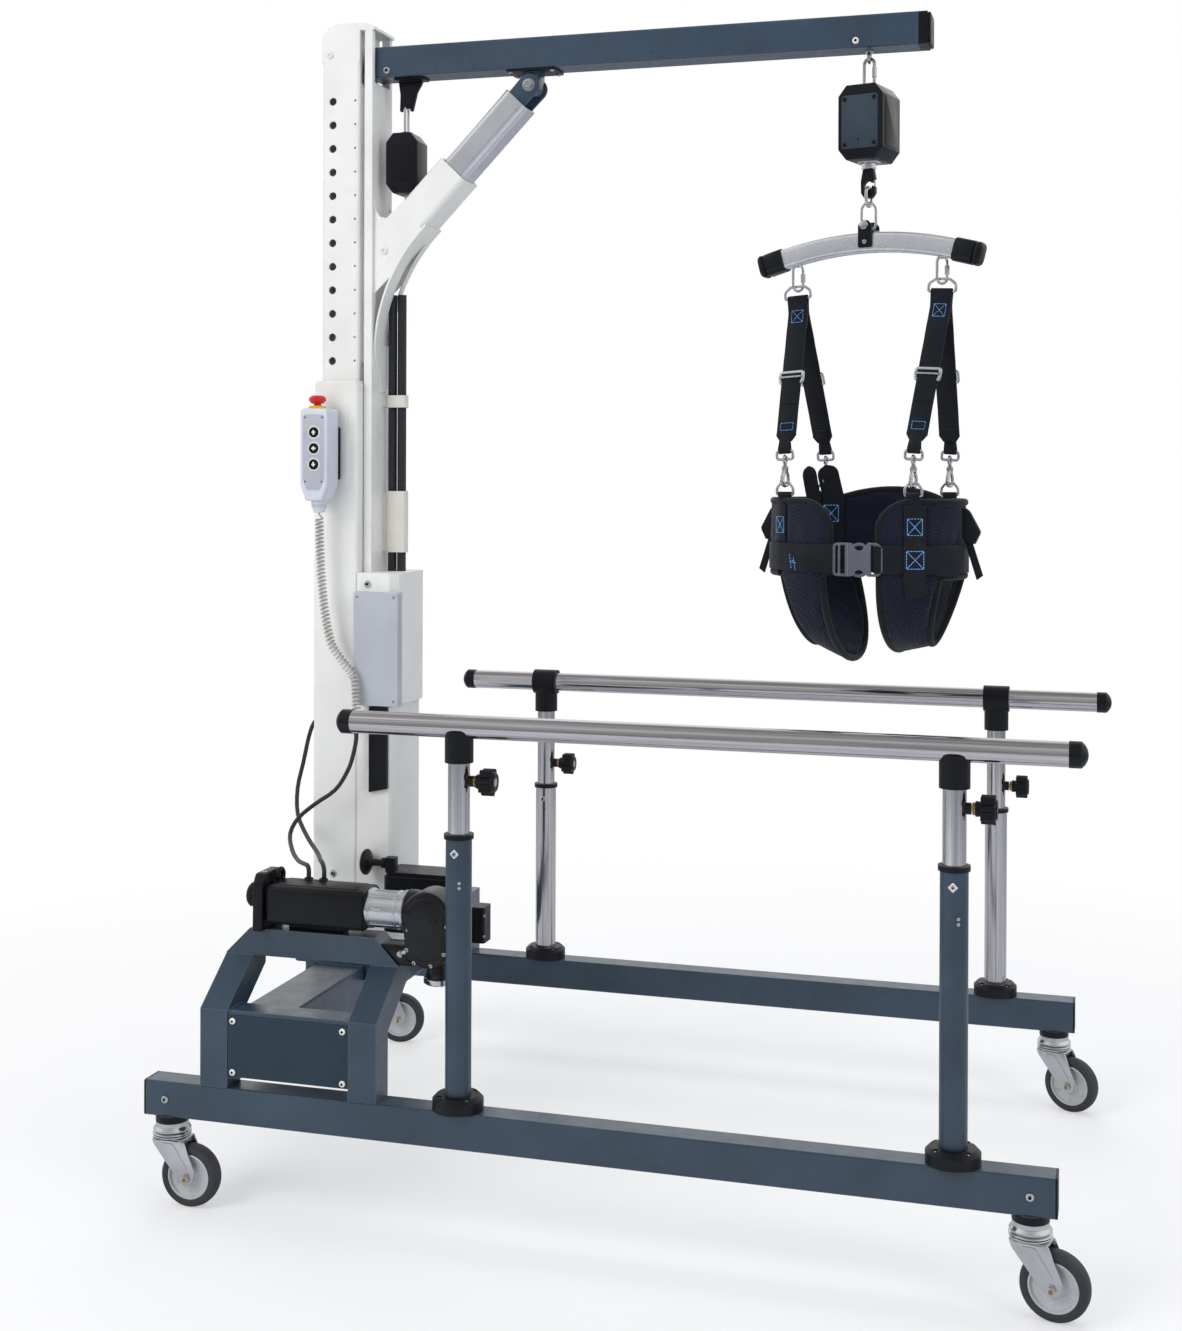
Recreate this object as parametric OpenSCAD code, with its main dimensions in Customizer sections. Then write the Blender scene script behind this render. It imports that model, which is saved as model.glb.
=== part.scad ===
// Body weight support frame: a wheeled base with a lifting mast, a boom and a hanging harness.
// +X is the way the boom reaches, +Z is up, and the origin lies on the floor. Sizes are in mm.

/* [Base frame] */
// Length of each base rail
rail_length = 1500; // [1400:10:1700]
// Width of the rail tube
rail_w = 50; // [44:1:60]
// Height of the rail tube
rail_h = 60; // [50:1:75]
// Spacing of the two rails, centre to centre
track = 925; // [880:5:1000]
// Wall of the rails, posts and boom
tube_wall = 3; // [2:0.5:4]
// Distance of the side frames behind the middle of the rails
frame_back = 488; // [480:1:500]
// Distance of the end of the far bay behind the middle of the rails
far_bay_end = 501; // [480:1:510]
// Spacing of the two legs of a side frame
leg_spacing = 270; // [250:1:300]
// Size of the square leg and top beam
leg_size = 50; // [45:1:52]
// Height of the bend in the legs above the floor
bend_height = 346; // [330:1:360]
// Distance that the legs lean inwards
lean_in = 93; // [80:1:105]
// Height of the top beam above the floor
beam_top = 462; // [450:1:480]
// Width of the cross beam under the mast
cross_w = 95; // [80:1:100]
// Height of the cross beam
cross_h = 86; // [70:1:90]

/* [Casters] */
// Diameter of a wheel
wheel_d = 105; // [95:1:110]
// Width of a tyre
wheel_w = 30; // [24:1:34]
// Height of the rail above the floor
caster_height = 155; // [150:1:170]
// Distance of the wheel axle behind the swivel
trail = 37; // [30:1:42]
// Distance of the swivels in from the rail ends
caster_inset = 36; // [30:1:60]

/* [Mast] */
// Distance of the mast behind the middle of the rails
mast_back = 546; // [530:1:560]
// Height of the fixed rear column
column_top = 1423; // [1380:1:1460]
// Height of the raised mast above the boom
mast_rise = 44; // [44:1:80]
// Length of the rear column along the rails
rear_w = 91; // [85:1:100]
// Length of the fixed front column along the rails
front_w = 70; // [64:1:80]
// Width of the fixed columns
column_depth = 144; // [136:1:160]
// Width of the sliding columns
slider_depth = 96; // [88:1:104]
// Wall of the columns
column_wall = 4; // [3:0.5:5]
// Travel of the lift
lift_travel = 450; // [300:10:480]
// Spacing of the round holes in the sliding column
hole_pitch = 45; // [38:1:45]
// Diameter of the round holes
hole_d = 15; // [10:1:20]
// Number of round holes
hole_count = 12; // [6:1:12]

/* [Boom] */
// Height of the top of the boom
boom_top = 2060; // [2055:1:2062]
// Height of the boom tube
boom_h = 58; // [50:1:60]
// Width of the boom tube
boom_w = 64; // [50:1:66]
// Distance from the mast to the end of the boom
boom_reach = 1062; // [1030:5:1150]
// Distance of the load from the boom's end
load_inset = 111; // [102:1:162]
// Distance from the mast to the pivot on the brace
pivot_reach = 322; // [310:1:330]

/* [Handrails] */
// Diameter of the handrail tube
handrail_d = 38; // [32:1:42]
// Length of the near handrail
near_rail_length = 1148; // [1100:1:1250]
// Length of the far handrail
far_rail_length = 1294; // [1250:1:1400]
// Height of the near handrail
near_rail_height = 837; // [810:1:900]
// Height of the far handrail
far_rail_height = 803; // [790:1:850]
// Outer diameter of a post sleeve
sleeve_d = 43; // [40:1:46]
// Height of the near post sleeves
near_sleeve_top = 655; // [600:1:670]
// Height of the far post sleeves
far_sleeve_top = 578; // [540:1:590]

/* [Suspension] */
// Turn of the hanging load about the vertical
load_turn = 15; // [0:1:30]
// Length of the spreader bar with its caps
spreader_length = 424; // [400:1:480]
// Height of the spreader bar at its middle
spreader_h = 36; // [30:1:40]
// Drop of the bar ends below its middle
spreader_drop = 21; // [10:1:30]
// Width of the strap webbing
strap_w = 38; // [30:1:40]
// Thickness of the strap webbing
strap_t = 3; // [2:0.5:4]

/* [Harness] */
// Width of the waist wrap
waist_w = 350; // [320:1:380]
// Depth of the waist wrap
waist_d = 246; // [220:1:260]
// Thickness of the padding
pad_t = 8; // [5:1:10]
// Width of the belt webbing
belt_w = 48; // [38:1:50]
// Drop from the boom to the top of the wrap
wrap_drop = 856; // [854:1:864]
// Drop from there to the bottom of the thigh loops
thigh_drop = 270; // [244:1:284]

/* [Hidden] */

$fn = 48;
// Clearances
slide_gap = 0.5;
turn_gap = 0.3;
seat_gap = 0.3;

// The handrails and front casters reach further than the rails, so the rails sit behind the origin
rail_mid = -34;
near_rail_mid = rail_mid + 192.5;
far_rail_mid = rail_mid + 146;
near = -1;
far = 1;
rail_y = track / 2;
rail_z = caster_height;
rail_top = rail_z + rail_h;
cap_t = 4;
leg_x = [rail_mid - frame_back - leg_spacing / 2, rail_mid - frame_back + leg_spacing / 2];
far_leg_x = [rail_mid - rail_length / 2 + leg_size / 2 - 4, rail_mid - far_bay_end - leg_size / 2];
leg_outer = rail_y + leg_size / 2;
leg_inner = leg_outer - leg_size;
bay_x = leg_x[0] + leg_size / 2;
panel_bottom = rail_top + 19;
panel_recess = 4;
lip_t = 12;
box_back = leg_size;
cross_top = bend_height - 10;
cross_x = bay_x + cross_w / 2;
saddle_t = 10;
mast_foot = cross_top + saddle_t;

// Posts along the rails
near_post_x = [rail_mid - 194, rail_mid + 600];
far_post_x = [rail_mid - 342, rail_mid + 600];
sleeve_bore = sleeve_d - 2 * tube_wall;
post_d = sleeve_bore - 2 * slide_gap;
collar_d = sleeve_d + 41;
collar_h = 24;
ring_d = sleeve_d + 6;
ring_h = 8;
near_knob_z = near_rail_height - 88;
far_knob_z = far_rail_height - 173;
post_reach_down = 230;

// Mast, from the joint face of its rear and front columns
joint_x = rail_mid - mast_back;
rear_x = joint_x - rear_w;
front_x = joint_x + front_w;
slider_x = rear_x + column_wall + slide_gap;
slider_w = rear_w - 2 * column_wall - 3 * slide_gap - 4;
strip_x = joint_x + 1.5;
strip_t = 16;
cover_bottom = 811;
cover_top = 1060;
cover_grow = 10;
slider_foot = column_top - lift_travel - 150;
strip_foot = cover_top - lift_travel - 60;
mast_top = boom_top + mast_rise;
slot_bottom = boom_top - boom_h - 10;
slot_top = boom_top + 30;
slot_w = boom_w + 8;

// Boom lines
boom_root = strip_x + 2;
boom_end = joint_x + boom_reach;
load_x = boom_end - load_inset;
pivot_x = joint_x + pivot_reach;
boom_bottom = boom_top - boom_h;
pivot_z = boom_bottom - 30;
pin_d = 14;

// Brace between the mast and the boom
brace_angle = 46;
foot_x = strip_x + strip_t;
foot_z = pivot_z - (pivot_x - foot_x) * tan(brace_angle);
sleeve_h = 66;
sleeve_depth = 82;
sleeve_wall = 4;
tube_h = 56;
tube_depth = 66;
brace_len = (pivot_x - foot_x) / cos(brace_angle);
sleeve_len = 228;
tube_end = brace_len - 34;

// Hanging load, from the boom down
eye_z = boom_bottom - 12;
box_top = eye_z - 54;
box_h = 132;
box_w = 84;
box_bottom = box_top - box_h;
bar_z = box_bottom - 143;
eye_u = 137;
ring_u = 121;
ring_v = 88;
wrap_top = boom_top - wrap_drop;
thigh_bottom = wrap_top - thigh_drop;
slider_z = wrap_top + 218;
belt_z = wrap_top - 100;
gap_u = 34;

steel = "silver";
paint = "#42525f";
cream = "#e9e9e4";
black = "#1b1c1f";

// Rounded rectangle, centred
module round_rect(w, h, r) {
    for (x = [-1, 1], y = [-1, 1])
        translate([x * (w / 2 - r), y * (h / 2 - r)]) circle(r);
    square([w - 2 * r, h], center = true);
    square([w, h - 2 * r], center = true);
}

// Rectangular tube along +X from the origin, w wide in Y and h high in Z
module beam(len, w, h, wall, r = 4) {
    rotate([90, 0, 90]) linear_extrude(len) difference() {
        round_rect(w, h, r);
        if (wall > 0) round_rect(w - 2 * wall, h - 2 * wall, max(r - wall, 0.5));
    }
}

// Solid block with rounded vertical edges, standing on z = 0 and centred in X and Y
module block(w, d, h, r = 4) {
    linear_extrude(h) round_rect(w, d, r);
}

// Wire ring in the XZ plane, of mean radius ring_r
module ring(ring_r, wire) {
    rotate([90, 0, 0]) rotate_extrude() translate([ring_r, 0]) circle(d = wire);
}

// Oval link in the XZ plane, centred, of outer height h and outer width w
module link(h, w, wire) {
    bend_r = (w - wire) / 2;
    run = h - w;
    for (side = [-1, 1]) {
        translate([side * bend_r, 0, -run / 2]) cylinder(d = wire, h = run);
        translate([0, 0, side * run / 2]) rotate([90, 0, 0])
            rotate([0, 0, side > 0 ? 0 : 180]) rotate_extrude(angle = 180)
                translate([bend_r, 0]) circle(d = wire);
    }
}

// Rectangular wire frame in the XZ plane, centred
module frame_ring(w, h, wire) {
    rotate([90, 0, 0]) translate([0, 0, -wire / 2]) linear_extrude(wire) difference() {
        round_rect(w, h, wire);
        round_rect(w - 2 * wire, h - 2 * wire, wire / 2);
    }
}

// Button head screw standing out along +Z, with a hex socket
module screw(d) {
    difference() {
        intersection() {
            cylinder(d = d, h = d * 0.35);
            translate([0, 0, d * 0.35 - d * 0.75]) sphere(d * 0.75);
        }
        translate([0, 0, d * 0.2]) cylinder(d = d * 0.4, h = d, $fn = 6);
    }
}

// Points between two others on a smooth curve through four
function curve_point(p, i, t) =
    let (n = len(p) - 1, a = p[max(i - 1, 0)], b = p[i], c = p[min(i + 1, n)], d = p[min(i + 2, n)])
    0.5 * (2 * b + (c - a) * t + (2 * a - 5 * b + 4 * c - d) * t * t
        + (3 * b - a - 3 * c + d) * t * t * t);
function smooth(p, steps) = concat(
    [for (i = [0 : len(p) - 2], s = [0 : steps - 1]) curve_point(p, i, s / steps)], [p[len(p) - 1]]);
function unit(v) = v / norm(v);
function tangent(p, i) = unit(p[min(i + 1, len(p) - 1)] - p[max(i - 1, 0)]);

// Closed tube through a list of points: one ring of corners at each, square to the path
module sweep(path, d, sides, side_ref) {
    rings = len(path);
    points = [for (i = [0 : rings - 1], k = [0 : sides - 1])
        let (t = tangent(path, i), n = unit(cross(t, side_ref)), b = cross(n, t))
        path[i] + d / 2 * (n * cos(360 * k / sides) + b * sin(360 * k / sides))];
    skin = [for (i = [0 : rings - 2], k = [0 : sides - 1])
        let (a = i * sides + k, b = i * sides + (k + 1) % sides)
        each [[a, b, b + sides], [a, b + sides, a + sides]]];
    first = [for (k = [1 : sides - 2]) [0, k + 1, k]];
    last = [for (k = [1 : sides - 2]) let (o = (rings - 1) * sides) [o, o + k, o + k + 1]];
    polyhedron(points, concat(skin, first, last));
}

// Closed skin between two grids of points with the same rows and columns
module quilt(outer, inner) {
    rows = len(outer);
    cols = len(outer[0]);
    n = rows * cols;
    function id(r, c) = r * cols + c;
    points = concat([for (row = outer) each row], [for (row = inner) each row]);
    outer_faces = [for (r = [0 : rows - 2], c = [0 : cols - 2])
        each [[id(r, c), id(r, c + 1), id(r + 1, c + 1)], [id(r, c), id(r + 1, c + 1), id(r + 1, c)]]];
    inner_faces = [for (f = outer_faces) [f[0] + n, f[2] + n, f[1] + n]];
    function edge(a, b) = [[a, a + n, b + n], [a, b + n, b]];
    rims = [
        for (c = [0 : cols - 2]) each edge(id(0, c), id(0, c + 1)),
        for (c = [0 : cols - 2]) each edge(id(rows - 1, c + 1), id(rows - 1, c)),
        for (r = [0 : rows - 2]) each edge(id(r + 1, 0), id(r, 0)),
        for (r = [0 : rows - 2]) each edge(id(r, cols - 1), id(r + 1, cols - 1))];
    polyhedron(points, concat(outer_faces, inner_faces, rims));
}

// Base

boss_d = 54;
boss_h = 27;
stem_d = 16;
stem_h = 20;
shaft_gap = 0.1;
swivel_x = [rail_mid - rail_length / 2 + caster_inset, rail_mid + rail_length / 2 - caster_inset];

module base_rail(side) {
    color(paint) translate([0, side * rail_y, 0]) {
        translate([rail_mid - rail_length / 2, 0, rail_z + rail_h / 2])
            beam(rail_length, rail_w, rail_h, tube_wall);
        for (x = swivel_x) translate([x, 0, rail_z - boss_h]) difference() {
            cylinder(d = boss_d, h = boss_h);
            translate([0, 0, -1]) cylinder(d = stem_d + 2 * shaft_gap, h = stem_h + 2);
        }
    }
}
module near_base_rail() base_rail(near);
module far_base_rail() base_rail(far);

module rail_end_caps() {
    plug = 20;
    color(black) for (side = [near, far], end = [-1, 1])
        translate([rail_mid + end * rail_length / 2, side * rail_y, rail_z + rail_h / 2])
            rotate([0, 0, end > 0 ? 0 : 180]) {
                beam(cap_t, rail_w, rail_h, 0);
                translate([-plug, 0, 0])
                    beam(plug, rail_w - 2 * tube_wall - 0.4, rail_h - 2 * tube_wall - 0.4, 2, 3);
            }
}

// The near side frame carries the drive unit; the far one is only the box bay and its legs
lean_rise = beam_top - leg_size + 4 - bend_height;
lean_angle = atan(lean_rise / lean_in);
beam_face = -leg_outer + lean_in;
lean_slope = lean_rise / lean_in;
lean_cut = leg_size / cos(lean_angle);
corner_cut = 44;

module leg_profile() {
    polygon([[-leg_outer, rail_top], [-leg_outer, bend_height],
        [beam_face, bend_height + lean_rise], [beam_face, beam_top],
        [beam_face + leg_size, beam_top],
        [beam_face + leg_size, bend_height + lean_rise + leg_size * lean_slope - lean_cut],
        [-leg_inner, bend_height + leg_size * lean_slope - lean_cut], [-leg_inner, rail_top]]);
}

module bay(xs) {
    start = xs[0] + leg_size / 2;
    w = xs[1] - xs[0] - leg_size;
    for (plate = [[bend_height - lip_t, lip_t], [panel_bottom, 4]])
        translate([start, -leg_outer + panel_recess, plate[0]])
            cube([w, box_back - panel_recess, plate[1]]);
    translate([start, -leg_outer + box_back - 4, panel_bottom])
        cube([w, 4, bend_height - panel_bottom]);
}

module near_side_frame() {
    left = leg_x[0] - leg_size / 2;
    right = leg_x[1] + leg_size / 2;
    color(paint) {
        difference() {
            union() {
                for (x = leg_x) translate([x - leg_size / 2, 0, 0])
                    rotate([90, 0, 90]) linear_extrude(leg_size) leg_profile();
                translate([left, beam_face, beam_top - leg_size + 4])
                    cube([right - left, leg_size, leg_size - 4]);
            }
            for (end = [[left, 1], [right, -1]])
                translate([end[0], beam_face - 1, beam_top]) rotate([-90, 0, 0])
                    linear_extrude(leg_size + 2)
                        polygon([[-end[1], -1], [end[1] * corner_cut, -1], [end[1] * corner_cut, 0],
                            [0, corner_cut], [-end[1], corner_cut]]);
        }
        bay(leg_x);
    }
}

module far_side_frame() mirror([0, 1, 0]) color(paint) {
    for (x = far_leg_x) translate([x - leg_size / 2, -leg_outer, rail_top])
        cube([leg_size, leg_size, bend_height - rail_top]);
    bay(far_leg_x);
}

module cross_beam() {
    span = 2 * (leg_outer - box_back);
    saddle_d = column_depth + 130;
    cheek = 26;
    color(paint) {
        translate([cross_x, -span / 2, cross_top - cross_h / 2]) rotate([0, 0, 90])
            beam(span, cross_w, cross_h, tube_wall);
        translate([(rear_x + front_x) / 2, 0, cross_top])
            block(rear_w + front_w + 16, saddle_d, saddle_t, 12);
        for (side = [near, far], half = [-1, 1])
            translate([cross_x + half * (cross_w / 2 + 12), side * (saddle_d / 2 - 22), cross_top - cheek])
                block(24, 44, cheek, 6);
    }
}

// Cover panels of the two bays
panel_t = 3;
panel_top = bend_height - lip_t + 4;
function panel_span(side) = let (xs = side == near ? leg_x : far_leg_x)
    [xs[0] + leg_size / 2 + 1, xs[1] - leg_size / 2 - 1];
panel_screw_z = [panel_bottom + 9, panel_top - 9];

module side_panels() {
    color(paint) for (side = [near, far]) {
        span = panel_span(side);
        translate([(span[0] + span[1]) / 2, side * (leg_outer - panel_recess), 0])
            rotate([90, 0, side == near ? 0 : 180])
                translate([0, (panel_bottom + 1 + panel_top) / 2, 0])
                    linear_extrude(panel_t)
                        round_rect(span[1] - span[0], panel_top - panel_bottom - 1, 5);
    }
}

module post_sleeves() {
    stations = [for (x = near_post_x) [x, near, near_sleeve_top],
        for (x = far_post_x) [x, far, far_sleeve_top]];
    color(paint) for (s = stations) translate([s[0], s[1] * rail_y, rail_top]) difference() {
        cylinder(d = sleeve_d, h = s[2] - rail_top);
        translate([0, 0, -1]) cylinder(d = sleeve_bore, h = s[2] - rail_top + 2);
    }
}

module post_collars() {
    stations = [for (x = near_post_x) [x, near, near_sleeve_top],
        for (x = far_post_x) [x, far, far_sleeve_top]];
    chamfer = 7;
    bolt_ring = sleeve_d / 2 + 11;
    color(black) for (s = stations) translate([s[0], s[1] * rail_y, 0]) {
        translate([0, 0, rail_top]) difference() {
            union() {
                cylinder(d = collar_d, h = collar_h - chamfer);
                translate([0, 0, collar_h - chamfer])
                    cylinder(d1 = collar_d, d2 = collar_d - 2 * chamfer, h = chamfer);
            }
            translate([0, 0, -1]) cylinder(d = sleeve_d, h = collar_h + 2);
            for (a = [45 : 90 : 359]) rotate([0, 0, a]) translate([bolt_ring, 0, collar_h - 5])
                cylinder(d = 9, h = 6);
        }
        translate([0, 0, s[2]]) difference() {
            cylinder(d = ring_d, h = ring_h);
            translate([0, 0, -1]) cylinder(d = post_d + 2 * turn_gap, h = ring_h + 2);
        }
    }
}

module frame_screws() {
    rail_screw = 13;
    panel_screw = 11;
    mast_screw = 14;
    color(steel) {
        for (side = [near, far]) rotate([0, 0, side == near ? 0 : 180]) {
            for (x = swivel_x) translate([-side * x, -rail_y - rail_w / 2, rail_z + rail_h / 2])
                rotate([90, 0, 0]) screw(rail_screw);
            for (x = panel_span(side) + [9, -9], z = panel_screw_z)
                translate([-side * x, -leg_outer + panel_recess - panel_t, z])
                    rotate([90, 0, 0]) screw(panel_screw);
            translate([-side * (rear_x + 43), -column_depth / 2, 489]) rotate([90, 0, 0])
                screw(mast_screw);
            translate([-side * (front_x - 48), -column_depth / 2 - 2, cover_top - 21])
                rotate([90, 0, 0]) screw(mast_screw);
        }
        for (x = near_post_x) translate([x, -rail_y - sleeve_d / 2, near_sleeve_top - 22])
            rotate([90, 0, 0]) screw(12);
        for (x = far_post_x) translate([x, rail_y - sleeve_d / 2, far_sleeve_top - 22])
            rotate([90, 0, 0]) screw(12);
    }
}

// Mast: fixed columns, with the sliding ones inside them

module column_outline(w, d, wall) {
    difference() {
        round_rect(w, d, 7);
        round_rect(w - 2 * wall, d - 2 * wall, 4);
    }
}

module rear_mast_column() {
    collar_t = 18;
    lip = 3;
    color(cream) translate([rear_x + rear_w / 2, 0, 0]) {
        translate([0, 0, mast_foot]) linear_extrude(column_top - collar_t - mast_foot)
            column_outline(rear_w, column_depth, column_wall);
        for (step = [[column_top - collar_t, collar_t - 6, 0], [column_top - 6, 6, lip]])
            translate([0, 0, step[0]]) linear_extrude(step[1]) difference() {
                round_rect(rear_w - step[2], column_depth - 2 * step[2], 7);
                translate([slider_x + slider_w / 2 - rear_x - rear_w / 2, 0])
                    square([slider_w + 2 * slide_gap, slider_depth + 2 * slide_gap], center = true);
            }
    }
}

module front_outline(w, d, corner) {
    polygon([[0, -d / 2], [w - corner, -d / 2], [w, -d / 2 + corner], [w, d / 2 - corner],
        [w - corner, d / 2], [0, d / 2]]);
}

module front_mast_column() {
    color(cream) translate([joint_x, 0, mast_foot]) linear_extrude(cover_bottom - mast_foot)
        difference() {
            front_outline(front_w, column_depth, 5);
            front_outline(front_w - column_wall, column_depth - 2 * column_wall, 3);
        }
}

line_x = [joint_x + 35, joint_x + 54];
line_y = 14;
line_d = 17;

module mast_cover() {
    roof = 6;
    grow = 4;
    corner = 14;
    depth = column_depth + grow;
    color(cream) translate([joint_x, 0, 0]) {
        translate([0, 0, cover_bottom]) linear_extrude(cover_top - roof - cover_bottom) difference() {
            front_outline(front_w + cover_grow, depth, corner);
            front_outline(front_w + cover_grow - column_wall, depth - 2 * column_wall, corner - 2);
        }
        translate([0, 0, cover_top - roof]) linear_extrude(roof) difference() {
            front_outline(front_w + cover_grow, depth, corner);
            translate([strip_x - joint_x - slide_gap, -slider_depth / 2 - slide_gap])
                square([strip_t + 2 * slide_gap, slider_depth + 2 * slide_gap]);
            for (x = line_x) translate([x - joint_x, line_y]) circle(d = line_d + 2 * slide_gap);
        }
    }
}

// Electrical boxes on the mast
cover_face = column_depth / 2 + 2;
control_w = 91;
control_t = 20;
control_bottom = 812;
control_top = 1025;
plate_w = 36;
relay_w = 146;
relay_top = 507;
relay_bottom = 396;
relay_face = 110;
relay_d = 78;

module control_box() {
    lid = 5;
    cut = 9;
    color("#a9acb4") translate([joint_x + 1, -cover_face, 0]) rotate([90, 0, 0]) {
        for (layer = [[0, control_t - lid, 0], [control_t - lid, lid, 0.8]])
            translate([0, 0, layer[0]]) linear_extrude(layer[1]) polygon([
                [layer[2] + cut, control_bottom + layer[2]],
                [control_w - layer[2], control_bottom + layer[2]],
                [control_w - layer[2], control_top - layer[2]],
                [layer[2], control_top - layer[2]], [layer[2], control_bottom + 3 * cut]]);
    }
}

module relay_box() {
    color(black) {
        translate([joint_x + 28, -column_depth / 2, 0]) rotate([90, 0, 0]) linear_extrude(9)
            polygon([[0, 648], [plate_w, 656], [plate_w, cover_bottom - 2], [0, cover_bottom - 2]]);
        translate([front_x + relay_w / 2, -relay_face + relay_d / 2, relay_bottom]) {
            block(relay_w, relay_d, relay_top - relay_bottom - 8, 8);
            translate([0, 0, relay_top - relay_bottom - 8]) block(relay_w - 6, relay_d - 6, 8, 6);
        }
        translate([front_x + relay_w + 20, -52, 378]) block(40, 40, 66, 5);
        translate([front_x + 12, brake_y, relay_top]) block(20, 20, 26, 4);
    }
}

brake_z = relay_top + 14;
brake_y = -relay_face + 12;

module brake_knob() {
    neck = 30;
    color(black) translate([front_x + 2 - seat_gap, brake_y, brake_z]) rotate([0, -90, 0]) {
        cylinder(d = 20, h = 9);
        cylinder(d = 13, h = neck);
        translate([0, 0, neck]) cylinder(d1 = 22, d2 = 46, h = 7);
        translate([0, 0, neck + 7]) cylinder(d = 48, h = 6);
        translate([0, 0, neck + 13]) cylinder(d1 = 44, d2 = 26, h = 4);
    }
}

// Hand control and the bracket that carries it
pendant_x = rail_mid - 607;
pendant_w = 56;
pendant_d = 52;
pendant_face = 137;
pendant_top = 1369;
pendant_shoulder = 1226;
pendant_foot = 1196;
gland_foot = 1174;
bracket_t = 4;
button_d = 19;
button_z = [1324, 1294, 1264];
button_hole = 8;
button_travel = 2.5;
estop_travel = 4;

module pendant_shell() {
    half = pendant_w / 2;
    color("#a9acb4") difference() {
        union() {
            intersection() {
                translate([pendant_x, -pendant_face + pendant_d, 0]) rotate([90, 0, 0])
                    linear_extrude(pendant_d) polygon([[-half, pendant_shoulder],
                        [-half, pendant_top], [half, pendant_top], [half, pendant_shoulder],
                        [half - 11, pendant_foot], [-half + 11, pendant_foot]]);
                translate([pendant_x, -pendant_face + pendant_d / 2, pendant_foot])
                    block(pendant_w, pendant_d, pendant_top - pendant_foot, 8);
            }
            translate([pendant_x, -pendant_face + pendant_d / 2, gland_foot]) {
                cylinder(d = 30, h = pendant_foot - gland_foot);
            }
            translate([pendant_x - 4, -pendant_face + pendant_d / 2, pendant_top])
                cylinder(d = 26, h = 5);
        }
        translate([pendant_x - 4, -pendant_face + pendant_d / 2, pendant_top - 14])
            cylinder(d = 14 + 2 * turn_gap, h = 30);
        for (z = button_z) translate([pendant_x + 1, -pendant_face - 1, z]) rotate([-90, 0, 0])
            cylinder(d = button_d + 2 * turn_gap, h = button_hole + 1);
    }
}

module pendant_bracket() {
    back = pendant_face - pendant_d;
    color(cream) {
        translate([pendant_x + 8, -column_depth / 2, 1288]) rotate([90, 0, 0])
            linear_extrude(bracket_t) round_rect(66, 150, 6);
        for (z = [1228, 1340]) translate([pendant_x - 14, -back, z])
            cube([28, back - column_depth / 2 - bracket_t, 12]);
    }
}

module push_button(z) {
    color(black) translate([pendant_x + 1, -pendant_face - 3, z]) rotate([-90, 0, 0]) {
        cylinder(d1 = button_d - 3, d2 = button_d, h = 1.5);
        translate([0, 0, 1.5]) cylinder(d = button_d, h = button_hole - button_travel + 1.2);
    }
}
module raise_button() push_button(button_z[0]);
module hold_button() push_button(button_z[1]);
module lower_button() push_button(button_z[2]);

module estop_button() {
    base = pendant_top + 5 + estop_travel + turn_gap;
    color("red") translate([pendant_x - 4, -pendant_face + pendant_d / 2, 0]) {
        translate([0, 0, pendant_top - 8]) cylinder(d = 14, h = base - pendant_top + 9);
        translate([0, 0, base]) cylinder(d1 = 22, d2 = 32, h = 5);
        translate([0, 0, base + 5]) cylinder(d = 32, h = 6);
        translate([0, 0, base + 11]) cylinder(d1 = 32, d2 = 22, h = 4);
    }
}

// Curly cord: its axis, then the wire wound round it
cord_wire = 3.4;
cord_d = 17;
curls = 52;
curl_rings = 8;
cord_path = [[0, -111, 1163], [1, -111, 1135], [2, -111, 1098], [6, -110, 1036], [13, -109, 976],
    [25, -108, 927], [48, -107, 894], [69, -107, 868], [74, -107, 831], [75, -107, 803]];
cord_axis = smooth([for (p = cord_path) p + [pendant_x, 0, 0]], 20);
cord_radius = (cord_d - cord_wire) / 2;
cord_steps = curls * curl_rings;

cord_last = len(cord_axis) - 1;
cord_run = [for (i = 0, l = 0; i <= cord_last;
    l = l + norm(cord_axis[min(i + 1, cord_last)] - cord_axis[i]), i = i + 1) [l, i]];
function axis_at(t) = let (s = lookup(t * cord_run[cord_last][0], cord_run), i = min(floor(s), cord_last - 1))
    cord_axis[i] + (s - i) * (cord_axis[i + 1] - cord_axis[i]);
function axis_way(t) = unit(axis_at(min(t + 0.01, 1)) - axis_at(max(t - 0.01, 0)));
function curl_point(t) = let (w = axis_way(t), n = unit(cross(w, [0, 1, 0])), b = cross(n, w))
    axis_at(t) + cord_radius * (n * cos(360 * curls * t) + b * sin(360 * curls * t));
cord_wind = [for (i = [0 : cord_steps]) curl_point(i / cord_steps)];
cord_start = axis_at(0) + [0, 0, 11];
cord_end = axis_at(1) - [0, 0, 11];
cord_line = concat([cord_start, cord_start - [0, 0, cord_wire]], cord_wind,
    [cord_end + [0, 0, cord_wire], cord_end]);

// Least gap between neighbouring curls
curl_gap = min([for (i = [curl_rings : 3 : cord_steps - curl_rings])
    norm(cord_wind[i] - cord_wind[i - curl_rings])]) - cord_wire;
echo(least_gap_of_curls = curl_gap);

module pendant_cord() {
    color(black) sweep(cord_line, cord_wire, 6, [0, 1, 0]);
}

// Drive unit on the near top beam
drive_y = -371;
drive_z = 507;
housing_x = [rail_mid - 566, rail_mid - 388];
motor_d = 68;
clamp_x = rail_mid - 590;
gear_x = rail_mid - 276;
gear_r = 42;
motor_x = [housing_x[1], gear_x - gear_r];
cable_d = 8;

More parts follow.
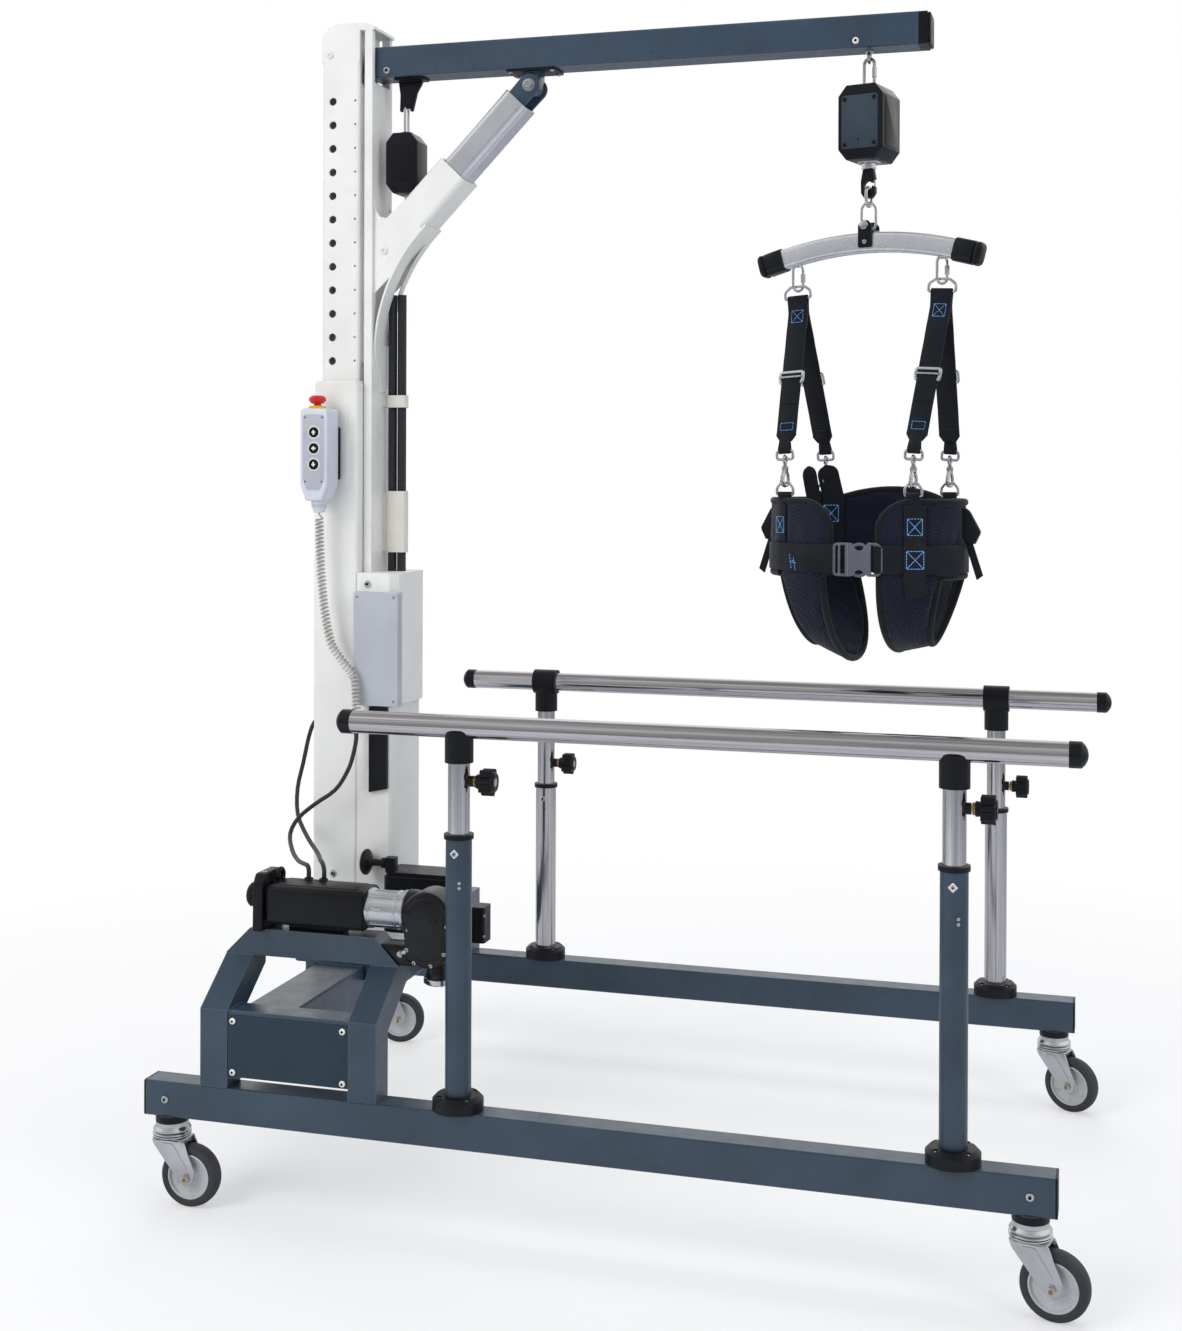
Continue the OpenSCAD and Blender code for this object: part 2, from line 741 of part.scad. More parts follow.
// Cables to the drive unit
plug_d = 17;
plug_top = cord_end[2];
lead_path = [[75, -107, plug_top - 32], [74, -107, 744], [66, -108, 710], [55, -110, 684],
    [34, -112, 654], [-4, -118, 627], [-33, -128, 601], [-38, -152, 576], [-6, -210, 560],
    [34, -270, 556], [72, -322, 562], [86, -340, 564], [92, -347, 558], [92, -347, 545.6]];
tail_path = [[-30.6, -40, 772], [-42, -40, 769], [-52, -42, 742], [-60, -50, 692], [-66, -62, 645],
    [-52, -90, 600], [-4, -150, 572], [54, -230, 562], [92, -300, 566], [112, -334, 568],
    [120, -345, 560], [120, -345, 545.6]];

module drive_cables() {
    color(black) {
        for (path = [lead_path, tail_path])
            sweep(smooth([for (p = path) p + [pendant_x, 0, 0]], 3), cable_d, 8, [1, 0.2, 0.1]);
        translate([pendant_x + 75, -107, plug_top - 32]) cylinder(d = plug_d, h = 32);
    }
}

module drive_housing() {
    body_h = 68;
    body_d = 74;
    clamp_t = 18;
    top = drive_z + body_h / 2;
    color(black) {
        translate([housing_x[0], drive_y, drive_z]) beam(housing_x[1] - housing_x[0], body_d, body_h, 0, 12);
        translate([clamp_x, drive_y, 0]) rotate([90, 0, 90]) linear_extrude(clamp_t) {
            translate([0, (beam_top + top + 18) / 2]) round_rect(body_d + 10, top + 18 - beam_top, 14);
            translate([0, beam_top + 12]) square([leg_size - 4, 24], center = true);
        }
        translate([clamp_x + clamp_t, drive_y, 0]) rotate([90, 0, 90])
            linear_extrude(housing_x[0] - clamp_x - clamp_t)
                translate([0, drive_z]) round_rect(body_d - 20, body_h - 8, 10);
        translate([housing_x[0] + 30, drive_y - 12, beam_top]) cube([100, 30, drive_z - beam_top - 20]);
        for (x = [92, 120]) translate([pendant_x + x, drive_y + 24, top - 4])
            cylinder(d = cable_d + 6, h = 8);
    }
}

module drive_motor() {
    fins = 24;
    fin = 2.4;
    color(steel) translate([motor_x[0], drive_y, drive_z]) rotate([90, 0, 90]) {
        cylinder(d = motor_d, h = 6);
        translate([0, 0, 6]) linear_extrude(motor_x[1] - motor_x[0] - 12) {
            circle(d = motor_d - 6);
            for (i = [0 : fins - 1]) rotate(i * 360 / fins)
                translate([motor_d / 2 - 4.5, 0]) square([7, fin], center = true);
        }
        translate([0, 0, motor_x[1] - motor_x[0] - 6]) cylinder(d = motor_d, h = 6);
    }
}

module drive_gearbox() {
    depth = 60;
    low_z = 430;
    beam_end = leg_x[1] + leg_size / 2;
    color(black) {
        translate([motor_x[1], drive_y, drive_z]) rotate([0, 90, 0])
            cylinder(d = motor_d + 4, h = gear_x - motor_x[1] - 4);
        translate([gear_x, drive_y + depth / 2 - 2, 0]) rotate([90, 0, 0]) linear_extrude(depth) {
            translate([0, drive_z - 2]) circle(gear_r);
            polygon([[-41, drive_z - 10], [41, drive_z - 12], [38, low_z + 8], [-4, low_z - 12],
                [-38, low_z + 6]]);
        }
        translate([gear_x + 14, drive_y, 399]) cylinder(d = 46, h = 40);
        translate([beam_end, beam_face + 6, 418]) cube([gear_x - 30 - beam_end, leg_size - 12, 34]);
    }
    color(steel) {
        translate([gear_x + 14, drive_y, 389]) difference() {
            cylinder(d = 54, h = 10);
            translate([0, 0, -1]) cylinder(d = 26, h = 6);
        }
        translate([gear_x - 46, drive_y - 30, 440]) {
            sphere(d = 13);
            rotate([0, 60, 0]) cylinder(d = 7, h = 20);
        }
    }
}

module drive_hand_knob() {
    grip = 42;
    color(black) translate([clamp_x - seat_gap, drive_y, drive_z + 8]) rotate([0, -90, 0]) {
        cylinder(d = 24, h = 8);
        translate([0, 0, 8]) cylinder(d = grip - 6, h = 3);
        translate([0, 0, 11]) cylinder(d = grip, h = 10);
        translate([0, 0, 21]) cylinder(d1 = grip, d2 = grip - 8, h = 3);
    }
}

// Casters

fork_wall = 3;
fork_inner = wheel_w / 2 + 3;
axle_d = 10;
raceway_h = 11;
fork_top = rail_z - boss_h - seat_gap;
crown_z = fork_top - raceway_h;

module fork() {
    color(steel) {
        translate([0, 0, fork_top]) cylinder(d = stem_d, h = stem_h);
        translate([0, 0, crown_z]) cylinder(d = 56, h = raceway_h);
        translate([0, 0, crown_z - 5]) block(2 * (fork_inner + fork_wall) + 6, 2 * (fork_inner + fork_wall), 5, 8);
        for (side = [-1, 1]) translate([0, side * (fork_inner + fork_wall / 2) + fork_wall / 2, 0])
            rotate([90, 0, 0]) linear_extrude(fork_wall) difference() {
                union() {
                    polygon([[-23, crown_z], [23, crown_z], [trail + 13, wheel_d / 2 + 4],
                        [trail + 4, wheel_d / 2 - 12], [trail - 12, wheel_d / 2 - 4]]);
                    translate([trail, wheel_d / 2]) circle(13);
                }
                translate([trail, wheel_d / 2]) circle(d = axle_d - 0.4);
            }
        translate([trail, 0, wheel_d / 2]) rotate([90, 0, 0]) {
            cylinder(d = axle_d, h = 2 * (fork_inner + fork_wall), center = true);
            for (end = [-1, 1]) translate([0, 0, end * (fork_inner + fork_wall + 2.5)])
                cylinder(d = 16, h = 5, center = true);
        }
    }
}

module wheel() {
    hub_w = wheel_w + 4;
    tread_r = 7;
    tyre_t = 16;
    color("#55585c") translate([trail, 0, wheel_d / 2]) rotate([90, 0, 0]) rotate_extrude() {
        translate([axle_d / 2 + shaft_gap, -hub_w / 2]) square([9, hub_w]);
        translate([axle_d / 2 + 8, -wheel_w * 0.2]) square([wheel_d / 2 - tyre_t - axle_d / 2 - 7, wheel_w * 0.4]);
        for (side = [-1, 1]) translate([wheel_d / 2 - tread_r, side * (wheel_w / 2 - tread_r)])
            circle(tread_r);
        translate([wheel_d / 2 - tyre_t, -wheel_w / 2]) square([tyre_t - tread_r, wheel_w]);
        translate([wheel_d / 2 - tyre_t, -wheel_w / 2 + tread_r]) square([tyre_t, wheel_w - 2 * tread_r]);
    }
}

// Each caster stands turned as it came to rest
module at_caster(end, side, turn) {
    translate([swivel_x[end], side * rail_y, 0]) rotate([0, 0, turn]) children();
}
near_rear_turn = 0;
near_front_turn = -12;
far_rear_turn = 8;
far_front_turn = -22;
module near_rear_fork() at_caster(0, near, near_rear_turn) fork();
module near_rear_wheel() at_caster(0, near, near_rear_turn) wheel();
module near_front_fork() at_caster(1, near, near_front_turn) fork();
module near_front_wheel() at_caster(1, near, near_front_turn) wheel();
module far_rear_fork() at_caster(0, far, far_rear_turn) fork();
module far_rear_wheel() at_caster(0, far, far_rear_turn) wheel();
module far_front_fork() at_caster(1, far, far_front_turn) fork();
module far_front_wheel() at_caster(1, far, far_front_turn) wheel();

// Handrails

module handrail(rail_x, len, height, posts, side, sleeve_top) {
    color(steel) translate([0, side * rail_y, 0]) {
        translate([rail_x - len / 2, 0, height]) rotate([0, 90, 0]) difference() {
            cylinder(d = handrail_d, h = len);
            translate([0, 0, -1]) cylinder(d = handrail_d - 2 * tube_wall, h = len + 2);
        }
        for (x = posts) translate([x, 0, sleeve_top - post_reach_down])
            difference() {
                cylinder(d = post_d, h = height - handrail_d / 2 - 4 - sleeve_top + post_reach_down);
                translate([0, 0, -1])
                    cylinder(d = post_d - 2 * tube_wall, h = height - sleeve_top + post_reach_down);
            }
    }
}
module near_handrail()
    handrail(near_rail_mid, near_rail_length, near_rail_height, near_post_x, near, near_sleeve_top);
module far_handrail()
    handrail(far_rail_mid, far_rail_length, far_rail_height, far_post_x, far, far_sleeve_top);

// End caps, tees and knob bosses of one handrail. A wrapped tee goes right round the rail.
socket_d = post_d + 11;
knob_reach = 31;
knob_screw = 10;

module rail_fittings(rail_x, len, height, posts, side, knob_z, socket_drop, wrapped) {
    cap_len = 28;
    cap_d = handrail_d + 2;
    color(black) translate([0, side * rail_y, 0]) {
        for (end = [-1, 1]) translate([rail_x + end * len / 2, 0, height])
            rotate([0, end * 90, 0]) intersection() {
                cylinder(d = cap_d, h = cap_len);
                translate([0, 0, cap_len - cap_d * 0.62]) sphere(cap_d * 0.62);
            }
        for (x = posts) translate([x, 0, 0]) difference() {
            union() {
                translate([0, 0, height - socket_drop])
                    cylinder(d = socket_d, h = socket_drop - (wrapped ? 0 : 8));
                if (wrapped) translate([0, 0, height]) rotate([0, 90, 0])
                    cylinder(d = handrail_d + 13, h = 50, center = true);
            }
            translate([0, 0, height]) rotate([0, 90, 0])
                cylinder(d = handrail_d, h = 80, center = true);
            translate([0, 0, height - socket_drop - 1])
                cylinder(d = post_d, h = socket_drop - handrail_d / 2 - 3);
        }
        for (x = posts) translate([x, 0, knob_z]) rotate([0, 90, 0]) difference() {
            translate([0, 0, post_d / 2 - 3]) cylinder(d = 18, h = 10);
            rotate([0, -90, 0]) cylinder(d = post_d, h = 40, center = true);
            cylinder(d = knob_screw + 2 * shaft_gap, h = 60);
        }
    }
}
module near_rail_fittings()
    rail_fittings(near_rail_mid, near_rail_length, near_rail_height, near_post_x, near, near_knob_z, 58, false);
module far_rail_fittings()
    rail_fittings(far_rail_mid, far_rail_length, far_rail_height, far_post_x, far, far_knob_z, 62, true);

module star_knob(x, side, z) {
    lobes = 7;
    knob_d = 46;
    thick = 22;
    color(black) translate([x, side * rail_y, z]) rotate([0, 90, 0]) {
        translate([0, 0, post_d / 2 + seat_gap]) cylinder(d = knob_screw, h = knob_reach - post_d / 2);
        translate([0, 0, knob_reach]) cylinder(d = 24, h = 8);
        translate([0, 0, knob_reach + 8]) linear_extrude(thick) {
            circle(d = knob_d - 10);
            for (i = [0 : lobes - 1]) rotate(i * 360 / lobes) translate([knob_d / 2 - 7, 0]) circle(7);
        }
        translate([0, 0, knob_reach + 8 + thick]) cylinder(d1 = knob_d - 12, d2 = knob_d - 24, h = 3);
    }
}
module near_rear_knob() star_knob(near_post_x[0], near, near_knob_z);
module near_front_knob() star_knob(near_post_x[1], near, near_knob_z);
module far_rear_knob() star_knob(far_post_x[0], far, far_knob_z);
module far_front_knob() star_knob(far_post_x[1], far, far_knob_z);

// Sliding mast

cap_h = 72;
slider_mid = slider_x + slider_w / 2;
round_hole_x = joint_x - 64;
small_hole_x = slider_x + slider_w - 9;
first_hole_z = mast_top - 147;

module mast_slider() {
    nose = 34;
    strip_front = strip_x + strip_t;
    color(cream) {
        difference() {
            translate([slider_mid, 0, slider_foot]) linear_extrude(mast_top - cap_h - slider_foot)
                column_outline(slider_w, slider_depth, column_wall);
            for (i = [0 : hole_count - 1]) translate([0, 0, first_hole_z - i * hole_pitch]) {
                translate([round_hole_x, 0, 0]) rotate([90, 0, 0])
                    cylinder(d = hole_d, h = slider_depth + 2, center = true);
                translate([small_hole_x, -slider_depth / 2 + 2, 0]) rotate([90, 0, 0])
                    cylinder(d = 4, h = 6, center = true);
            }
            translate([slider_x + slider_w - 6, -slot_w / 2, slot_bottom])
                cube([8, slot_w, slot_top - slot_bottom]);
        }
        translate([0, slider_depth / 2, 0]) rotate([90, 0, 0]) linear_extrude(slider_depth) {
            translate([slider_x + nose, mast_top - nose]) circle(nose);
            translate([slider_x, mast_top - cap_h]) square([slider_w, cap_h - nose]);
            translate([slider_x + nose, mast_top - cap_h]) square([slider_w - nose, cap_h]);
            polygon([[slider_x + slider_w, slot_top], [strip_front + 4, slot_top],
                [strip_front + 4, mast_top - 8], [strip_front - 6, mast_top - 3],
                [slider_x + slider_w, mast_top]]);
        }
        for (side = [near, far]) translate([slider_x + 16, side * slider_depth / 2, mast_top - 58])
            rotate([side * -90, 0, 0]) screw(14);
    }
}

module mast_front_slider() {
    spacer_w = 60;
    spacer_foot = column_top + 36;
    color(cream) {
        difference() {
            translate([strip_x, -slider_depth / 2, strip_foot])
                cube([strip_t, slider_depth, slot_top - strip_foot]);
            translate([strip_x - 1, -slot_w / 2, slot_bottom])
                cube([strip_t + 2, slot_w, slot_top - slot_bottom + 1]);
        }
        translate([slider_x + slider_w, -spacer_w / 2, spacer_foot])
            cube([strip_x - slider_x - slider_w, spacer_w, slot_bottom - 6 - spacer_foot]);
    }
}

// Brace: square sleeve along its slope, side plates and the curved plate under it
curve_r = 340;
curve_x = foot_x + curve_r;
// The curved plate starts upright on the column and ends along the underside of the sleeve
curve_z = foot_z - (sleeve_h / 2 - 1) / cos(brace_angle) + curve_r * (1 - cos(brace_angle)) * tan(brace_angle)
    - curve_r * sin(brace_angle);
function curve_at(a, r) = [curve_x - r * cos(a), curve_z + r * sin(a)];

module on_slope() {
    translate([foot_x, 0, foot_z]) rotate([0, -brace_angle, 0]) children();
}

module brace_sleeve() {
    plate_t = 4;
    slot_in = 0;
    slot_out = 28;
    cheek_start = 26;
    cheek_t = 3.2;
    cheek_in = 2.1;
    fillet = 62;
    tip = 70;
    lower = (sleeve_h / 2) / cos(brace_angle);
    lean = tan(brace_angle);
    cheek = concat([for (a = [cheek_start : 3 : brace_angle + 0.5]) curve_at(a, curve_r - 1)],
        [[foot_x + 90, foot_z + 90 * lean], [foot_x + 44, foot_z + lower + 44 * lean - 1],
        [foot_x + 26, foot_z + lower + 28], [foot_x + 13, foot_z + lower + 31],
        [foot_x + 4, foot_z + lower + 44], [foot_x, foot_z + lower + fillet],
        [foot_x, curve_z + curve_r * sin(cheek_start) - 34]]);
    color(cream) {
        difference() {
            intersection() {
                on_slope() translate([-80, 0, 0]) beam(sleeve_len + 80, sleeve_depth, sleeve_h, sleeve_wall, 10);
                translate([foot_x, -sleeve_depth, curve_z]) cube([600, 2 * sleeve_depth, 900]);
            }
            translate([link_x, 0, foot_z]) cylinder(d = rod_d + 2, h = 400);
        }
        for (side = [near, far]) translate([0, side * (sleeve_depth / 2 - cheek_in), 0])
            rotate([90, 0, 0]) linear_extrude(cheek_t, center = true) polygon(cheek);
        difference() {
            translate([0, sleeve_depth / 2, 0]) rotate([90, 0, 0]) linear_extrude(sleeve_depth)
                intersection() {
                    difference() {
                        translate([curve_x, curve_z]) circle(curve_r, $fn = 96);
                        translate([curve_x, curve_z]) circle(curve_r - plate_t, $fn = 96);
                    }
                    polygon([[curve_x, curve_z], curve_at(0, curve_r + 40),
                        curve_at(brace_angle / 2, curve_r + 60), curve_at(brace_angle, curve_r + 40)]);
                }
            translate([foot_x, slot_in, curve_z + 20]) cube([400, slot_out - slot_in, 195]);
        }
        translate([foot_x, 0, 0]) rotate([90, 0, 90]) linear_extrude(plate_t)
            polygon([[-sleeve_depth / 2, curve_z], [sleeve_depth / 2, curve_z],
                [8, curve_z - tip], [-8, curve_z - tip]]);
        for (side = [near, far]) translate([foot_x + 22, side * sleeve_depth / 2, foot_z + 14])
            rotate([side * -90, 0, 0]) screw(15);
    }
}

tube_start = 116;
module brace_tube() {
    bush = 16;
    color(steel) on_slope() {
        translate([tube_start, 0, 0]) beam(tube_end - tube_start, tube_depth, tube_h, tube_wall, 14);
        translate([sleeve_len - 6 - bush, 0, 0]) difference() {
            beam(bush, sleeve_depth - 2 * sleeve_wall, sleeve_h - 2 * sleeve_wall, 0, 6);
            translate([-1, 0, 0]) beam(bush + 2, tube_depth - 2, tube_h - 2, 0, 13);
        }
    }
}

// Two plates rise out of the brace tube and carry the boom's pivot pin
clevis_t = 6;
clevis_gap = 40;
module brace_clevis() {
    plate_w = 38;
    reach = brace_len - tube_end + 60;
    pad_w = tube_depth - 2 * tube_wall - seat_gap;
    color(paint) {
        for (side = [near, far]) translate([0, side * (clevis_gap + clevis_t) / 2, 0]) {
            on_slope() translate([brace_len - reach, -clevis_t / 2, -plate_w / 2])
                cube([reach, clevis_t, plate_w]);
            translate([pivot_x, 0, pivot_z]) rotate([90, 0, 0])
                cylinder(d = plate_w + 4, h = clevis_t, center = true);
        }
        on_slope() translate([tube_end - 34, -pad_w / 2, -10]) cube([14, pad_w, 20]);
    }
    color(steel) translate([pivot_x, 0, pivot_z]) rotate([90, 0, 0]) {
        cylinder(d = pin_d, h = clevis_gap + 2 * clevis_t, center = true);
        for (end = [-1, 1]) translate([0, 0, end * (clevis_gap / 2 + clevis_t + 4)])
            cylinder(d = 24, h = 8, center = true);
    }
}

// Two lines from the cover up to the brace, with their clip and sleeve
module balance_lines() {
    line_top = foot_z - sleeve_h;
    line_foot = cover_top - lift_travel - 50;
    clip_z = 1386;
    guard = [1096, 1214];
    mid_x = (line_x[0] + line_x[1]) / 2;
    wrap_w = line_x[1] - line_x[0] + line_d + 6;
    color(black) for (x = line_x) translate([x, line_y, line_foot])
        cylinder(d = line_d, h = line_top - line_foot);
    color(cream) for (band = [[clip_z - 12, 24], [guard[0], guard[1] - guard[0]]]) {
        translate([mid_x, line_y, band[0]]) linear_extrude(band[1]) difference() {
            round_rect(wrap_w, line_d + 6, 8);
            for (x = line_x) translate([x - mid_x, 0]) circle(d = line_d);
        }
        translate([foot_x, line_y - 8, band[0] + 2])
            cube([mid_x - wrap_w / 2 + 4 - foot_x, 16, band[1] - 4]);
    }
}

// Boom

arm_x = rail_mid - 478;
arm_foot = boom_bottom - 58;
arm_t = 8;

module boom() {
    cap_at = boom_end - 22;
    color(paint) difference() {
        translate([boom_root, 0, boom_top - boom_h / 2])
            beam(cap_at - boom_root, boom_w, boom_h, tube_wall, 5);
    }
}

module boom_fittings() {
    lug_w = clevis_gap - 2 * slide_gap;
    cap_len = 22;
    lug_ear = 34;
    color(black) {
        translate([boom_end - cap_len, 0, boom_top - boom_h / 2]) {
            beam(cap_len - 6, boom_w, boom_h, 0, 5);
            translate([cap_len - 6, 0, 0]) beam(6, boom_w - 6, boom_h - 6, 0, 8);
        }
        translate([pivot_x - 44, -boom_w / 2 + 2, boom_bottom - 4]) cube([96, boom_w - 4, 4]);
        translate([arm_x - 20, -18, boom_bottom - 4]) cube([60, 36, 4]);
        difference() {
            translate([0, arm_t / 2, 0]) rotate([90, 0, 0]) linear_extrude(arm_t)
                polygon([[arm_x - 16, boom_bottom - 3], [arm_x + 36, boom_bottom - 3],
                    [arm_x + 22, boom_bottom - 26], [arm_x + 13, arm_foot - 4],
                    [arm_x - 13, arm_foot - 4], [arm_x - 12, boom_bottom - 30]]);
            translate([arm_x - 8, -arm_t, arm_foot + 2]) cube([16, 2 * arm_t, 10]);
        }
    }
    color(paint) difference() {
        translate([0, lug_w / 2, 0]) rotate([90, 0, 0]) linear_extrude(lug_w) {
            translate([pivot_x, pivot_z]) circle(d = lug_ear);
            translate([pivot_x - lug_ear / 2, pivot_z]) square([lug_ear, boom_bottom - 3 - pivot_z]);
        }
        translate([pivot_x, 0, pivot_z]) rotate([90, 0, 0])
            cylinder(d = pin_d + 2 * shaft_gap, h = lug_w + 2, center = true);
    }
    color(steel) {
        translate([load_x, 0, eye_z]) rotate([0, 0, 90]) ring(eye_r, wire_d);
        translate([load_x, 0, eye_z + eye_r - 1]) cylinder(d = 16, h = boom_bottom - eye_z - eye_r + 1);
        for (spot = [[boom_root + 22, 14], [load_x - 20, 12]], side = [near, far])
            translate([spot[0], side * boom_w / 2, boom_bottom + 12]) rotate([side * -90, 0, 0])
                screw(spot[1]);
    }
}
eye_r = 9;
wire_d = 6;

// Black box between the boom's arm and the brace
link_x = arm_x;
link_wire = 5;
rod_d = 8;
balance_top = boom_bottom - 106;
balance_bottom = balance_top - 115;

module load_case(w, d, h, cut) {
    intersection() {
        block(w, d, h, 6);
        translate([0, d / 2, 0]) rotate([90, 0, 0]) linear_extrude(d)
            polygon([[-w / 2, cut], [-w / 2 + cut * 0.8, 0], [w / 2 - cut * 0.8, 0], [w / 2, cut],
                [w / 2, h - cut], [w / 2 - cut * 0.8, h], [-w / 2 + cut * 0.8, h], [-w / 2, h - cut]]);
    }
}

module balance_box() {
    link_top = arm_foot + 2 + seat_gap + link_wire / 2 + 1.2;
    link_h = link_top + link_wire / 2 - balance_top + 8;
    drop = 40;
    color(black) translate([link_x, 0, balance_bottom])
        load_case(64, 56, balance_top - balance_bottom, 18);
    color(steel) {
        translate([link_x, 0, link_top + link_wire / 2 - link_h / 2]) rotate([0, 0, 90])
            link(link_h, 22, link_wire);
        translate([link_x, 0, balance_bottom - drop]) cylinder(d = rod_d, h = drop + 4);
        translate([link_x, 0, balance_top - 1]) cylinder(d = 26, h = 5);
    }
}

// Hanging load: everything below the boom is turned about the load line
module on_load() {
    translate([load_x, 0, 0]) rotate([0, 0, -load_turn]) children();
}

module load_box() {
    screw_in = 14;
    link_h = box_top + 8 - (eye_z - eye_r - wire_d - seat_gap + 2 * wire_d);
    link_top = eye_z - eye_r + 1.5 * wire_d + seat_gap;
    color(black) on_load() {
        difference() {
            translate([0, 0, box_bottom]) load_case(box_w, box_w, box_h, 19);
            translate([0, 0, box_bottom - 1]) cylinder(d = stem_d + 2 * shaft_gap, h = 25);
        }
        translate([0, -box_w / 2, box_bottom + box_h / 2]) rotate([90, 0, 0]) linear_extrude(3)
            round_rect(box_w - 16, box_h - 38, 6);
        translate([0, 0, box_top - 1]) cylinder(d = 34, h = 6);
        for (x = [-1, 1], z = [-1, 1])
            translate([x * (box_w / 2 - screw_in), -box_w / 2 - 3, box_bottom + box_h / 2 + z * (box_h / 2 - 26)])
                rotate([90, 0, 0]) screw(8);
    }
    color(steel) on_load() translate([0, 0, (link_top + box_top - 4) / 2])
        link(link_top - box_top + 4, 25, wire_d);
}

// Hook, links and bracket between the box and the bar
module load_hook() {
    bar_top = bar_z + spreader_h / 2;
    hook_foot = box_bottom - 64;
    hook_t = 12;
    shackle_top = hook_foot + 22.6;
    shackle_h = 40;
    delta_top = shackle_top - shackle_h + 11.7;
    delta_foot = bar_top + 0.7;
    bolt_z = bar_top + 11;
    plate_y = 15.3;
    color(black) on_load() {
        translate([0, 0, box_bottom - 8]) cylinder(d = stem_d, h = 30);
        translate([0, 0, box_bottom - 12]) cylinder(d = 26, h = 12 - seat_gap);
        difference() {
            translate([0, hook_t / 2, 0]) rotate([90, 0, 0]) linear_extrude(hook_t)
                polygon([[-9, box_bottom - 10], [9, box_bottom - 10], [13, hook_foot + 28],
                    [13, hook_foot + 8], [7, hook_foot], [-7, hook_foot], [-13, hook_foot + 8],
                    [-13, hook_foot + 28]]);
            translate([0, 0, hook_foot + 22]) rotate([90, 0, 0])
                cylinder(d = 16, h = hook_t + 2, center = true);
            translate([0, -hook_t, hook_foot + 25]) cube([20, 2 * hook_t, 4]);
        }
        for (side = [-1, 1]) translate([-13, side * (plate_y + 2) - 2, bar_z - 10])
            cube([26, 4, bolt_z + 9 - bar_z + 10]);
        for (side = [-1, 1]) translate([side * 9 - 4, -plate_y - 2, bar_top + 0.3])
            cube([8, 2 * plate_y + 4, 4]);
    }
    color(steel) on_load() {
        translate([0, 0, shackle_top - shackle_h / 2]) rotate([0, 0, 90]) link(shackle_h, 30, 6);
        translate([0, 0, (delta_top + delta_foot) / 2]) rotate([0, 0, 20])
            link(delta_top - delta_foot, 30, 5);
        translate([0, 0, bolt_z]) rotate([90, 0, 0]) {
            cylinder(d = 10, h = 2 * plate_y + 8, center = true);
            for (end = [-1, 1]) translate([0, 0, end * (plate_y + 7)])
                cylinder(d = 17, h = 6, center = true);
        }
    }
}

// Arched spreader bar with caps, and the links that hang from it
half_bar = (spreader_length - 100) / 2;
arch_r = (half_bar * half_bar + spreader_drop * spreader_drop) / (2 * spreader_drop);
arch_angle = asin(half_bar / arch_r);
eye_drop = arch_r * (1 - cos(asin(eye_u / arch_r)));
link_top_z = bar_z - eye_drop - spreader_h / 2;
quick_h = 52;
quick_wire = 5;
quick_foot = link_top_z + 3 - quick_h;

module spreader_bar() {
    bar_t = 30;
    cap_h = 50;
    color(steel) on_load() {
        translate([0, 0, bar_z - arch_r]) rotate([90, 0, 0]) rotate([0, 0, 90 - arch_angle])
            rotate_extrude(angle = 2 * arch_angle, $fn = 180) translate([arch_r, 0])
                round_rect(spreader_h, bar_t, 8);
        for (side = [-1, 1]) translate([side * eye_u, 0, 0]) rotate([0, 0, 45]) {
            translate([0, 0, quick_foot + quick_h / 2]) link(quick_h, 24, quick_wire);
            translate([0, 0, link_top_z - 3]) cylinder(d = 12, h = 8);
        }
    }
    color(black) on_load() for (side = [-1, 1])
        translate([0, 0, bar_z - arch_r]) rotate([0, side * arch_angle, 0])
            translate([0, 0, arch_r]) rotate([0, side * 90, 0]) rotate([0, 0, 90]) {
                linear_extrude(cap_h - 8) round_rect(bar_t + 8, spreader_h + 6, 14);
                translate([0, 0, cap_h - 8]) linear_extrude(4) round_rect(bar_t + 3, spreader_h, 13);
                translate([0, 0, cap_h - 4]) linear_extrude(4) round_rect(bar_t - 6, spreader_h - 9, 10);
            }
}

// Four straps in two pairs: each pair starts on one ring and opens towards the wrap
dring_wire = 5;
dring_h = 26;
dring_top = quick_foot + quick_wire + dring_wire + 2.6;
bar_bore = 1.42 * dring_wire + 2 * seat_gap;
loop_d = 14;
strap_top = dring_top - dring_h + dring_wire / 2;
strap_run = strap_top - wrap_top - 86;
strap_lean = asin((eye_u - ring_u) / strap_run);
strap_bend = 26;
strap_start = 3;
strap_open = atan((ring_v - strap_start) / (strap_run - strap_bend));
tab_w = 22;
tab_len = 30;
strap_ring_w = 36;
strap_ring_h = 20;
hook_wire = 5;
hook_foot_z = wrap_top + 22;
wrap_ring_h = 26;
loop_z = hook_foot_z + hook_wire + 0.5 - wrap_ring_h + 1.5 * dring_wire;
function strap_v(s) = strap_start + (ring_v - strap_start) * (s - strap_bend) / (strap_run - strap_bend);
function strap_point(s) = [eye_u - s * sin(strap_lean), strap_top - s * cos(strap_lean)];
hook_s = strap_run + strap_ring_h - dring_wire;
hook_u = strap_point(hook_s)[0];

module along_strap(side, depth) {
    translate([side * eye_u, 0, strap_top]) rotate([0, side * strap_lean, 0])
        mirror([0, depth < 0 ? 1 : 0, 0]) children();
}

module across(d, w) {
    rotate([0, 90, 0]) cylinder(d = d, h = w, center = true);
}

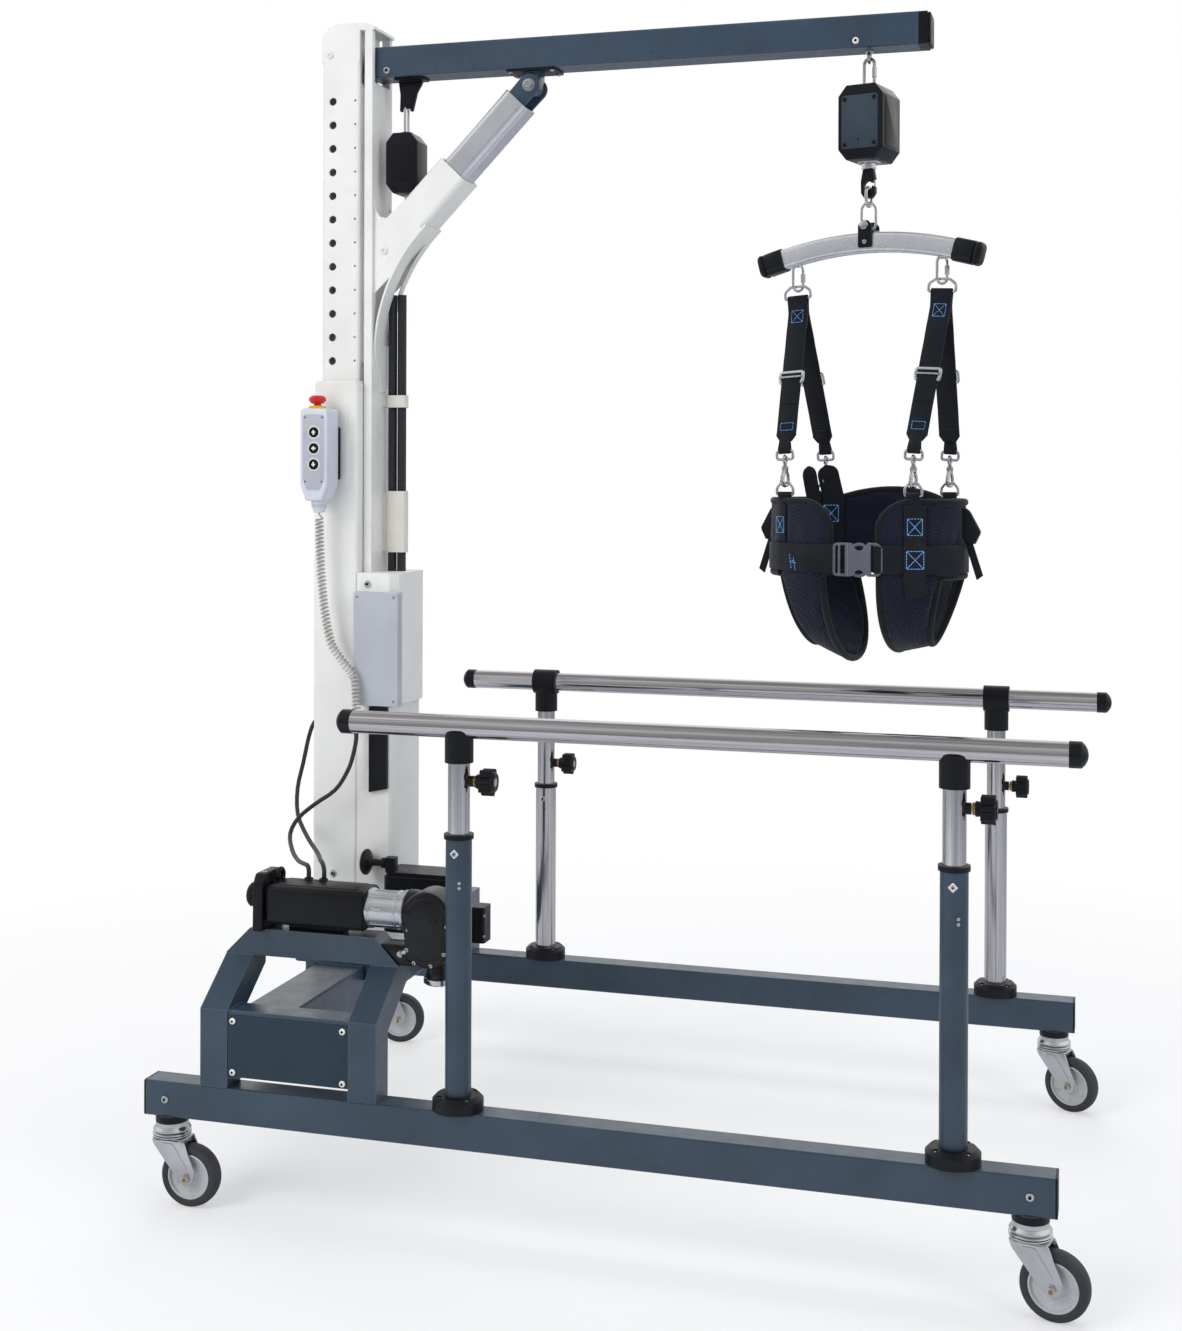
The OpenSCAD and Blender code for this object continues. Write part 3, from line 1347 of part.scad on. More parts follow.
module hanging_straps() {
    half_t = strap_t / 2;
    near_end = strap_run - tab_len;
    color(black) on_load() for (side = [-1, 1], depth = [-1, 1]) along_strap(side, depth) difference() {
        union() {
            rotate([90, 0, 90]) translate([0, 0, -strap_w / 2]) linear_extrude(strap_w)
                polygon([[strap_start - half_t, 0], [strap_start - half_t, -strap_bend],
                    [strap_v(near_end) - half_t, -near_end], [strap_v(near_end) + half_t, -near_end],
                    [strap_start + half_t, -strap_bend], [strap_start + half_t, 0]]);
            rotate([90, 0, 90]) translate([0, 0, -tab_w / 2]) linear_extrude(tab_w)
                polygon([[strap_v(near_end - 4) - half_t, 4 - near_end], [ring_v - half_t, -strap_run],
                    [ring_v + half_t, -strap_run], [strap_v(near_end - 4) + half_t, 4 - near_end]]);
            across(loop_d, strap_w - 4);
            translate([0, ring_v, -strap_run]) across(loop_d, tab_w);
        }
        across(bar_bore, strap_w + 14);
        translate([0, ring_v, -strap_run]) across(bar_bore, strap_w);
    }
}

module strap_hardware() {
    slider_t = 8;
    slider_h = 25;
    slot = strap_t + 2 * seat_gap;
    at = strap_top - slider_z;
    hook_top = strap_point(hook_s)[1] + dring_wire / 2 + hook_wire + 0.5;
    color(steel) on_load() for (side = [-1, 1]) {
        along_strap(side, 1) translate([0, 0, (dring_h - dring_wire) / 2])
            frame_ring(strap_w + 14, dring_h, dring_wire);
        for (depth = [-1, 1]) {
            along_strap(side, depth) {
                translate([0, ring_v, -strap_run - strap_ring_h / 2 + dring_wire / 2])
                    frame_ring(strap_ring_w, strap_ring_h, dring_wire);
                translate([0, strap_v(at), -at]) rotate([strap_open, 0, 0]) difference() {
                    rotate([90, 0, 0]) linear_extrude(slider_t, center = true) difference() {
                        round_rect(strap_w + 10, slider_h, 5);
                        round_rect(strap_w, slider_h - 10, 2);
                    }
                    cube([strap_w + 2 * seat_gap, slot, slider_h + 2], center = true);
                }
            }
            translate([side * hook_u, depth * ring_v, 0]) {
                translate([0, 0, (hook_top + hook_foot_z) / 2]) rotate([0, 0, 90])
                    link(hook_top - hook_foot_z, 24, hook_wire);
                translate([0, 0, loop_z + (wrap_ring_h - dring_wire) / 2])
                    frame_ring(strap_ring_w, wrap_ring_h, dring_wire);
            }
        }
    }
}

// Harness: a wrap round the waist, open at the front, with a sling under each thigh
wrap_bottom = belt_z - belt_w / 2 - 8;
wrap_a = waist_w / 2;
wrap_b = waist_d / 2;
gap_half = 32;
gap_right = acos((gap_u + gap_half) / wrap_a);
gap_left = acos((gap_u - gap_half) / wrap_a);
wrap_sweep = 360 - (gap_left - gap_right);
wrap_cols = 44;
wrap_rows = 5;
corner_r = 58;
rear_rise = 20;
function on_wrap(a, out) = [(wrap_a + out) * cos(a), -(wrap_b + out) * sin(a)];
function wrap_y(u) = wrap_b * sqrt(1 - (u / wrap_a) * (u / wrap_a));
function wrap_angle(i) = gap_right - wrap_sweep * i / wrap_cols;
// The top edge has a round corner at each side of the opening and rises at the rear
function corner_drop(s) = corner_r - sqrt(corner_r * corner_r - pow(max(corner_r - s, 0), 2));
function wrap_edge(a) = let (p = on_wrap(a, 0),
        near_end = min(norm(p - on_wrap(gap_right, 0)), norm(p - on_wrap(gap_left, 0))))
    wrap_top - corner_drop(near_end + 1) + rear_rise * max(0, (-sin(a) - 0.8) / 0.2);
function wrap_grid(out) = [for (r = [0 : wrap_rows]) [for (i = [0 : wrap_cols])
    let (a = wrap_angle(i), rim = r == 0 || r == wrap_rows ? 0.5 : 1, p = on_wrap(a, out * rim))
        [p[0], p[1], wrap_edge(a) - (wrap_edge(a) - wrap_bottom) * r / wrap_rows]]];

// A sling runs from the front of the wrap under the thigh and up to its back
sling_steps = 20;
sling_in = 3;
sling_top = wrap_bottom + 12;
function sling_point(a, side, thick, s) =
    let (low = sin(a), at = s[0] + s[7] * (1 - cos(a)) / 2, u = at + side * s[2], w = s[2] * (1 - s[4] * low), depth = wrap_y(u) - sling_in,
        n = unit([0, cos(a) * (sling_top - s[3]), low * depth]))
    [at + (s[1] - at) * low + side * w, -cos(a) * depth + s[5] * side * low,
        sling_top - (sling_top - s[3]) * pow(low, 0.9) - s[6] * side * low] + thick * n;
function sling_grid(s, thick) = [for (i = [0 : sling_steps]) [for (side = [-1, -0.5, 0, 0.5, 1])
    sling_point(180 * i / sling_steps, side, thick * (abs(side) == 1 ? 0.5 : 1), s)]];
// Each sling: front and lowest middle, half width, lowest height, narrowing, twist, tilt, rear shift
slings = [[-82, -60, 48, thigh_bottom, 0.45, 26, 16, -34],
    [112, 92, 46, thigh_bottom + 14, 0.22, -12, -8, 6]];
ring_angle = atan2(ring_v / wrap_b, ring_u / wrap_a);

module harness_wrap() {
    half_t = pad_t / 2;
    patch = 6.5;
    function strip(a, out) = [for (z = [wrap_top - 4, belt_z + belt_w / 2 + 5]) [for (k = [-1 : 1])
        let (p = on_wrap(a - k * patch, out)) [p[0], p[1], z]]];
    color(black) on_load() {
        quilt(wrap_grid(half_t), wrap_grid(-half_t));
        for (s = slings) quilt(sling_grid(s, -half_t), sling_grid(s, half_t));
        for (side = [-1, 1], depth = [-1, 1]) {
            a = side > 0 ? depth * ring_angle : 180 - depth * ring_angle;
            quilt(strip(a, half_t + 2.5), strip(a, half_t - 1));
            translate([side * hook_u, -depth * ring_v, 0]) difference() {
                union() {
                    translate([0, 0, loop_z]) across(loop_d, tab_w);
                    translate([-tab_w / 2, -6, wrap_top - 16]) cube([tab_w, 12, loop_z - wrap_top + 12]);
                }
                translate([0, 0, loop_z]) across(bar_bore, strap_w);
            }
        }
        for (side = [-1, 1]) mirror([side < 0 ? 1 : 0, 0, 0]) rotate([90, 0, 0])
            for (flap = [[9, [-1, -12], [12, -15], [33, -54], [22, -76], [1, -64]],
                    [6, [2, -60], [16, -62], [38, -128], [27, -136]]])
                linear_extrude(flap[0], center = true)
                    polygon([for (i = [1 : len(flap) - 1]) flap[i] + [wrap_a, wrap_top]]);
    }
}

belt_out = pad_t / 2 + 0.7;
belt_cols = 48;
module waist_belt() {
    buckle_w = 84;
    buckle_h = 58;
    buckle_t = 13;
    middle = (gap_left + gap_right) / 2;
    hidden = 8;
    face = on_wrap(middle, belt_out + 2);
    function band(out) = [for (z = [1, -1]) [for (i = [0 : belt_cols])
        let (p = on_wrap(middle - hidden - (360 - 2 * hidden) * i / belt_cols, out))
            [p[0], p[1], belt_z + z * belt_w / 2]]];
    color(black) on_load() {
        quilt(band(belt_out + 2.5), band(belt_out));
        translate([face[0], face[1], belt_z]) rotate([90, 0, 90 - middle + 3])
            linear_extrude(buckle_t) round_rect(buckle_w, buckle_h, 9);
    }
}

near_base_rail();
far_base_rail();
rail_end_caps();
near_side_frame();
far_side_frame();
cross_beam();
side_panels();
post_sleeves();
post_collars();
frame_screws();
rear_mast_column();
front_mast_column();
mast_cover();
control_box();
relay_box();
pendant_shell();
pendant_bracket();
estop_button();
raise_button();
hold_button();
lower_button();
pendant_cord();
drive_housing();
drive_motor();
drive_gearbox();
drive_cables();
drive_hand_knob();
brake_knob();
near_rear_fork();
near_rear_wheel();
near_front_fork();
near_front_wheel();
far_rear_fork();
far_rear_wheel();
far_front_fork();
far_front_wheel();
near_handrail();
near_rail_fittings();
far_handrail();
far_rail_fittings();
near_rear_knob();
near_front_knob();
far_rear_knob();
far_front_knob();
mast_slider();
mast_front_slider();
brace_sleeve();
brace_tube();
brace_clevis();
balance_lines();
boom();
boom_fittings();
balance_box();
load_box();
load_hook();
spreader_bar();
hanging_straps();
strap_hardware();
harness_wrap();
waist_belt();
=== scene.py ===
from collections import namedtuple
from math import acos, asin, atan, atan2, cos, degrees, exp, pi, radians, sin, sqrt, tan

import bmesh
import bpy
import numpy as np
from mathutils import Matrix, Vector


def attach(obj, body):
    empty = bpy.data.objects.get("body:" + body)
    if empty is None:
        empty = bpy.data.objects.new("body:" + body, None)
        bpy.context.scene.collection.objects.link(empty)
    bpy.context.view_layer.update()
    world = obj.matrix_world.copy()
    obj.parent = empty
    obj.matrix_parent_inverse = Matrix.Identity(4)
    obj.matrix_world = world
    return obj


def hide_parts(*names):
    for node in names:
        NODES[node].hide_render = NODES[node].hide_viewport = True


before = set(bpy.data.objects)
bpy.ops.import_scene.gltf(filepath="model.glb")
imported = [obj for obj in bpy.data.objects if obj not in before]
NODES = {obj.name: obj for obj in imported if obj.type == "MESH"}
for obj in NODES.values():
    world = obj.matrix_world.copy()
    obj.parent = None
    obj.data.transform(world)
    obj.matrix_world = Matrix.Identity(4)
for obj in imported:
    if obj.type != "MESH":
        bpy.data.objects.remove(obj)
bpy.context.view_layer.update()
MM = 0.001


# Materials

def linear(hex_colour):
    """A colour written as the eye sees it, in the renderer's own numbers."""
    parts = [int(hex_colour[i:i + 2], 16) / 255 for i in (1, 3, 5)]
    return tuple(c / 12.92 if c <= 0.04045 else ((c + 0.055) / 1.055) ** 2.4 for c in parts) + (1,)


class Nodes:
    """A node tree, with short names for what the materials and the studio are made of."""

    def __init__(self, tree):
        self.tree = tree

    def node(self, kind, **settings):
        made = self.tree.nodes.new(kind)
        for key, value in settings.items():
            setattr(made, key, value)
        return made

    def put(self, target, value):
        """Link the socket to another, or set it to a number or a colour."""
        if isinstance(value, bpy.types.NodeSocket):
            self.tree.links.new(value, target)
        else:
            target.default_value = linear(value) if isinstance(value, str) else value

    def fill(self, made, *values):
        """Set the node's first inputs, and return its first output if it has one."""
        for socket, value in zip(made.inputs, values):
            self.put(socket, value)
        return made.outputs[0] if made.outputs else None

    def math(self, operation, a, b=0.0, c=0.0, clamp=False):
        return self.fill(self.node("ShaderNodeMath", operation=operation, use_clamp=clamp), a, b, c)

    def mix(self, factor, a, b, **settings):
        made = self.node("ShaderNodeMix", data_type="RGBA", **settings)
        for index, value in ((0, factor), (6, a), (7, b)):
            self.put(made.inputs[index], value)
        return made.outputs[2]

    def either(self, factor, a, b):
        """One shader where factor is 0, and the other where it is 1."""
        return self.fill(self.node("ShaderNodeMixShader"), factor, a, b)


class Finish(Nodes):
    """A material, told apart by place in the object's own frame."""

    def __init__(self, name):
        self.mat = bpy.data.materials.new(name)
        self.mat.use_nodes = True
        super().__init__(self.mat.node_tree)
        self.shader = self.tree.nodes["Principled BSDF"]
        self.place = self.node("ShaderNodeTexCoord").outputs["Object"]

    def noise(self, scale, detail=3.0, rough=0.55, stretch=None):
        place = self.place
        if stretch:
            mapping = self.node("ShaderNodeMapping")
            mapping.inputs["Scale"].default_value = stretch
            place = self.fill(mapping, place)
        made = self.node("ShaderNodeTexNoise")
        for name, value in (("Scale", scale), ("Detail", detail), ("Roughness", rough), ("Vector", place)):
            self.put(made.inputs[name], value)
        return made.outputs["Fac"]

    def spread(self, value, low, high, to_low, to_high):
        """The value's range from low to high, stretched to another range."""
        return self.fill(self.node("ShaderNodeMapRange"), value, low, high, to_low, to_high)

    def contrast(self, value):
        """The value's middle part, stretched over 0 to 1."""
        return self.spread(value, 0.3, 0.7, 0.0, 1.0)

    def bump(self, height, distance, strength=1.0, under=None):
        made = self.node("ShaderNodeBump")
        for name, value in (("Strength", strength), ("Distance", distance), ("Height", height)):
            self.put(made.inputs[name], value)
        if under is not None:
            self.put(made.inputs["Normal"], under)
        return made.outputs[0]

    def round_edges(self, radius):
        return self.fill(self.node("ShaderNodeBevel", samples=8), radius)

    def edge(self, rounded_normal, gain):
        """1 along the object's sharp edges and 0 on its flats."""
        flat = self.node("ShaderNodeNewGeometry").outputs["Normal"]
        dot = self.node("ShaderNodeVectorMath", operation="DOT_PRODUCT")
        self.fill(dot, rounded_normal, flat)
        return self.math("MULTIPLY", self.math("SUBTRACT", 1.0, dot.outputs["Value"]), gain, clamp=True)

    def axis(self, name):
        made = self.node("ShaderNodeSeparateXYZ")
        self.fill(made, self.place)
        return made.outputs[name]

    def surface(self, base, rough, normal, **numbers):
        """Join colour, roughness and normal to the shader, and set its plain numbers."""
        for name, source in (("Base Color", base), ("Roughness", rough), ("Normal", normal)):
            self.put(self.shader.inputs[name], source)
        for name, number in numbers.items():
            self.shader.inputs[name.replace("_", " ")].default_value = number
        return self


def coat(name, colour, dark, light, rough=0.4, metallic=0.0, grain=900.0, depth=0.00006, round_by=0.0016,
         edge_wear_and_highlight=None, edge_wear_and_highlight_gain=2.5, **numbers):
    """Paint, moulding or metal: slow colour changes, fine grain, uneven gloss and softly rounded edges."""
    look = Finish(name)
    base = look.mix(look.contrast(look.noise(9.0, 4.0)), dark, light)
    base = look.mix(look.math("MULTIPLY", look.noise(70.0, 2.0), 0.35), base, colour)
    soft_edges = look.round_edges(round_by) if round_by else None
    # Lighter colour along sharp edges, from the rounded-normal mask: partly edge wear, partly a painted
    # highlight.
    if edge_wear_and_highlight:
        base = look.mix(look.edge(soft_edges, edge_wear_and_highlight_gain), base, edge_wear_and_highlight)
    gloss = look.spread(look.noise(38.0, 3.0), 0.3, 0.7, rough - 0.06, rough + 0.06)
    grains = look.bump(look.noise(grain, 2.0), depth, 0.5, soft_edges)
    return look.surface(base, gloss, grains, Metallic=metallic, **numbers)


def brushed(name, colour, dark, rough, stretch):
    """Metal with fine lines along one way."""
    look = Finish(name)
    lines = look.noise(2.0, 4.0, 0.6, stretch)
    base = look.mix(look.contrast(lines), dark, colour)
    gloss = look.spread(lines, 0.25, 0.75, rough - 0.08, rough + 0.1)
    return look.surface(base, gloss, look.bump(lines, 0.00005, 0.35, look.round_edges(0.0012)), Metallic=1.0)


def weave(name, colour, light, pitch, depth, rough, ribs=(1, 1, 1), holes=0.0, sheen=0.15):
    """Cloth: a small regular weave in all three directions, so that it needs no unwrapping."""
    look = Finish(name)
    x, y, z = (look.axis(n) for n in "XYZ")
    turn = 2 * pi / pitch
    ways = (look.math("ADD", x, y), look.math("SUBTRACT", x, y), z)
    wave = [look.math("SINE", look.math("MULTIPLY", way, turn * rib)) for way, rib in zip(ways, ribs)]
    cloth = look.math("MULTIPLY", look.math("ADD", wave[0], wave[1]), wave[2])
    fuzz = look.math("MULTIPLY", look.noise(420.0, 2.0), 0.6)
    cloth = look.math("ADD", look.math("MULTIPLY", cloth, 0.5), fuzz)
    base = look.mix(look.spread(cloth, -0.6, 1.0, 0.0, 1.0), colour, light)
    slow = look.noise(14.0, 3.0)
    base = look.mix(look.spread(slow, 0.35, 0.75, 0.0, 0.35), base, colour)
    if holes:
        base = look.mix(look.math("GREATER_THAN", look.math("MULTIPLY", cloth, -1.0), holes), base,
                        "#050506")
    gloss = look.spread(slow, 0.3, 0.7, rough - 0.08, min(rough + 0.08, 1.0))
    return look.surface(base, gloss, look.bump(cloth, depth, 0.8), Sheen_Weight=sheen, Sheen_Roughness=0.45,
                        Specular_IOR_Level=0.2)


# The worn colour of each finish below is mixed in along its sharp edges: partly wear, partly a painted
# highlight.
FRAME_PAINT = coat("frame_paint", "#2b3d4c", "#263644", "#304353", 0.32, grain=1500.0, depth=0.000012,
                   round_by=0.0022, edge_wear_and_highlight="#8796a4", edge_wear_and_highlight_gain=1.6, Coat_Weight=0.25, Coat_Roughness=0.2)
BOOM_PAINT = coat("boom_paint", "#2d3f50", "#283848", "#324557", 0.3, grain=1500.0, depth=0.000012,
                  round_by=0.002, edge_wear_and_highlight="#66757f", Coat_Weight=0.25, Coat_Roughness=0.2)
MAST_PAINT = coat("mast_paint", "#e3e3df", "#dbdbd6", "#e8e8e5", 0.42, grain=1200.0, depth=0.00006,
                  round_by=0.0022, edge_wear_and_highlight="#f4f4f2", Coat_Weight=0.1, Coat_Roughness=0.3)
BLACK = coat("moulded_black", "#0b0c10", "#08090c", "#101115", 0.38, grain=2200.0, depth=0.0001,
             round_by=0.0018, edge_wear_and_highlight="#34363b", edge_wear_and_highlight_gain=2.0, Specular_IOR_Level=0.3)
GLOSS = coat("gloss_black", "#15161a", "#101114", "#1a1c21", 0.2, grain=700.0, depth=0.00004,
             round_by=0.0016, edge_wear_and_highlight="#4a4d55", edge_wear_and_highlight_gain=1.6, Coat_Weight=0.06, Coat_Roughness=0.12,
             Specular_IOR_Level=0.16)
PLATE = coat("box_plate", "#303a45", "#2a343f", "#36424e", 0.3, grain=1300.0, depth=0.00005, round_by=0.001,
             edge_wear_and_highlight="#56626e", Coat_Weight=0.1, Coat_Roughness=0.25, Specular_IOR_Level=0.3)
GEAR = coat("gearbox_metal", "#0c0d11", "#08090c", "#111216", 0.3, metallic=0.1, grain=500.0, depth=0.00018,
            round_by=0.002, edge_wear_and_highlight="#3d4048", edge_wear_and_highlight_gain=1.6, Coat_Weight=0.15, Coat_Roughness=0.2,
            Specular_IOR_Level=0.35)
GREY = coat("grey_plastic", "#afb2ba", "#a6a9b2", "#b8bbc3", 0.48, grain=1800.0, depth=0.0001,
            round_by=0.0016, edge_wear_and_highlight="#d6d8dd")
PALE = coat("pale_plastic", "#ccd2dc", "#c3c9d4", "#d5dae3", 0.42, grain=1800.0, depth=0.0001,
            round_by=0.0016, edge_wear_and_highlight="#eceef3")
BUCKLE = coat("buckle_plastic", "#565861", "#4d4f58", "#62646e", 0.3, grain=1800.0, depth=0.00008,
              round_by=0.0012, edge_wear_and_highlight="#a9acb5", edge_wear_and_highlight_gain=4.0)
RED = coat("red_plastic", "#cc0a15", "#b80811", "#da101b", 0.28, grain=1500.0, depth=0.00005,
           Coat_Weight=0.4, Coat_Roughness=0.15)
YELLOW = coat("yellow_plastic", "#e0a80c", "#cf9806", "#ecb71c", 0.36, grain=1500.0, depth=0.00005)
WHITE = coat("white_print", "#dededb", "#d4d4d0", "#e6e6e3", 0.5, grain=1500.0, depth=0.00003,
             round_by=0.0003)
RUBBER = coat("wheel_rubber", "#303134", "#292a2c", "#393a3d", 0.6, grain=900.0, depth=0.00022,
              round_by=0.001, edge_wear_and_highlight="#4c4d50")
HUB = coat("wheel_hub", "#b4b8ba", "#a8acae", "#c2c5c6", 0.42, grain=1300.0, depth=0.00008, round_by=0.001)
CORD = coat("cord_rubber", "#26272b", "#1f2024", "#303136", 0.5, grain=1600.0, depth=0.00008,
            round_by=0.0004)
BRASS = coat("brass", "#b08a4c", "#9a763c", "#c39e5e", 0.3, metallic=1.0, grain=700.0, depth=0.00004)
ZINC = coat("zinc_steel", "#d2d3d4", "#bcbdbf", "#e4e5e5", 0.2, metallic=1.0, grain=260.0, depth=0.00003,
            round_by=0)
# Near-black for screw sockets and the housing's open end: painted shade in hollows.
HOLLOW_SHADE = coat("painted_hollow_shade", "#0d0e10", "#0a0b0c", "#131416", 0.8, grain=900.0, depth=0.00005)
ALUMINIUM = brushed("motor_aluminium", "#e6e8ec", "#c9ccd2", 0.3, (4, 260, 260))
BAR = coat("bar_aluminium", "#dcdee2", "#d0d3d8", "#e6e8eb", 0.3, metallic=0.85, grain=700.0, depth=0.00001,
           round_by=0)
PANEL = coat("panel_paint", "#1d303d", "#192b37", "#213542", 0.34, grain=1500.0, depth=0.000012,
             round_by=0.0016, edge_wear_and_highlight="#56656f", Coat_Weight=0.1, Coat_Roughness=0.25, Specular_IOR_Level=0.3)
PALE_CORD = coat("pale_cord", "#b5b3ac", "#a8a69f", "#c0beb8", 0.45, grain=1600.0, depth=0.00008,
                 round_by=0.0004)
TUBE = coat("tube_silver", "#e8eaee", "#e0e2e8", "#f0f2f5", 0.32, metallic=0.9, grain=700.0, depth=0.00003)
STEEL_LIGHT, STEEL_DARK = "#dedcdd", "#b4b1b4"
ALONG_RAIL, UP_POST = (2, 330, 330), (330, 330, 2)
RAIL_FOOT = 0.782


def rail_finish():
    """Polished tube, with its fine lines along the handrail and up the posts below it."""
    look = Finish("rail_steel")
    on_rail = look.math("GREATER_THAN", look.axis("Z"), RAIL_FOOT)
    along_rail = look.math("MULTIPLY", look.noise(1.2, 4.0, 0.6, ALONG_RAIL), on_rail)
    up_post = look.math("MULTIPLY", look.noise(1.2, 4.0, 0.6, UP_POST), look.math("SUBTRACT", 1.0, on_rail))
    lines = look.math("ADD", along_rail, up_post)
    base = look.mix(look.contrast(lines), STEEL_DARK, STEEL_LIGHT)
    gloss = look.spread(lines, 0.25, 0.75, 0.07, 0.18)
    return look.surface(base, gloss, look.bump(lines, 0.00003, 0.3), Metallic=1.0)


def sleeve_finish():
    """The near post sleeves are painted as the frame is, and the far ones are bright steel."""
    look = Finish("post_sleeve")
    far = look.math("GREATER_THAN", look.axis("Y"), 0.0)
    slow = look.contrast(look.noise(9.0, 4.0))
    lines = look.contrast(look.noise(1.2, 4.0, 0.6, UP_POST))
    base = look.mix(far, look.mix(slow, "#263644", "#304353"), look.mix(lines, STEEL_DARK, STEEL_LIGHT))
    look.put(look.shader.inputs["Metallic"], far)
    gloss = look.math("ADD", look.spread(far, 0.0, 1.0, 0.31, 0.12), look.math("MULTIPLY", lines, 0.08))
    return look.surface(base, gloss, look.bump(look.noise(1500.0, 2.0), 0.00003, 0.4), Coat_Weight=0.2,
                        Coat_Roughness=0.2)


RAIL = rail_finish()
SLEEVE = sleeve_finish()
MESH = weave("mesh_padding", "#090a0f", "#20263a", 0.0062, 0.0009, 0.84, holes=0.3)
WEBBING = weave("webbing", "#0c0e12", "#1c2027", 0.0021, 0.00025, 0.72, ribs=(0.6, 0.6, 1.0))
BINDING = weave("binding_tape", "#0f1014", "#1c1f26", 0.0016, 0.00015, 0.8)
STITCH = weave("blue_thread", "#3f86cc", "#86bff0", 0.0012, 0.0001, 0.6, sheen=0.1)


# Shapes, in millimetres

IDENTITY = Matrix.Identity(4)


def at(x, y, z, rx=0, ry=0, rz=0):
    """A place: turned about X, then Y, then Z, then moved. Angles are in degrees."""
    place = Matrix.Translation((x * MM, y * MM, z * MM))
    for angle, axis in ((rz, "Z"), (ry, "Y"), (rx, "X")):
        place = place @ Matrix.Rotation(radians(angle), 4, axis)
    return place


def circle(r, n=16):
    return [(r * cos(radians(360 * i / n)), r * sin(radians(360 * i / n))) for i in range(n)]


def arc(r, start, end, n, x=0, y=0, closed=False):
    """Points round (x, y), between two angles in radians. A closed one leaves out the last point."""
    return [(x + r * cos(a), y + r * sin(a)) for a in np.linspace(start, end, n, endpoint=not closed)]


def ball(r, n):
    """The profile of a ball, for lathe."""
    return [(r * sin(a), r * cos(a)) for a in np.linspace(0.001, pi, n)]


def upright(outline):
    """An outline of X and Y stood up in X and Z."""
    return [(x, 0, z) for x, z in outline]


def rounded(points, radius, closed=True, n=4):
    """The outline with each corner turned into a small arc."""
    out = []
    count = len(points)
    for i, p in enumerate(points):
        if not closed and i in (0, count - 1):
            out.append(tuple(p))
            continue
        r = radius[i] if hasattr(radius, "__len__") else radius
        a, b = np.array(points[i - 1], float), np.array(points[(i + 1) % count], float)
        p = np.array(p, float)
        u, v = a - p, b - p
        lu, lv = np.linalg.norm(u), np.linalg.norm(v)
        if r <= 0 or lu < 1e-9 or lv < 1e-9:
            out.append(tuple(p))
            continue
        half = acos(max(-1.0, min(1.0, float(u @ v / lu / lv)))) / 2
        if half > pi / 2 - 0.02:
            out.append(tuple(p))
            continue
        cut = min(r / tan(half), lu * 0.49, lv * 0.49)
        start, end = p + u / lu * cut, p + v / lv * cut
        for k in range(n + 1):
            t = k / n
            out.append(tuple((1 - t) ** 2 * start + 2 * t * (1 - t) * p + t ** 2 * end))
    return out


def rect(w, h, r=0.0, n=4):
    points = [(-w / 2, -h / 2), (w / 2, -h / 2), (w / 2, h / 2), (-w / 2, h / 2)]
    return rounded(points, r, True, n) if r else points


def new_object(name, data):
    made = bpy.data.objects.new(name, data)
    bpy.context.scene.collection.objects.link(made)
    return made


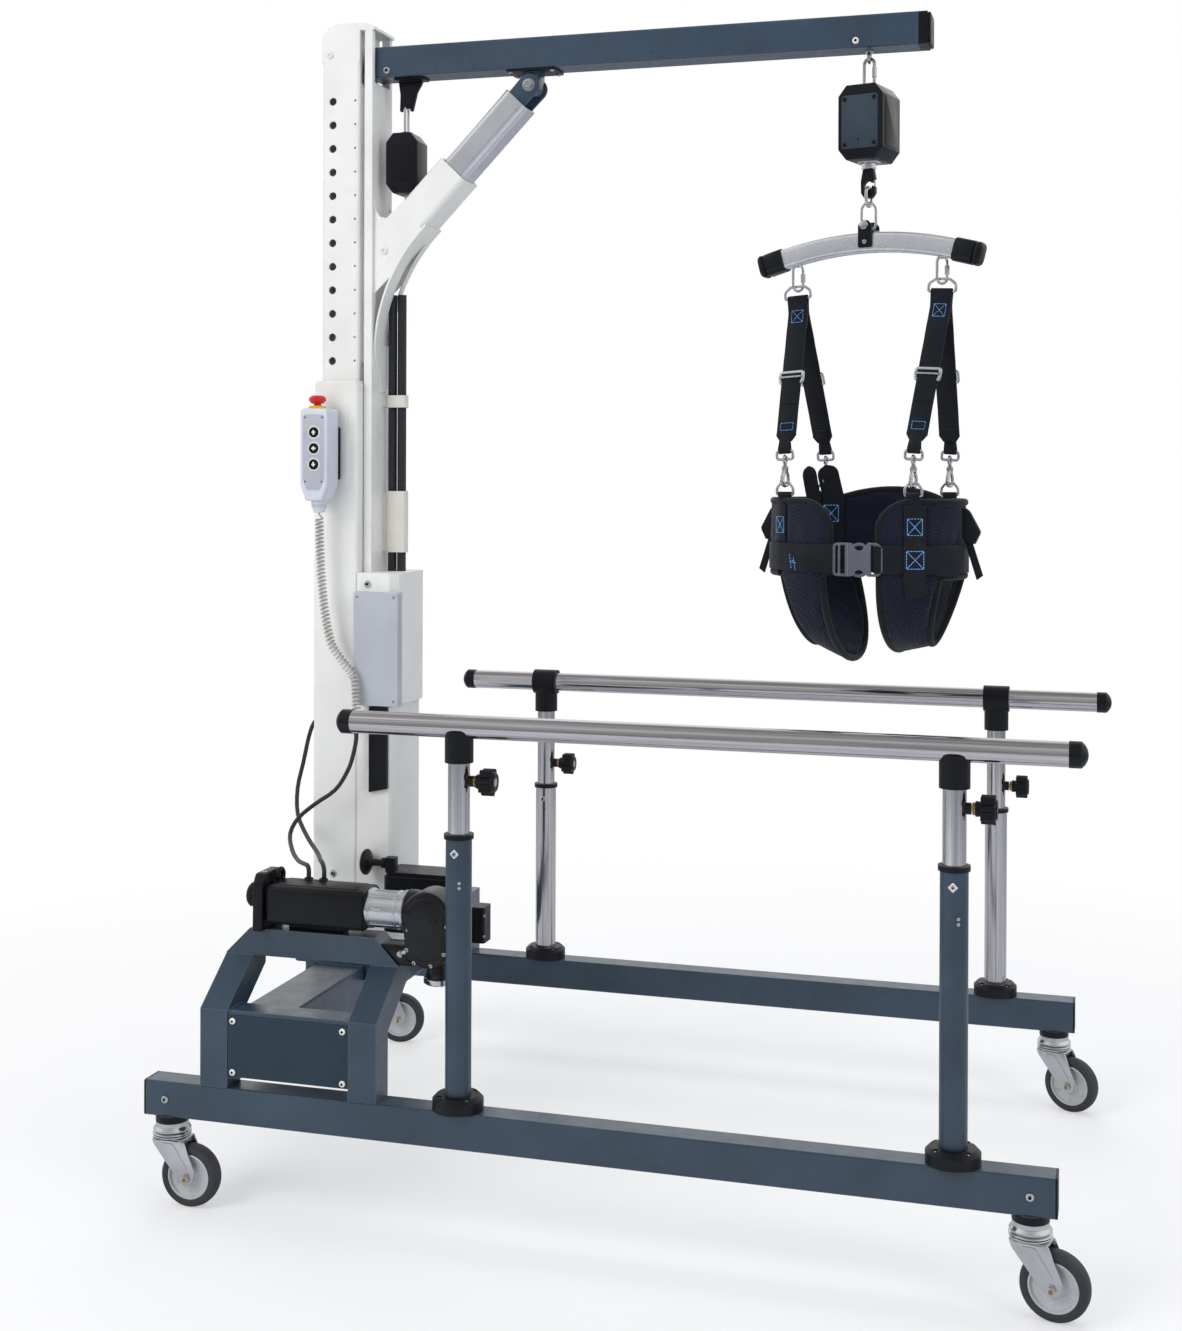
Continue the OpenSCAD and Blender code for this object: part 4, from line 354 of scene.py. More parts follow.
class Piece:
    """One object made of several shapes, each with its own material."""

    def __init__(self, name, body, slot=None):
        self.name, self.body, self.slot = name, body, slot
        self.bm = bmesh.new()
        self.mats = []

    def take(self, bm, place, finish, sharp=35.0):
        """Add a shape in its material. Edges over the sharp angle stay sharp, and the rest look smooth."""
        if finish not in self.mats:
            self.mats.append(finish)
        index = self.mats.index(finish)
        bmesh.ops.transform(bm, matrix=place, verts=bm.verts)
        bmesh.ops.recalc_face_normals(bm, faces=bm.faces)
        limit = radians(sharp)
        for face in bm.faces:
            face.material_index = index
            face.smooth = True
        for e in bm.edges:
            if len(e.link_faces) == 2 and e.calc_face_angle(0.0) > limit:
                e.smooth = False
        held = bpy.data.meshes.new("held")
        bm.to_mesh(held)
        bm.free()
        self.bm.from_mesh(held)
        bpy.data.meshes.remove(held)

    def prism(self, outline, depth, place, finish, bevel=0.0, segments=2, both=True):
        """The outline in XY, pushed from z = 0 to depth, with rounded edges."""
        bm = bmesh.new()
        face = bm.faces.new([bm.verts.new((x * MM, y * MM, 0)) for x, y in outline])
        pushed = bmesh.ops.extrude_face_region(bm, geom=[face])
        corners = [v for v in pushed["geom"] if isinstance(v, bmesh.types.BMVert)]
        bmesh.ops.translate(bm, vec=(0, 0, depth * MM), verts=corners)
        if bevel:
            bmesh.ops.recalc_face_normals(bm, faces=bm.faces)
            top = depth * MM
            chosen = [e for e in bm.edges if e.calc_face_angle(0.0) > 0.5
                      and (both or min(v.co.z for v in e.verts) > top * 0.5)]
            bmesh.ops.bevel(bm, geom=chosen, offset=bevel * MM, segments=segments, profile=0.5,
                            affect="EDGES", clamp_overlap=True)
        self.take(bm, place, finish)

    def lathe(self, profile, place, finish, steps=40, sharp=35.0):
        """A profile of (radius, height) turned round Z; it may start and end on the axis."""
        bm = bmesh.new()
        rings = []
        for r, z in profile:
            if abs(r) < 1e-6:
                rings.append([bm.verts.new((0, 0, z * MM))])
            else:
                rings.append([bm.verts.new((x * MM, y * MM, z * MM)) for x, y in circle(r, steps)])
        for a, b in zip(rings, rings[1:]):
            for i in range(steps):
                j = (i + 1) % steps
                corners = [a[i % len(a)], a[j % len(a)], b[j % len(b)], b[i % len(b)]]
                unique = list(dict.fromkeys(corners))
                if len(unique) > 2:
                    bm.faces.new(unique)
        self.take(bm, place, finish, sharp)

    def turned(self, profile, soft, place, finish, steps=40):
        """A lathe whose profile has its corners rounded."""
        self.lathe(rounded(profile, soft, False), place, finish, steps)

    def sweep(self, path, section, place, finish, closed=False, wide=None, sharp=40.0, scale=None):
        """A section carried along a path of points. wide is the way that the section's first axis points."""
        bm = bmesh.new()
        path = [np.array(p, float) for p in path]
        n = len(path)
        rings = []
        side = None
        for i, p in enumerate(path):
            before = path[i - 1] if i or closed else path[0]
            after = path[(i + 1) % n] if i < n - 1 or closed else path[-1]
            t = after - before
            t /= np.linalg.norm(t) + 1e-12
            if wide is not None:
                side = np.array(wide[i] if np.ndim(wide) > 1 else wide, float)
            elif side is None:
                side = np.array((0, 0, 1.0)) if abs(t[2]) < 0.9 else np.array((1.0, 0, 0))
            side = side - t * (side @ t)
            side /= np.linalg.norm(side) + 1e-12
            up = np.cross(t, side)
            k = scale[i] if scale else 1.0
            rings.append([bm.verts.new(tuple((p + side * x * k + up * y * k) * MM)) for x, y in section])
        m = len(section)
        pairs = list(zip(rings, rings[1:])) + ([(rings[-1], rings[0])] if closed else [])
        for a, b in pairs:
            for i in range(m):
                bm.faces.new((a[i], a[(i + 1) % m], b[(i + 1) % m], b[i]))
        if not closed:
            bm.faces.new(rings[0])
            bm.faces.new(list(reversed(rings[-1])))
        self.take(bm, place, finish, sharp)

    def tube(self, path, radius, place, finish, closed=False, sides=12):
        self.sweep(path, circle(radius, sides), place, finish, closed)

    def strap(self, path, width, thick, place, wide, scale=None):
        """Webbing along a path of points."""
        self.sweep(path, strap_section(width, thick), place, WEBBING, wide=wide, sharp=50, scale=scale)

    def stitches(self, path, place, finish=None, step=4.2, length=3.0, radius=0.55):
        """A row of thread stitches along a line of points."""
        path = [np.array(p, float) for p in path]
        for a, b in zip(path, path[1:]):
            run = np.linalg.norm(b - a)
            count = max(1, int(run / step))
            way = (b - a) / run
            for i in range(count):
                start = a + way * (run * (i + 0.5) / count - length / 2)
                self.tube([start, start + way * length], radius, place, finish or STITCH, sides=6)

    def screw(self, d, place, finish=None, socket=True):
        """A button head screw standing along +Z, with a hex socket."""
        finish = finish or ZINC
        r, h = d / 2, d * 0.34
        dome = [(r * sin(a), h * 0.35 + h * 0.65 * cos(a)) for a in np.linspace(0.42, pi / 2, 7)]
        self.lathe([(r, 0)] + list(reversed(dome)) + [(r * 0.44, h * 0.93)], place, finish, 24)
        # The hex socket's recess gets the near-black finish: painted shade.
        hexagon = circle(r * 0.44, 6)
        depth = h * 0.55
        bm = bmesh.new()
        top = [bm.verts.new((x * MM, y * MM, h * 0.93 * MM)) for x, y in hexagon]
        low = [bm.verts.new((x * MM, y * MM, (h - depth) * MM)) for x, y in hexagon]
        for i in range(6):
            bm.faces.new((top[i], top[(i + 1) % 6], low[(i + 1) % 6], low[i]))
        bm.faces.new(low)
        self.take(bm, place, HOLLOW_SHADE if socket else finish)

    def finish(self, *replaces):
        mesh = bpy.data.meshes.new(self.name)
        self.bm.to_mesh(mesh)
        self.bm.free()
        made = new_object(self.name, mesh)
        for m in self.mats:
            mesh.materials.append(m.mat)
        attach(made, self.body)
        if replaces:
            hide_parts(*replaces)
        return made


def dress(finish, *names):
    for name in names:
        node = NODES[name]
        node.data.materials.clear()
        node.data.materials.append(finish.mat)


# Sizes shared with the construction

RAIL_Y, RAIL_Z, RAIL_TOP = 462.5, 155, 215
SWIVEL_X = (-748, 680)
TRAIL, WHEEL_R = 37, 52.5
TURN_GAP = 0.3
NEAR_POSTS, FAR_POSTS = (-228, 566), (-376, 566)
FRONT_X = -510
BOOM_TOP, BOOM_BOTTOM, BOOM_END = 2060, 2002, 482
PIVOT_X, PIVOT_Z = -258, 1972
BRACE_X, BRACE_TILT = -562.5, 46
BALANCE_X, ARM_FOOT = -512, 1944
LOAD_X, LOAD_TURN = 371, 15
EYE_Z = 1990
BOX_TOP, BOX_BOTTOM, BOX_W = 1936, 1804, 84
LOAD = Matrix.Translation((LOAD_X * MM, 0, 0)) @ Matrix.Rotation(radians(-LOAD_TURN), 4, "Z")


# Painted frame, mast and rails

dress(FRAME_PAINT, "near_base_rail", "far_base_rail", "near_side_frame", "far_side_frame", "cross_beam")
dress(PANEL, "side_panels")
dress(SLEEVE, "post_sleeves")
dress(BOOM_PAINT, "boom")
dress(BLACK, "rail_end_caps", "post_collars", "relay_box", "near_rail_fittings", "far_rail_fittings")
dress(MAST_PAINT, "rear_mast_column", "front_mast_column", "mast_cover", "mast_slider", "mast_front_slider",
      "brace_sleeve", "pendant_bracket")
dress(RAIL, "near_handrail", "far_handrail")
dress(TUBE, "brace_tube")
dress(GREY, "control_box")
dress(RED, "estop_button")
dress(BLACK, "raise_button", "hold_button", "lower_button")


def camera():
    """The photograph's viewpoint: its place, direction, focal length and frame."""
    eye = Vector((0.8099, -3.2343, 1.2535))
    heading, pitch, roll = radians(16.4), radians(0.2), radians(-0.2)
    forward = Vector((-sin(heading) * cos(pitch), cos(heading) * cos(pitch), -sin(pitch)))
    right = forward.cross(Vector((0, 0, 1))).normalized()
    up = right.cross(forward)
    turned = Matrix.Rotation(roll, 3, forward)
    right, up = turned @ right, turned @ up
    data = bpy.data.cameras.new("view")
    width, height, focal, centre_x, centre_y = 1182, 1331, 1814.4, 591.0, 477.4
    data.sensor_fit = "VERTICAL"
    data.sensor_height = 36.0
    data.lens = focal * 36.0 / height
    data.shift_y = -(height / 2 - centre_y) / height
    data.shift_x = (width / 2 - centre_x) / height
    data.clip_end = 60
    made = new_object("view", data)
    m = Matrix((right, up, -forward)).transposed().to_4x4()
    m.translation = eye
    made.matrix_world = m
    bpy.context.scene.camera = made


camera()


# Studio

ROOM_HEIGHTS = ((0.0, 0.3), (0.5, 0.72), (0.58, 0.85), (0.7, 1.0), (0.86, 1.0), (0.94, 0.42), (1.0, 0.3))
ROOM_DEPTHS = ((0.0, 0.42), (0.12, 0.5), (0.3, 0.95), (0.5, 1.0), (1.0, 1.0))


def surroundings(scene):
    """White for the viewer, soft fill for matt faces, and a dim-ceilinged room for metal to reflect."""
    scene.world = bpy.data.worlds.new("studio")
    scene.world.use_nodes = True
    sky = Nodes(scene.world.node_tree)
    sky.tree.nodes.clear()
    rays = sky.node("ShaderNodeLightPath").outputs
    split = sky.node("ShaderNodeSeparateXYZ")
    sky.fill(split, sky.node("ShaderNodeTexCoord").outputs["Generated"])

    def glow(colour, strength):
        return sky.fill(sky.node("ShaderNodeBackground"), colour, strength)

    def ramp(axis, stops):
        shift = sky.node("ShaderNodeMapRange")
        made = sky.node("ShaderNodeValToRGB")
        sky.fill(made, sky.fill(shift, split.outputs[axis], -1.0))
        elements = made.color_ramp.elements
        while len(elements) < len(stops):
            elements.new(0.5)
        for element, (position, value) in zip(elements, stops):
            element.position = position
            element.color = (value, value, value, 1)
        return made.outputs[0]

    room = sky.mix(1.0, ramp("Z", ROOM_HEIGHTS), ramp("Y", ROOM_DEPTHS), blend_type="MULTIPLY")
    indoors = sky.either(rays["Is Glossy Ray"], glow((0.86, 0.9, 1.0, 1), 0.45), glow(room, 1.0))
    clear = sky.math("MAXIMUM", rays["Is Camera Ray"], rays["Is Transmission Ray"])
    sky.fill(sky.node("ShaderNodeOutputWorld"), sky.either(clear, indoors, glow((1, 1, 1, 1), 1.0)))


def white_floor():
    """A pale floor that fades to white away from the object, and that metal and paint see darker."""
    look = Finish("floor")
    look.tree.nodes.remove(look.shader)
    rays = look.node("ShaderNodeLightPath").outputs
    pale = look.mix(look.contrast(look.noise(1.3, 2.0)), (0.86, 0.86, 0.86, 1), (0.9, 0.9, 0.9, 1))
    base = look.mix(rays["Is Glossy Ray"], pale, (0.62, 0.63, 0.65, 1))
    length = look.node("ShaderNodeVectorMath", operation="LENGTH")
    look.fill(length, look.place)
    far = look.spread(length.outputs["Value"], 0.8, 2.6, 0.45, 1.0)
    matt = look.fill(look.node("ShaderNodeBsdfDiffuse"), base)
    white = look.fill(look.node("ShaderNodeEmission"), (1, 1, 1, 1))
    seen = look.either(look.math("MULTIPLY", far, rays["Is Camera Ray"]), matt, white)
    look.fill(look.tree.nodes["Material Output"], seen)
    mesh = bpy.data.meshes.new("floor")
    mesh.from_pydata([(-30, -30, 0), (30, -30, 0), (30, 30, 0), (-30, 30, 0)], [], [(0, 1, 2, 3)])
    mesh.materials.append(look.mat)
    floor = new_object("floor", mesh)
    floor.location = (0, 0, -0.0005)


def lamp(name, place, target, size, power, tint=(1, 1, 1)):
    data = bpy.data.lights.new(name, "AREA")
    data.shape = "RECTANGLE"
    data.size, data.size_y = size
    data.energy = power
    data.color = tint
    made = new_object(name, data)
    made.visible_glossy = False
    made.location = place
    made.rotation_euler = (Vector(target) - Vector(place)).to_track_quat("-Z", "Y").to_euler()


def studio():
    scene = bpy.context.scene
    scene.view_settings.view_transform = "Standard"
    surroundings(scene)
    white_floor()
    lamp("key", (-2.6, -3.6, 3.6), (0, 0, 0.9), (2.4, 2.4), 105, (1.0, 0.985, 0.96))
    lamp("right", (3.6, -2.2, 2.4), (0, 0, 1.0), (1.6, 2.6), 48, (0.95, 0.98, 1.0))
    lamp("top", (0.2, 0.4, 4.4), (0, 0, 0.6), (3.0, 2.2), 60)
    lamp("back", (-0.8, 3.6, 2.8), (0, 0, 1.1), (2.6, 2.0), 40)
    lamp("low", (-1.6, -3.4, 1.1), (-0.6, 0, 0.7), (1.8, 1.4), 16)


studio()


# Screws and small steel on the frame

def leg_span(near):
    """Where a side frame's box bay starts and ends along its rail."""
    return (-632, -412) if near else (-738, -585)


def frame_steel():
    """Screws, washers and rivets on the two side frames, the rails and the mast."""
    piece = Piece("frame_fixings", "base", "zinc_steel")
    for side in (-1, 1):
        turn = 90 if side < 0 else -90
        for x in SWIVEL_X:
            piece.screw(13, at(x, side * 487.5, 185, turn), ZINC)
        left, right = leg_span(side < 0)
        for x in (left + 10, right - 10):
            for z in (243, 329):
                place = at(x, side * 486.5, z, turn)
                piece.lathe([(6.6, 0), (6.6, 0.7), (0, 0.7)], place, BLACK, 24)
                piece.screw(11, place, WHITE)
        piece.screw(14, at(-628, side * 72, 489, turn), ZINC)
        piece.screw(14, at(-558, side * 74, 1039, turn), ZINC)
    # A square white washer with its screw on each near post, and a small pair of rivets lower down
    for x in NEAR_POSTS:
        face = -RAIL_Y - 21.5
        washer = at(x, face + 0.8, 633, 90) @ Matrix.Rotation(radians(45), 4, "Z")
        piece.prism(rect(11, 11, 1.5), 1.6, washer, WHITE, 0.5)
        piece.screw(8, at(x, face - 0.8, 633, 90), ZINC)
        for dz in (0, -8):
            piece.screw(5.5, at(x + 8, -RAIL_Y - 19.8, 586 + dz, 90, 0, 20), ZINC, socket=False)
    for x in FAR_POSTS:
        piece.screw(11, at(x, RAIL_Y - 21.5, 556, 90), ZINC)
    # Bright bolts in the four collars
    for x, side in [(x, -1) for x in NEAR_POSTS] + [(x, 1) for x in FAR_POSTS]:
        for a in (45, 135, 225, 315):
            dx, dy = 32.5 * cos(radians(a)), 32.5 * sin(radians(a))
            piece.lathe([(3.9, 0), (3.9, 2.6), (3.4, 3.1), (2.0, 3.1), (1.7, 1.2), (0, 1.2)],
                        at(x + dx, side * RAIL_Y + dy, RAIL_TOP + 19), ZINC, 18)
    return piece.finish("frame_screws")


frame_steel()


# Casters

def caster_fork(name, base):
    """Stem, swivel head, fork and axle nuts."""
    fork = Piece(f"{name}_fork_steel", f"{name}_swivel", "zinc_steel")
    top = RAIL_Z - 27 - TURN_GAP
    crown = top - 11
    inner, wall = 18, 3
    fork.lathe([(0, top + 19.5), (7, top + 19.5), (8, top + 18.5), (8, top)], base, ZINC, 24)
    # Swivel head: two pressed races with their balls between
    fork.turned([(8, top), (27, top), (32, top - 2.6), (33, top - 4.8), (24, top - 5.4)], [0, 4, 2, 1, 0],
                base, ZINC, 48)
    fork.lathe([(24, top - 4.6), (25.6, top - 5.4), (25.6, top - 6.4), (24, top - 7)], base, BRASS, 40)
    fork.turned([(24, top - 6.2), (32, top - 6.4), (32.4, top - 8.6), (25, crown - 0.5), (0, crown - 0.5)],
                [0, 1, 3, 2, 0], base, ZINC, 48)
    fork.prism(rect(60, 2 * (inner + wall), 8, 6), 5, base @ at(1, 0, crown - 5), ZINC, 1.4)
    outline = rounded([(-29, crown - 1), (31, crown - 1), (TRAIL + 16, WHEEL_R + 12),
                       (TRAIL + 12, WHEEL_R - 8), (TRAIL + 2, WHEEL_R - 13), (TRAIL - 13, WHEEL_R - 6),
                       (-22, crown - 14)], [6, 8, 9, 8, 8, 9, 9], n=5)
    for s in (-1, 1):
        place = base @ at(0, s * (inner + wall / 2) + wall / 2, 0, 90)
        fork.prism(outline, wall, place, ZINC, 0.9)
        rib = rounded([(-13, crown - 7), (12, crown - 7), (TRAIL + 4, WHEEL_R + 14),
                       (TRAIL - 8, WHEEL_R + 12)], 5)
        fork.prism(rib, 1.2, base @ at(0, s * (inner + wall) + (1.2 if s > 0 else 0), 0, 90), ZINC, 0.5)
        out = base @ at(TRAIL, s * (inner + wall), WHEEL_R, -90 * s)
        fork.lathe([(8.5, 0), (8.5, 1.2), (0, 1.2)], out, ZINC, 28)
        fork.prism(circle(7.2, 6), 4.6, out @ at(0, 0, 1.2), ZINC, 0.8)
        fork.lathe([(3.6, 5.8), (3.6, 6.8), (2.8, 7.4), (0, 7.4)], out, BRASS, 18)
    fork.finish(f"{name}_fork")


def caster_wheel(name, base):
    """Rubber tyre on a grey hub with its bearing."""
    wheel = Piece(f"{name}_tyre", f"{name}_roller", "wheel_rubber")
    axle = base @ at(TRAIL, 0, WHEEL_R, 90)
    tyre = [(38, -12.4), (42, -14.6), (47, -14.2), (51, -10.5), (52.5, -4), (52.5, 4), (51, 10.5),
            (47, 14.2), (42, 14.6), (38, 12.4)]
    wheel.lathe(rounded(tyre, 3, False, 3), axle, RUBBER, 64)
    for s in (-1, 1):
        ring = [(38.4, s * 12.2), (37.4, s * 13.6), (35.6, s * 13.8), (34.6, s * 12.6), (33.4, s * 8.4),
                (24, s * 6.6), (15.6, s * 7.6), (14.6, s * 13.6), (13.6, s * 15.6), (10.4, s * 16.2)]
        wheel.lathe(rounded(ring, 0.8, False, 2), axle, HUB, 64)
        wheel.lathe([(10.4, s * 16.2), (9.6, s * 15.2), (8.6, s * 15.2), (8.4, s * 16.4), (5.4, s * 16.4)],
                    axle, BRASS, 32)
        for k in range(6):
            a = 60 * k + 30
            spot = axle @ at(28.6 * cos(radians(a)), 28.6 * sin(radians(a)), s * 6.2)
            wheel.lathe([(3.2, s * 1.2), (2.6, s * 1.9), (0, s * 1.9)], spot, HUB, 14)
    wheel.finish(f"{name}_wheel")


def caster(name, x, side, turn):
    base = at(x, side * RAIL_Y, 0, rz=turn)
    caster_fork(name, base)
    caster_wheel(name, base)


def socket_rings():
    """Black nut and bright neck round each caster socket, under the rails."""
    piece = Piece("caster_socket_rings", "base", "moulded_black")
    for x in SWIVEL_X:
        for side in (-1, 1):
            under = at(x, side * RAIL_Y, RAIL_Z)
            piece.turned([(26.8, -0.2), (28, -0.2), (28, -12), (26.8, -12)], [0, 0.4, 0.4, 0], under, BLACK,
                         48)
            neck = rounded([(26.8, -12.2), (27.6, -12.2), (28, -19), (32, -24.4), (32, -26.6),
                            (26.8, -26.6)], [0, 0.3, 3, 2, 0.6, 0], False)
            piece.lathe(neck, under, ZINC, 48)
    piece.finish()


socket_rings()
caster("near_rear", SWIVEL_X[0], -1, 0)
caster("near_front", SWIVEL_X[1], -1, -12)
caster("far_rear", SWIVEL_X[0], 1, 8)
caster("far_front", SWIVEL_X[1], 1, -22)


# Clamp knobs of the handrail posts

def star_knob(name, body, x, side, z):
    """Seven lobes on a bright screw with a brass collar."""
    piece = Piece(f"{name}_star", body, "moulded_black")
    place = at(x, side * RAIL_Y, z, ry=90)
    reach = 31
    piece.lathe([(0, 18.3), (4.4, 18.3), (5, 18.9), (5, reach + 2)], place, ZINC, 24)
    piece.turned([(8.4, reach - 4.5), (9.6, reach - 4), (9.6, reach), (5, reach)], 0.8, place, BRASS, 28)
    piece.turned([(5, reach), (11.6, reach), (12, reach + 2), (11, reach + 8.4)], 1.2, place, BLACK, 32)
    outline = []
    for k in range(84):
        a = 2 * pi * k / 84
        outline.append(((19.7 + 3.0 * cos(7 * a)) * cos(a), (19.7 + 3.0 * cos(7 * a)) * sin(a)))
    piece.prism(outline, 22, place @ at(0, 0, reach + 8), BLACK, 2.6, 3)
    piece.turned([(15.5, reach + 29.6), (15, reach + 32.6), (9, reach + 33), (7.5, reach + 31.4),
                  (0, reach + 31.4)], 1, place, BLACK, 32)
    piece.lathe([(7.2, reach + 31.6), (6.8, reach + 32.4), (0, reach + 32.6)], place, ZINC, 28)
    piece.finish(name)


star_knob("near_rear_knob", "near_rear_clamp_knob", NEAR_POSTS[0], -1, 749)
star_knob("near_front_knob", "near_front_clamp_knob", NEAR_POSTS[1], -1, 749)
star_knob("far_rear_knob", "far_rear_clamp_knob", FAR_POSTS[0], 1, 630)
star_knob("far_front_knob", "far_front_clamp_knob", FAR_POSTS[1], 1, 630)


# Drive unit

DRIVE_Y, DRIVE_Z = -371, 507
HOUSING_X = (-600, -422)
CLAMP_X, GEAR_X, GEAR_R = -624, -310, 42
BEAM_TOP = 462


def on_drive(x):
    """A place on the drive's axis, looking along it."""
    return at(x, DRIVE_Y, DRIVE_Z, 90, 0, 90)


def drive_housing():
    """The black box beam with its clamp, eyelet, foot and lid."""
    housing = Piece("drive_body", "base", "moulded_black")
    length = HOUSING_X[1] - HOUSING_X[0]
    housing.prism(rect(74, 68, 13, 6), length, on_drive(HOUSING_X[0]), BLACK, 3.0, 3)
    # Near-black plate at the housing's open end: painted shade for its hollow inside.
    housing.prism(rect(68, 62, 12, 6), 3, on_drive(HOUSING_X[1] - 0.4), HOLLOW_SHADE, 1)
    # Clamp block, tapered and taller than the housing, with its eyelet
    top = DRIVE_Z + 34 + 18
    block = rounded([(-42, BEAM_TOP - 0.5), (42, BEAM_TOP - 0.5), (40, top - 16), (30, top), (-30, top),
                     (-40, top - 16)], [3, 3, 9, 9, 9, 9], n=5)
    housing.prism(block, 18, at(CLAMP_X, DRIVE_Y, 0, 90, 0, 90), BLACK, 2.4, 3)
    housing.prism(rect(54, 58, 10, 5), HOUSING_X[0] - CLAMP_X - 17, on_drive(CLAMP_X + 17.5), BLACK, 1.2)
    housing.lathe([(4.4, 0), (4.4, 0.9), (2.6, 1.2), (2.2, -1.5), (0, -1.5)],
                  at(CLAMP_X + 9, DRIVE_Y - 14, top - 0.6), ZINC, 18)
    eyelet = arc(11, radians(-50), radians(230), 18, 0, 8)
    housing.tube([(CLAMP_X + 26, DRIVE_Y + 14 + x, BEAM_TOP + 78 + z) for x, z in eyelet], 4.2, IDENTITY,
                 BLACK)
    housing.prism(rect(100, 30, 3), DRIVE_Z - BEAM_TOP - 20, at(HOUSING_X[0] + 80, DRIVE_Y + 3, BEAM_TOP),
                  BLACK, 1)
    # A raised lid line along the housing and its screws
    housing.prism(rect(length - 26, 52, 6), 1.6, at(HOUSING_X[0] + length / 2, DRIVE_Y, DRIVE_Z + 33.6),
                  BLACK, 0.8)
    for x in (92, 120):
        housing.turned([(8, -4), (8, 3.4), (6.6, 4.2), (4.4, 4.2)], 0.8,
                       at(-641 + x, DRIVE_Y + 24, DRIVE_Z + 34), BLACK, 24)
    housing.finish("drive_housing")


def drive_motor():
    """The finned motor with its four tie rods."""
    motor = Piece("drive_motor_case", "base", "motor_aluminium")
    start, end = HOUSING_X[1], GEAR_X - GEAR_R
    run = end - start
    profile = [(0, 0), (33, 0), (34, 1), (34, 5.4), (32.6, 5.8), (32.6, 8.4), (31.6, 9), (31.6, run - 18),
               (32.8, run - 17.4), (32.8, run - 14.4), (31.6, run - 13.8), (31.6, run - 7), (34, run - 6),
               (34, run - 1), (33, run), (0, run)]
    motor.lathe(profile, on_drive(start), ALUMINIUM, 72, 30)
    for k in range(4):
        a = radians(45 + 90 * k)
        motor.tube([(start + 6, DRIVE_Y + 30.6 * cos(a), DRIVE_Z + 30.6 * sin(a)),
                    (end - 7, DRIVE_Y + 30.6 * cos(a), DRIVE_Z + 30.6 * sin(a))], 2.2, IDENTITY, ZINC)
    motor.prism(rect(16, 5, 1), 1.8, at(start + 24, DRIVE_Y - 31, DRIVE_Z + 7, 90), ZINC, 0.5)
    motor.finish("drive_motor")


def drive_gearbox():
    """Egg-shaped gearbox, its foot, bearing and bolts."""
    gear = Piece("drive_gear_case", "base", "gearbox_metal")
    gear.turned([(0, 0), (36, 0), (36, 14), (30, 38)], [0, 2, 6, 0], on_drive(GEAR_X - GEAR_R), GEAR, 48)
    egg = arc(GEAR_R, radians(-8), radians(190), 30, 0, DRIVE_Z - 2)
    egg += [(-38, 447), (-34, 430), (-4, 418), (24, 424), (36, 436)]
    egg = rounded(egg, [0] * 30 + [5, 6, 8, 8, 6], n=4)
    gear.prism(egg, 60, at(GEAR_X, DRIVE_Y + 28, 0, 90), GEAR, 5, 4)
    gear.prism([(x * 0.82, (z - DRIVE_Z) * 0.82 + DRIVE_Z - 3) for x, z in egg], 2.6,
               at(GEAR_X, DRIVE_Y - 31.6, 0, 90), GEAR, 1.6, 3)
    gear.lathe([(6, 0), (6, 1.4), (4.4, 2.2), (3.2, 2.2), (2.8, 0.8), (0, 0.8)],
               at(GEAR_X + 13, DRIVE_Y - 34.2, DRIVE_Z - 4, 90), GEAR, 24)
    for x, z in ((-31, 482), (-33, 449), (-20, 428), (10, 425), (33, 446), (38, 492)):
        gear.screw(7, at(GEAR_X + x, DRIVE_Y - 32, z, 90), ZINC)
    gear.prism(rect(60, 38, 4), 34, at(GEAR_X - 30 - 25, -371.5, 418), GEAR, 1.5)
    # Bearing under the gearbox: a turned neck and a bright race with its balls
    neck = at(GEAR_X + 14, DRIVE_Y, 0)
    gear.turned([(20, 441), (24, 436), (24, 424), (20, 418), (23, 408), (23, 399)], 2, neck, GEAR, 40)
    gear.turned([(23, 400), (27, 399), (27, 391), (25, 389), (14, 389), (13, 395), (0, 395)], 1.4, neck,
                ZINC, 48)
    for k in range(12):
        a = radians(30 * k)
        gear.lathe(ball(2.7, 7), neck @ at(20 * cos(a), 20 * sin(a), 389.6), ZINC, 10)
    # Clevis bolt at the lower corner
    bolt = at(GEAR_X - 46, DRIVE_Y - 30, 440)
    gear.lathe(ball(6.4, 9), bolt, ZINC, 18)
    gear.lathe([(3.4, 0), (3.4, 20), (0, 20)], bolt @ at(0, 0, 0, 0, 60), ZINC, 16)
    gear.lathe([(5.2, 9), (5.2, 12), (3.4, 12)], bolt @ at(0, 0, 0, 0, 60), ZINC, 6)
    gear.lathe(ball(3.4, 8), at(GEAR_X + 40, DRIVE_Y - 26, 499), BRASS, 14)
    gear.finish("drive_gearbox")


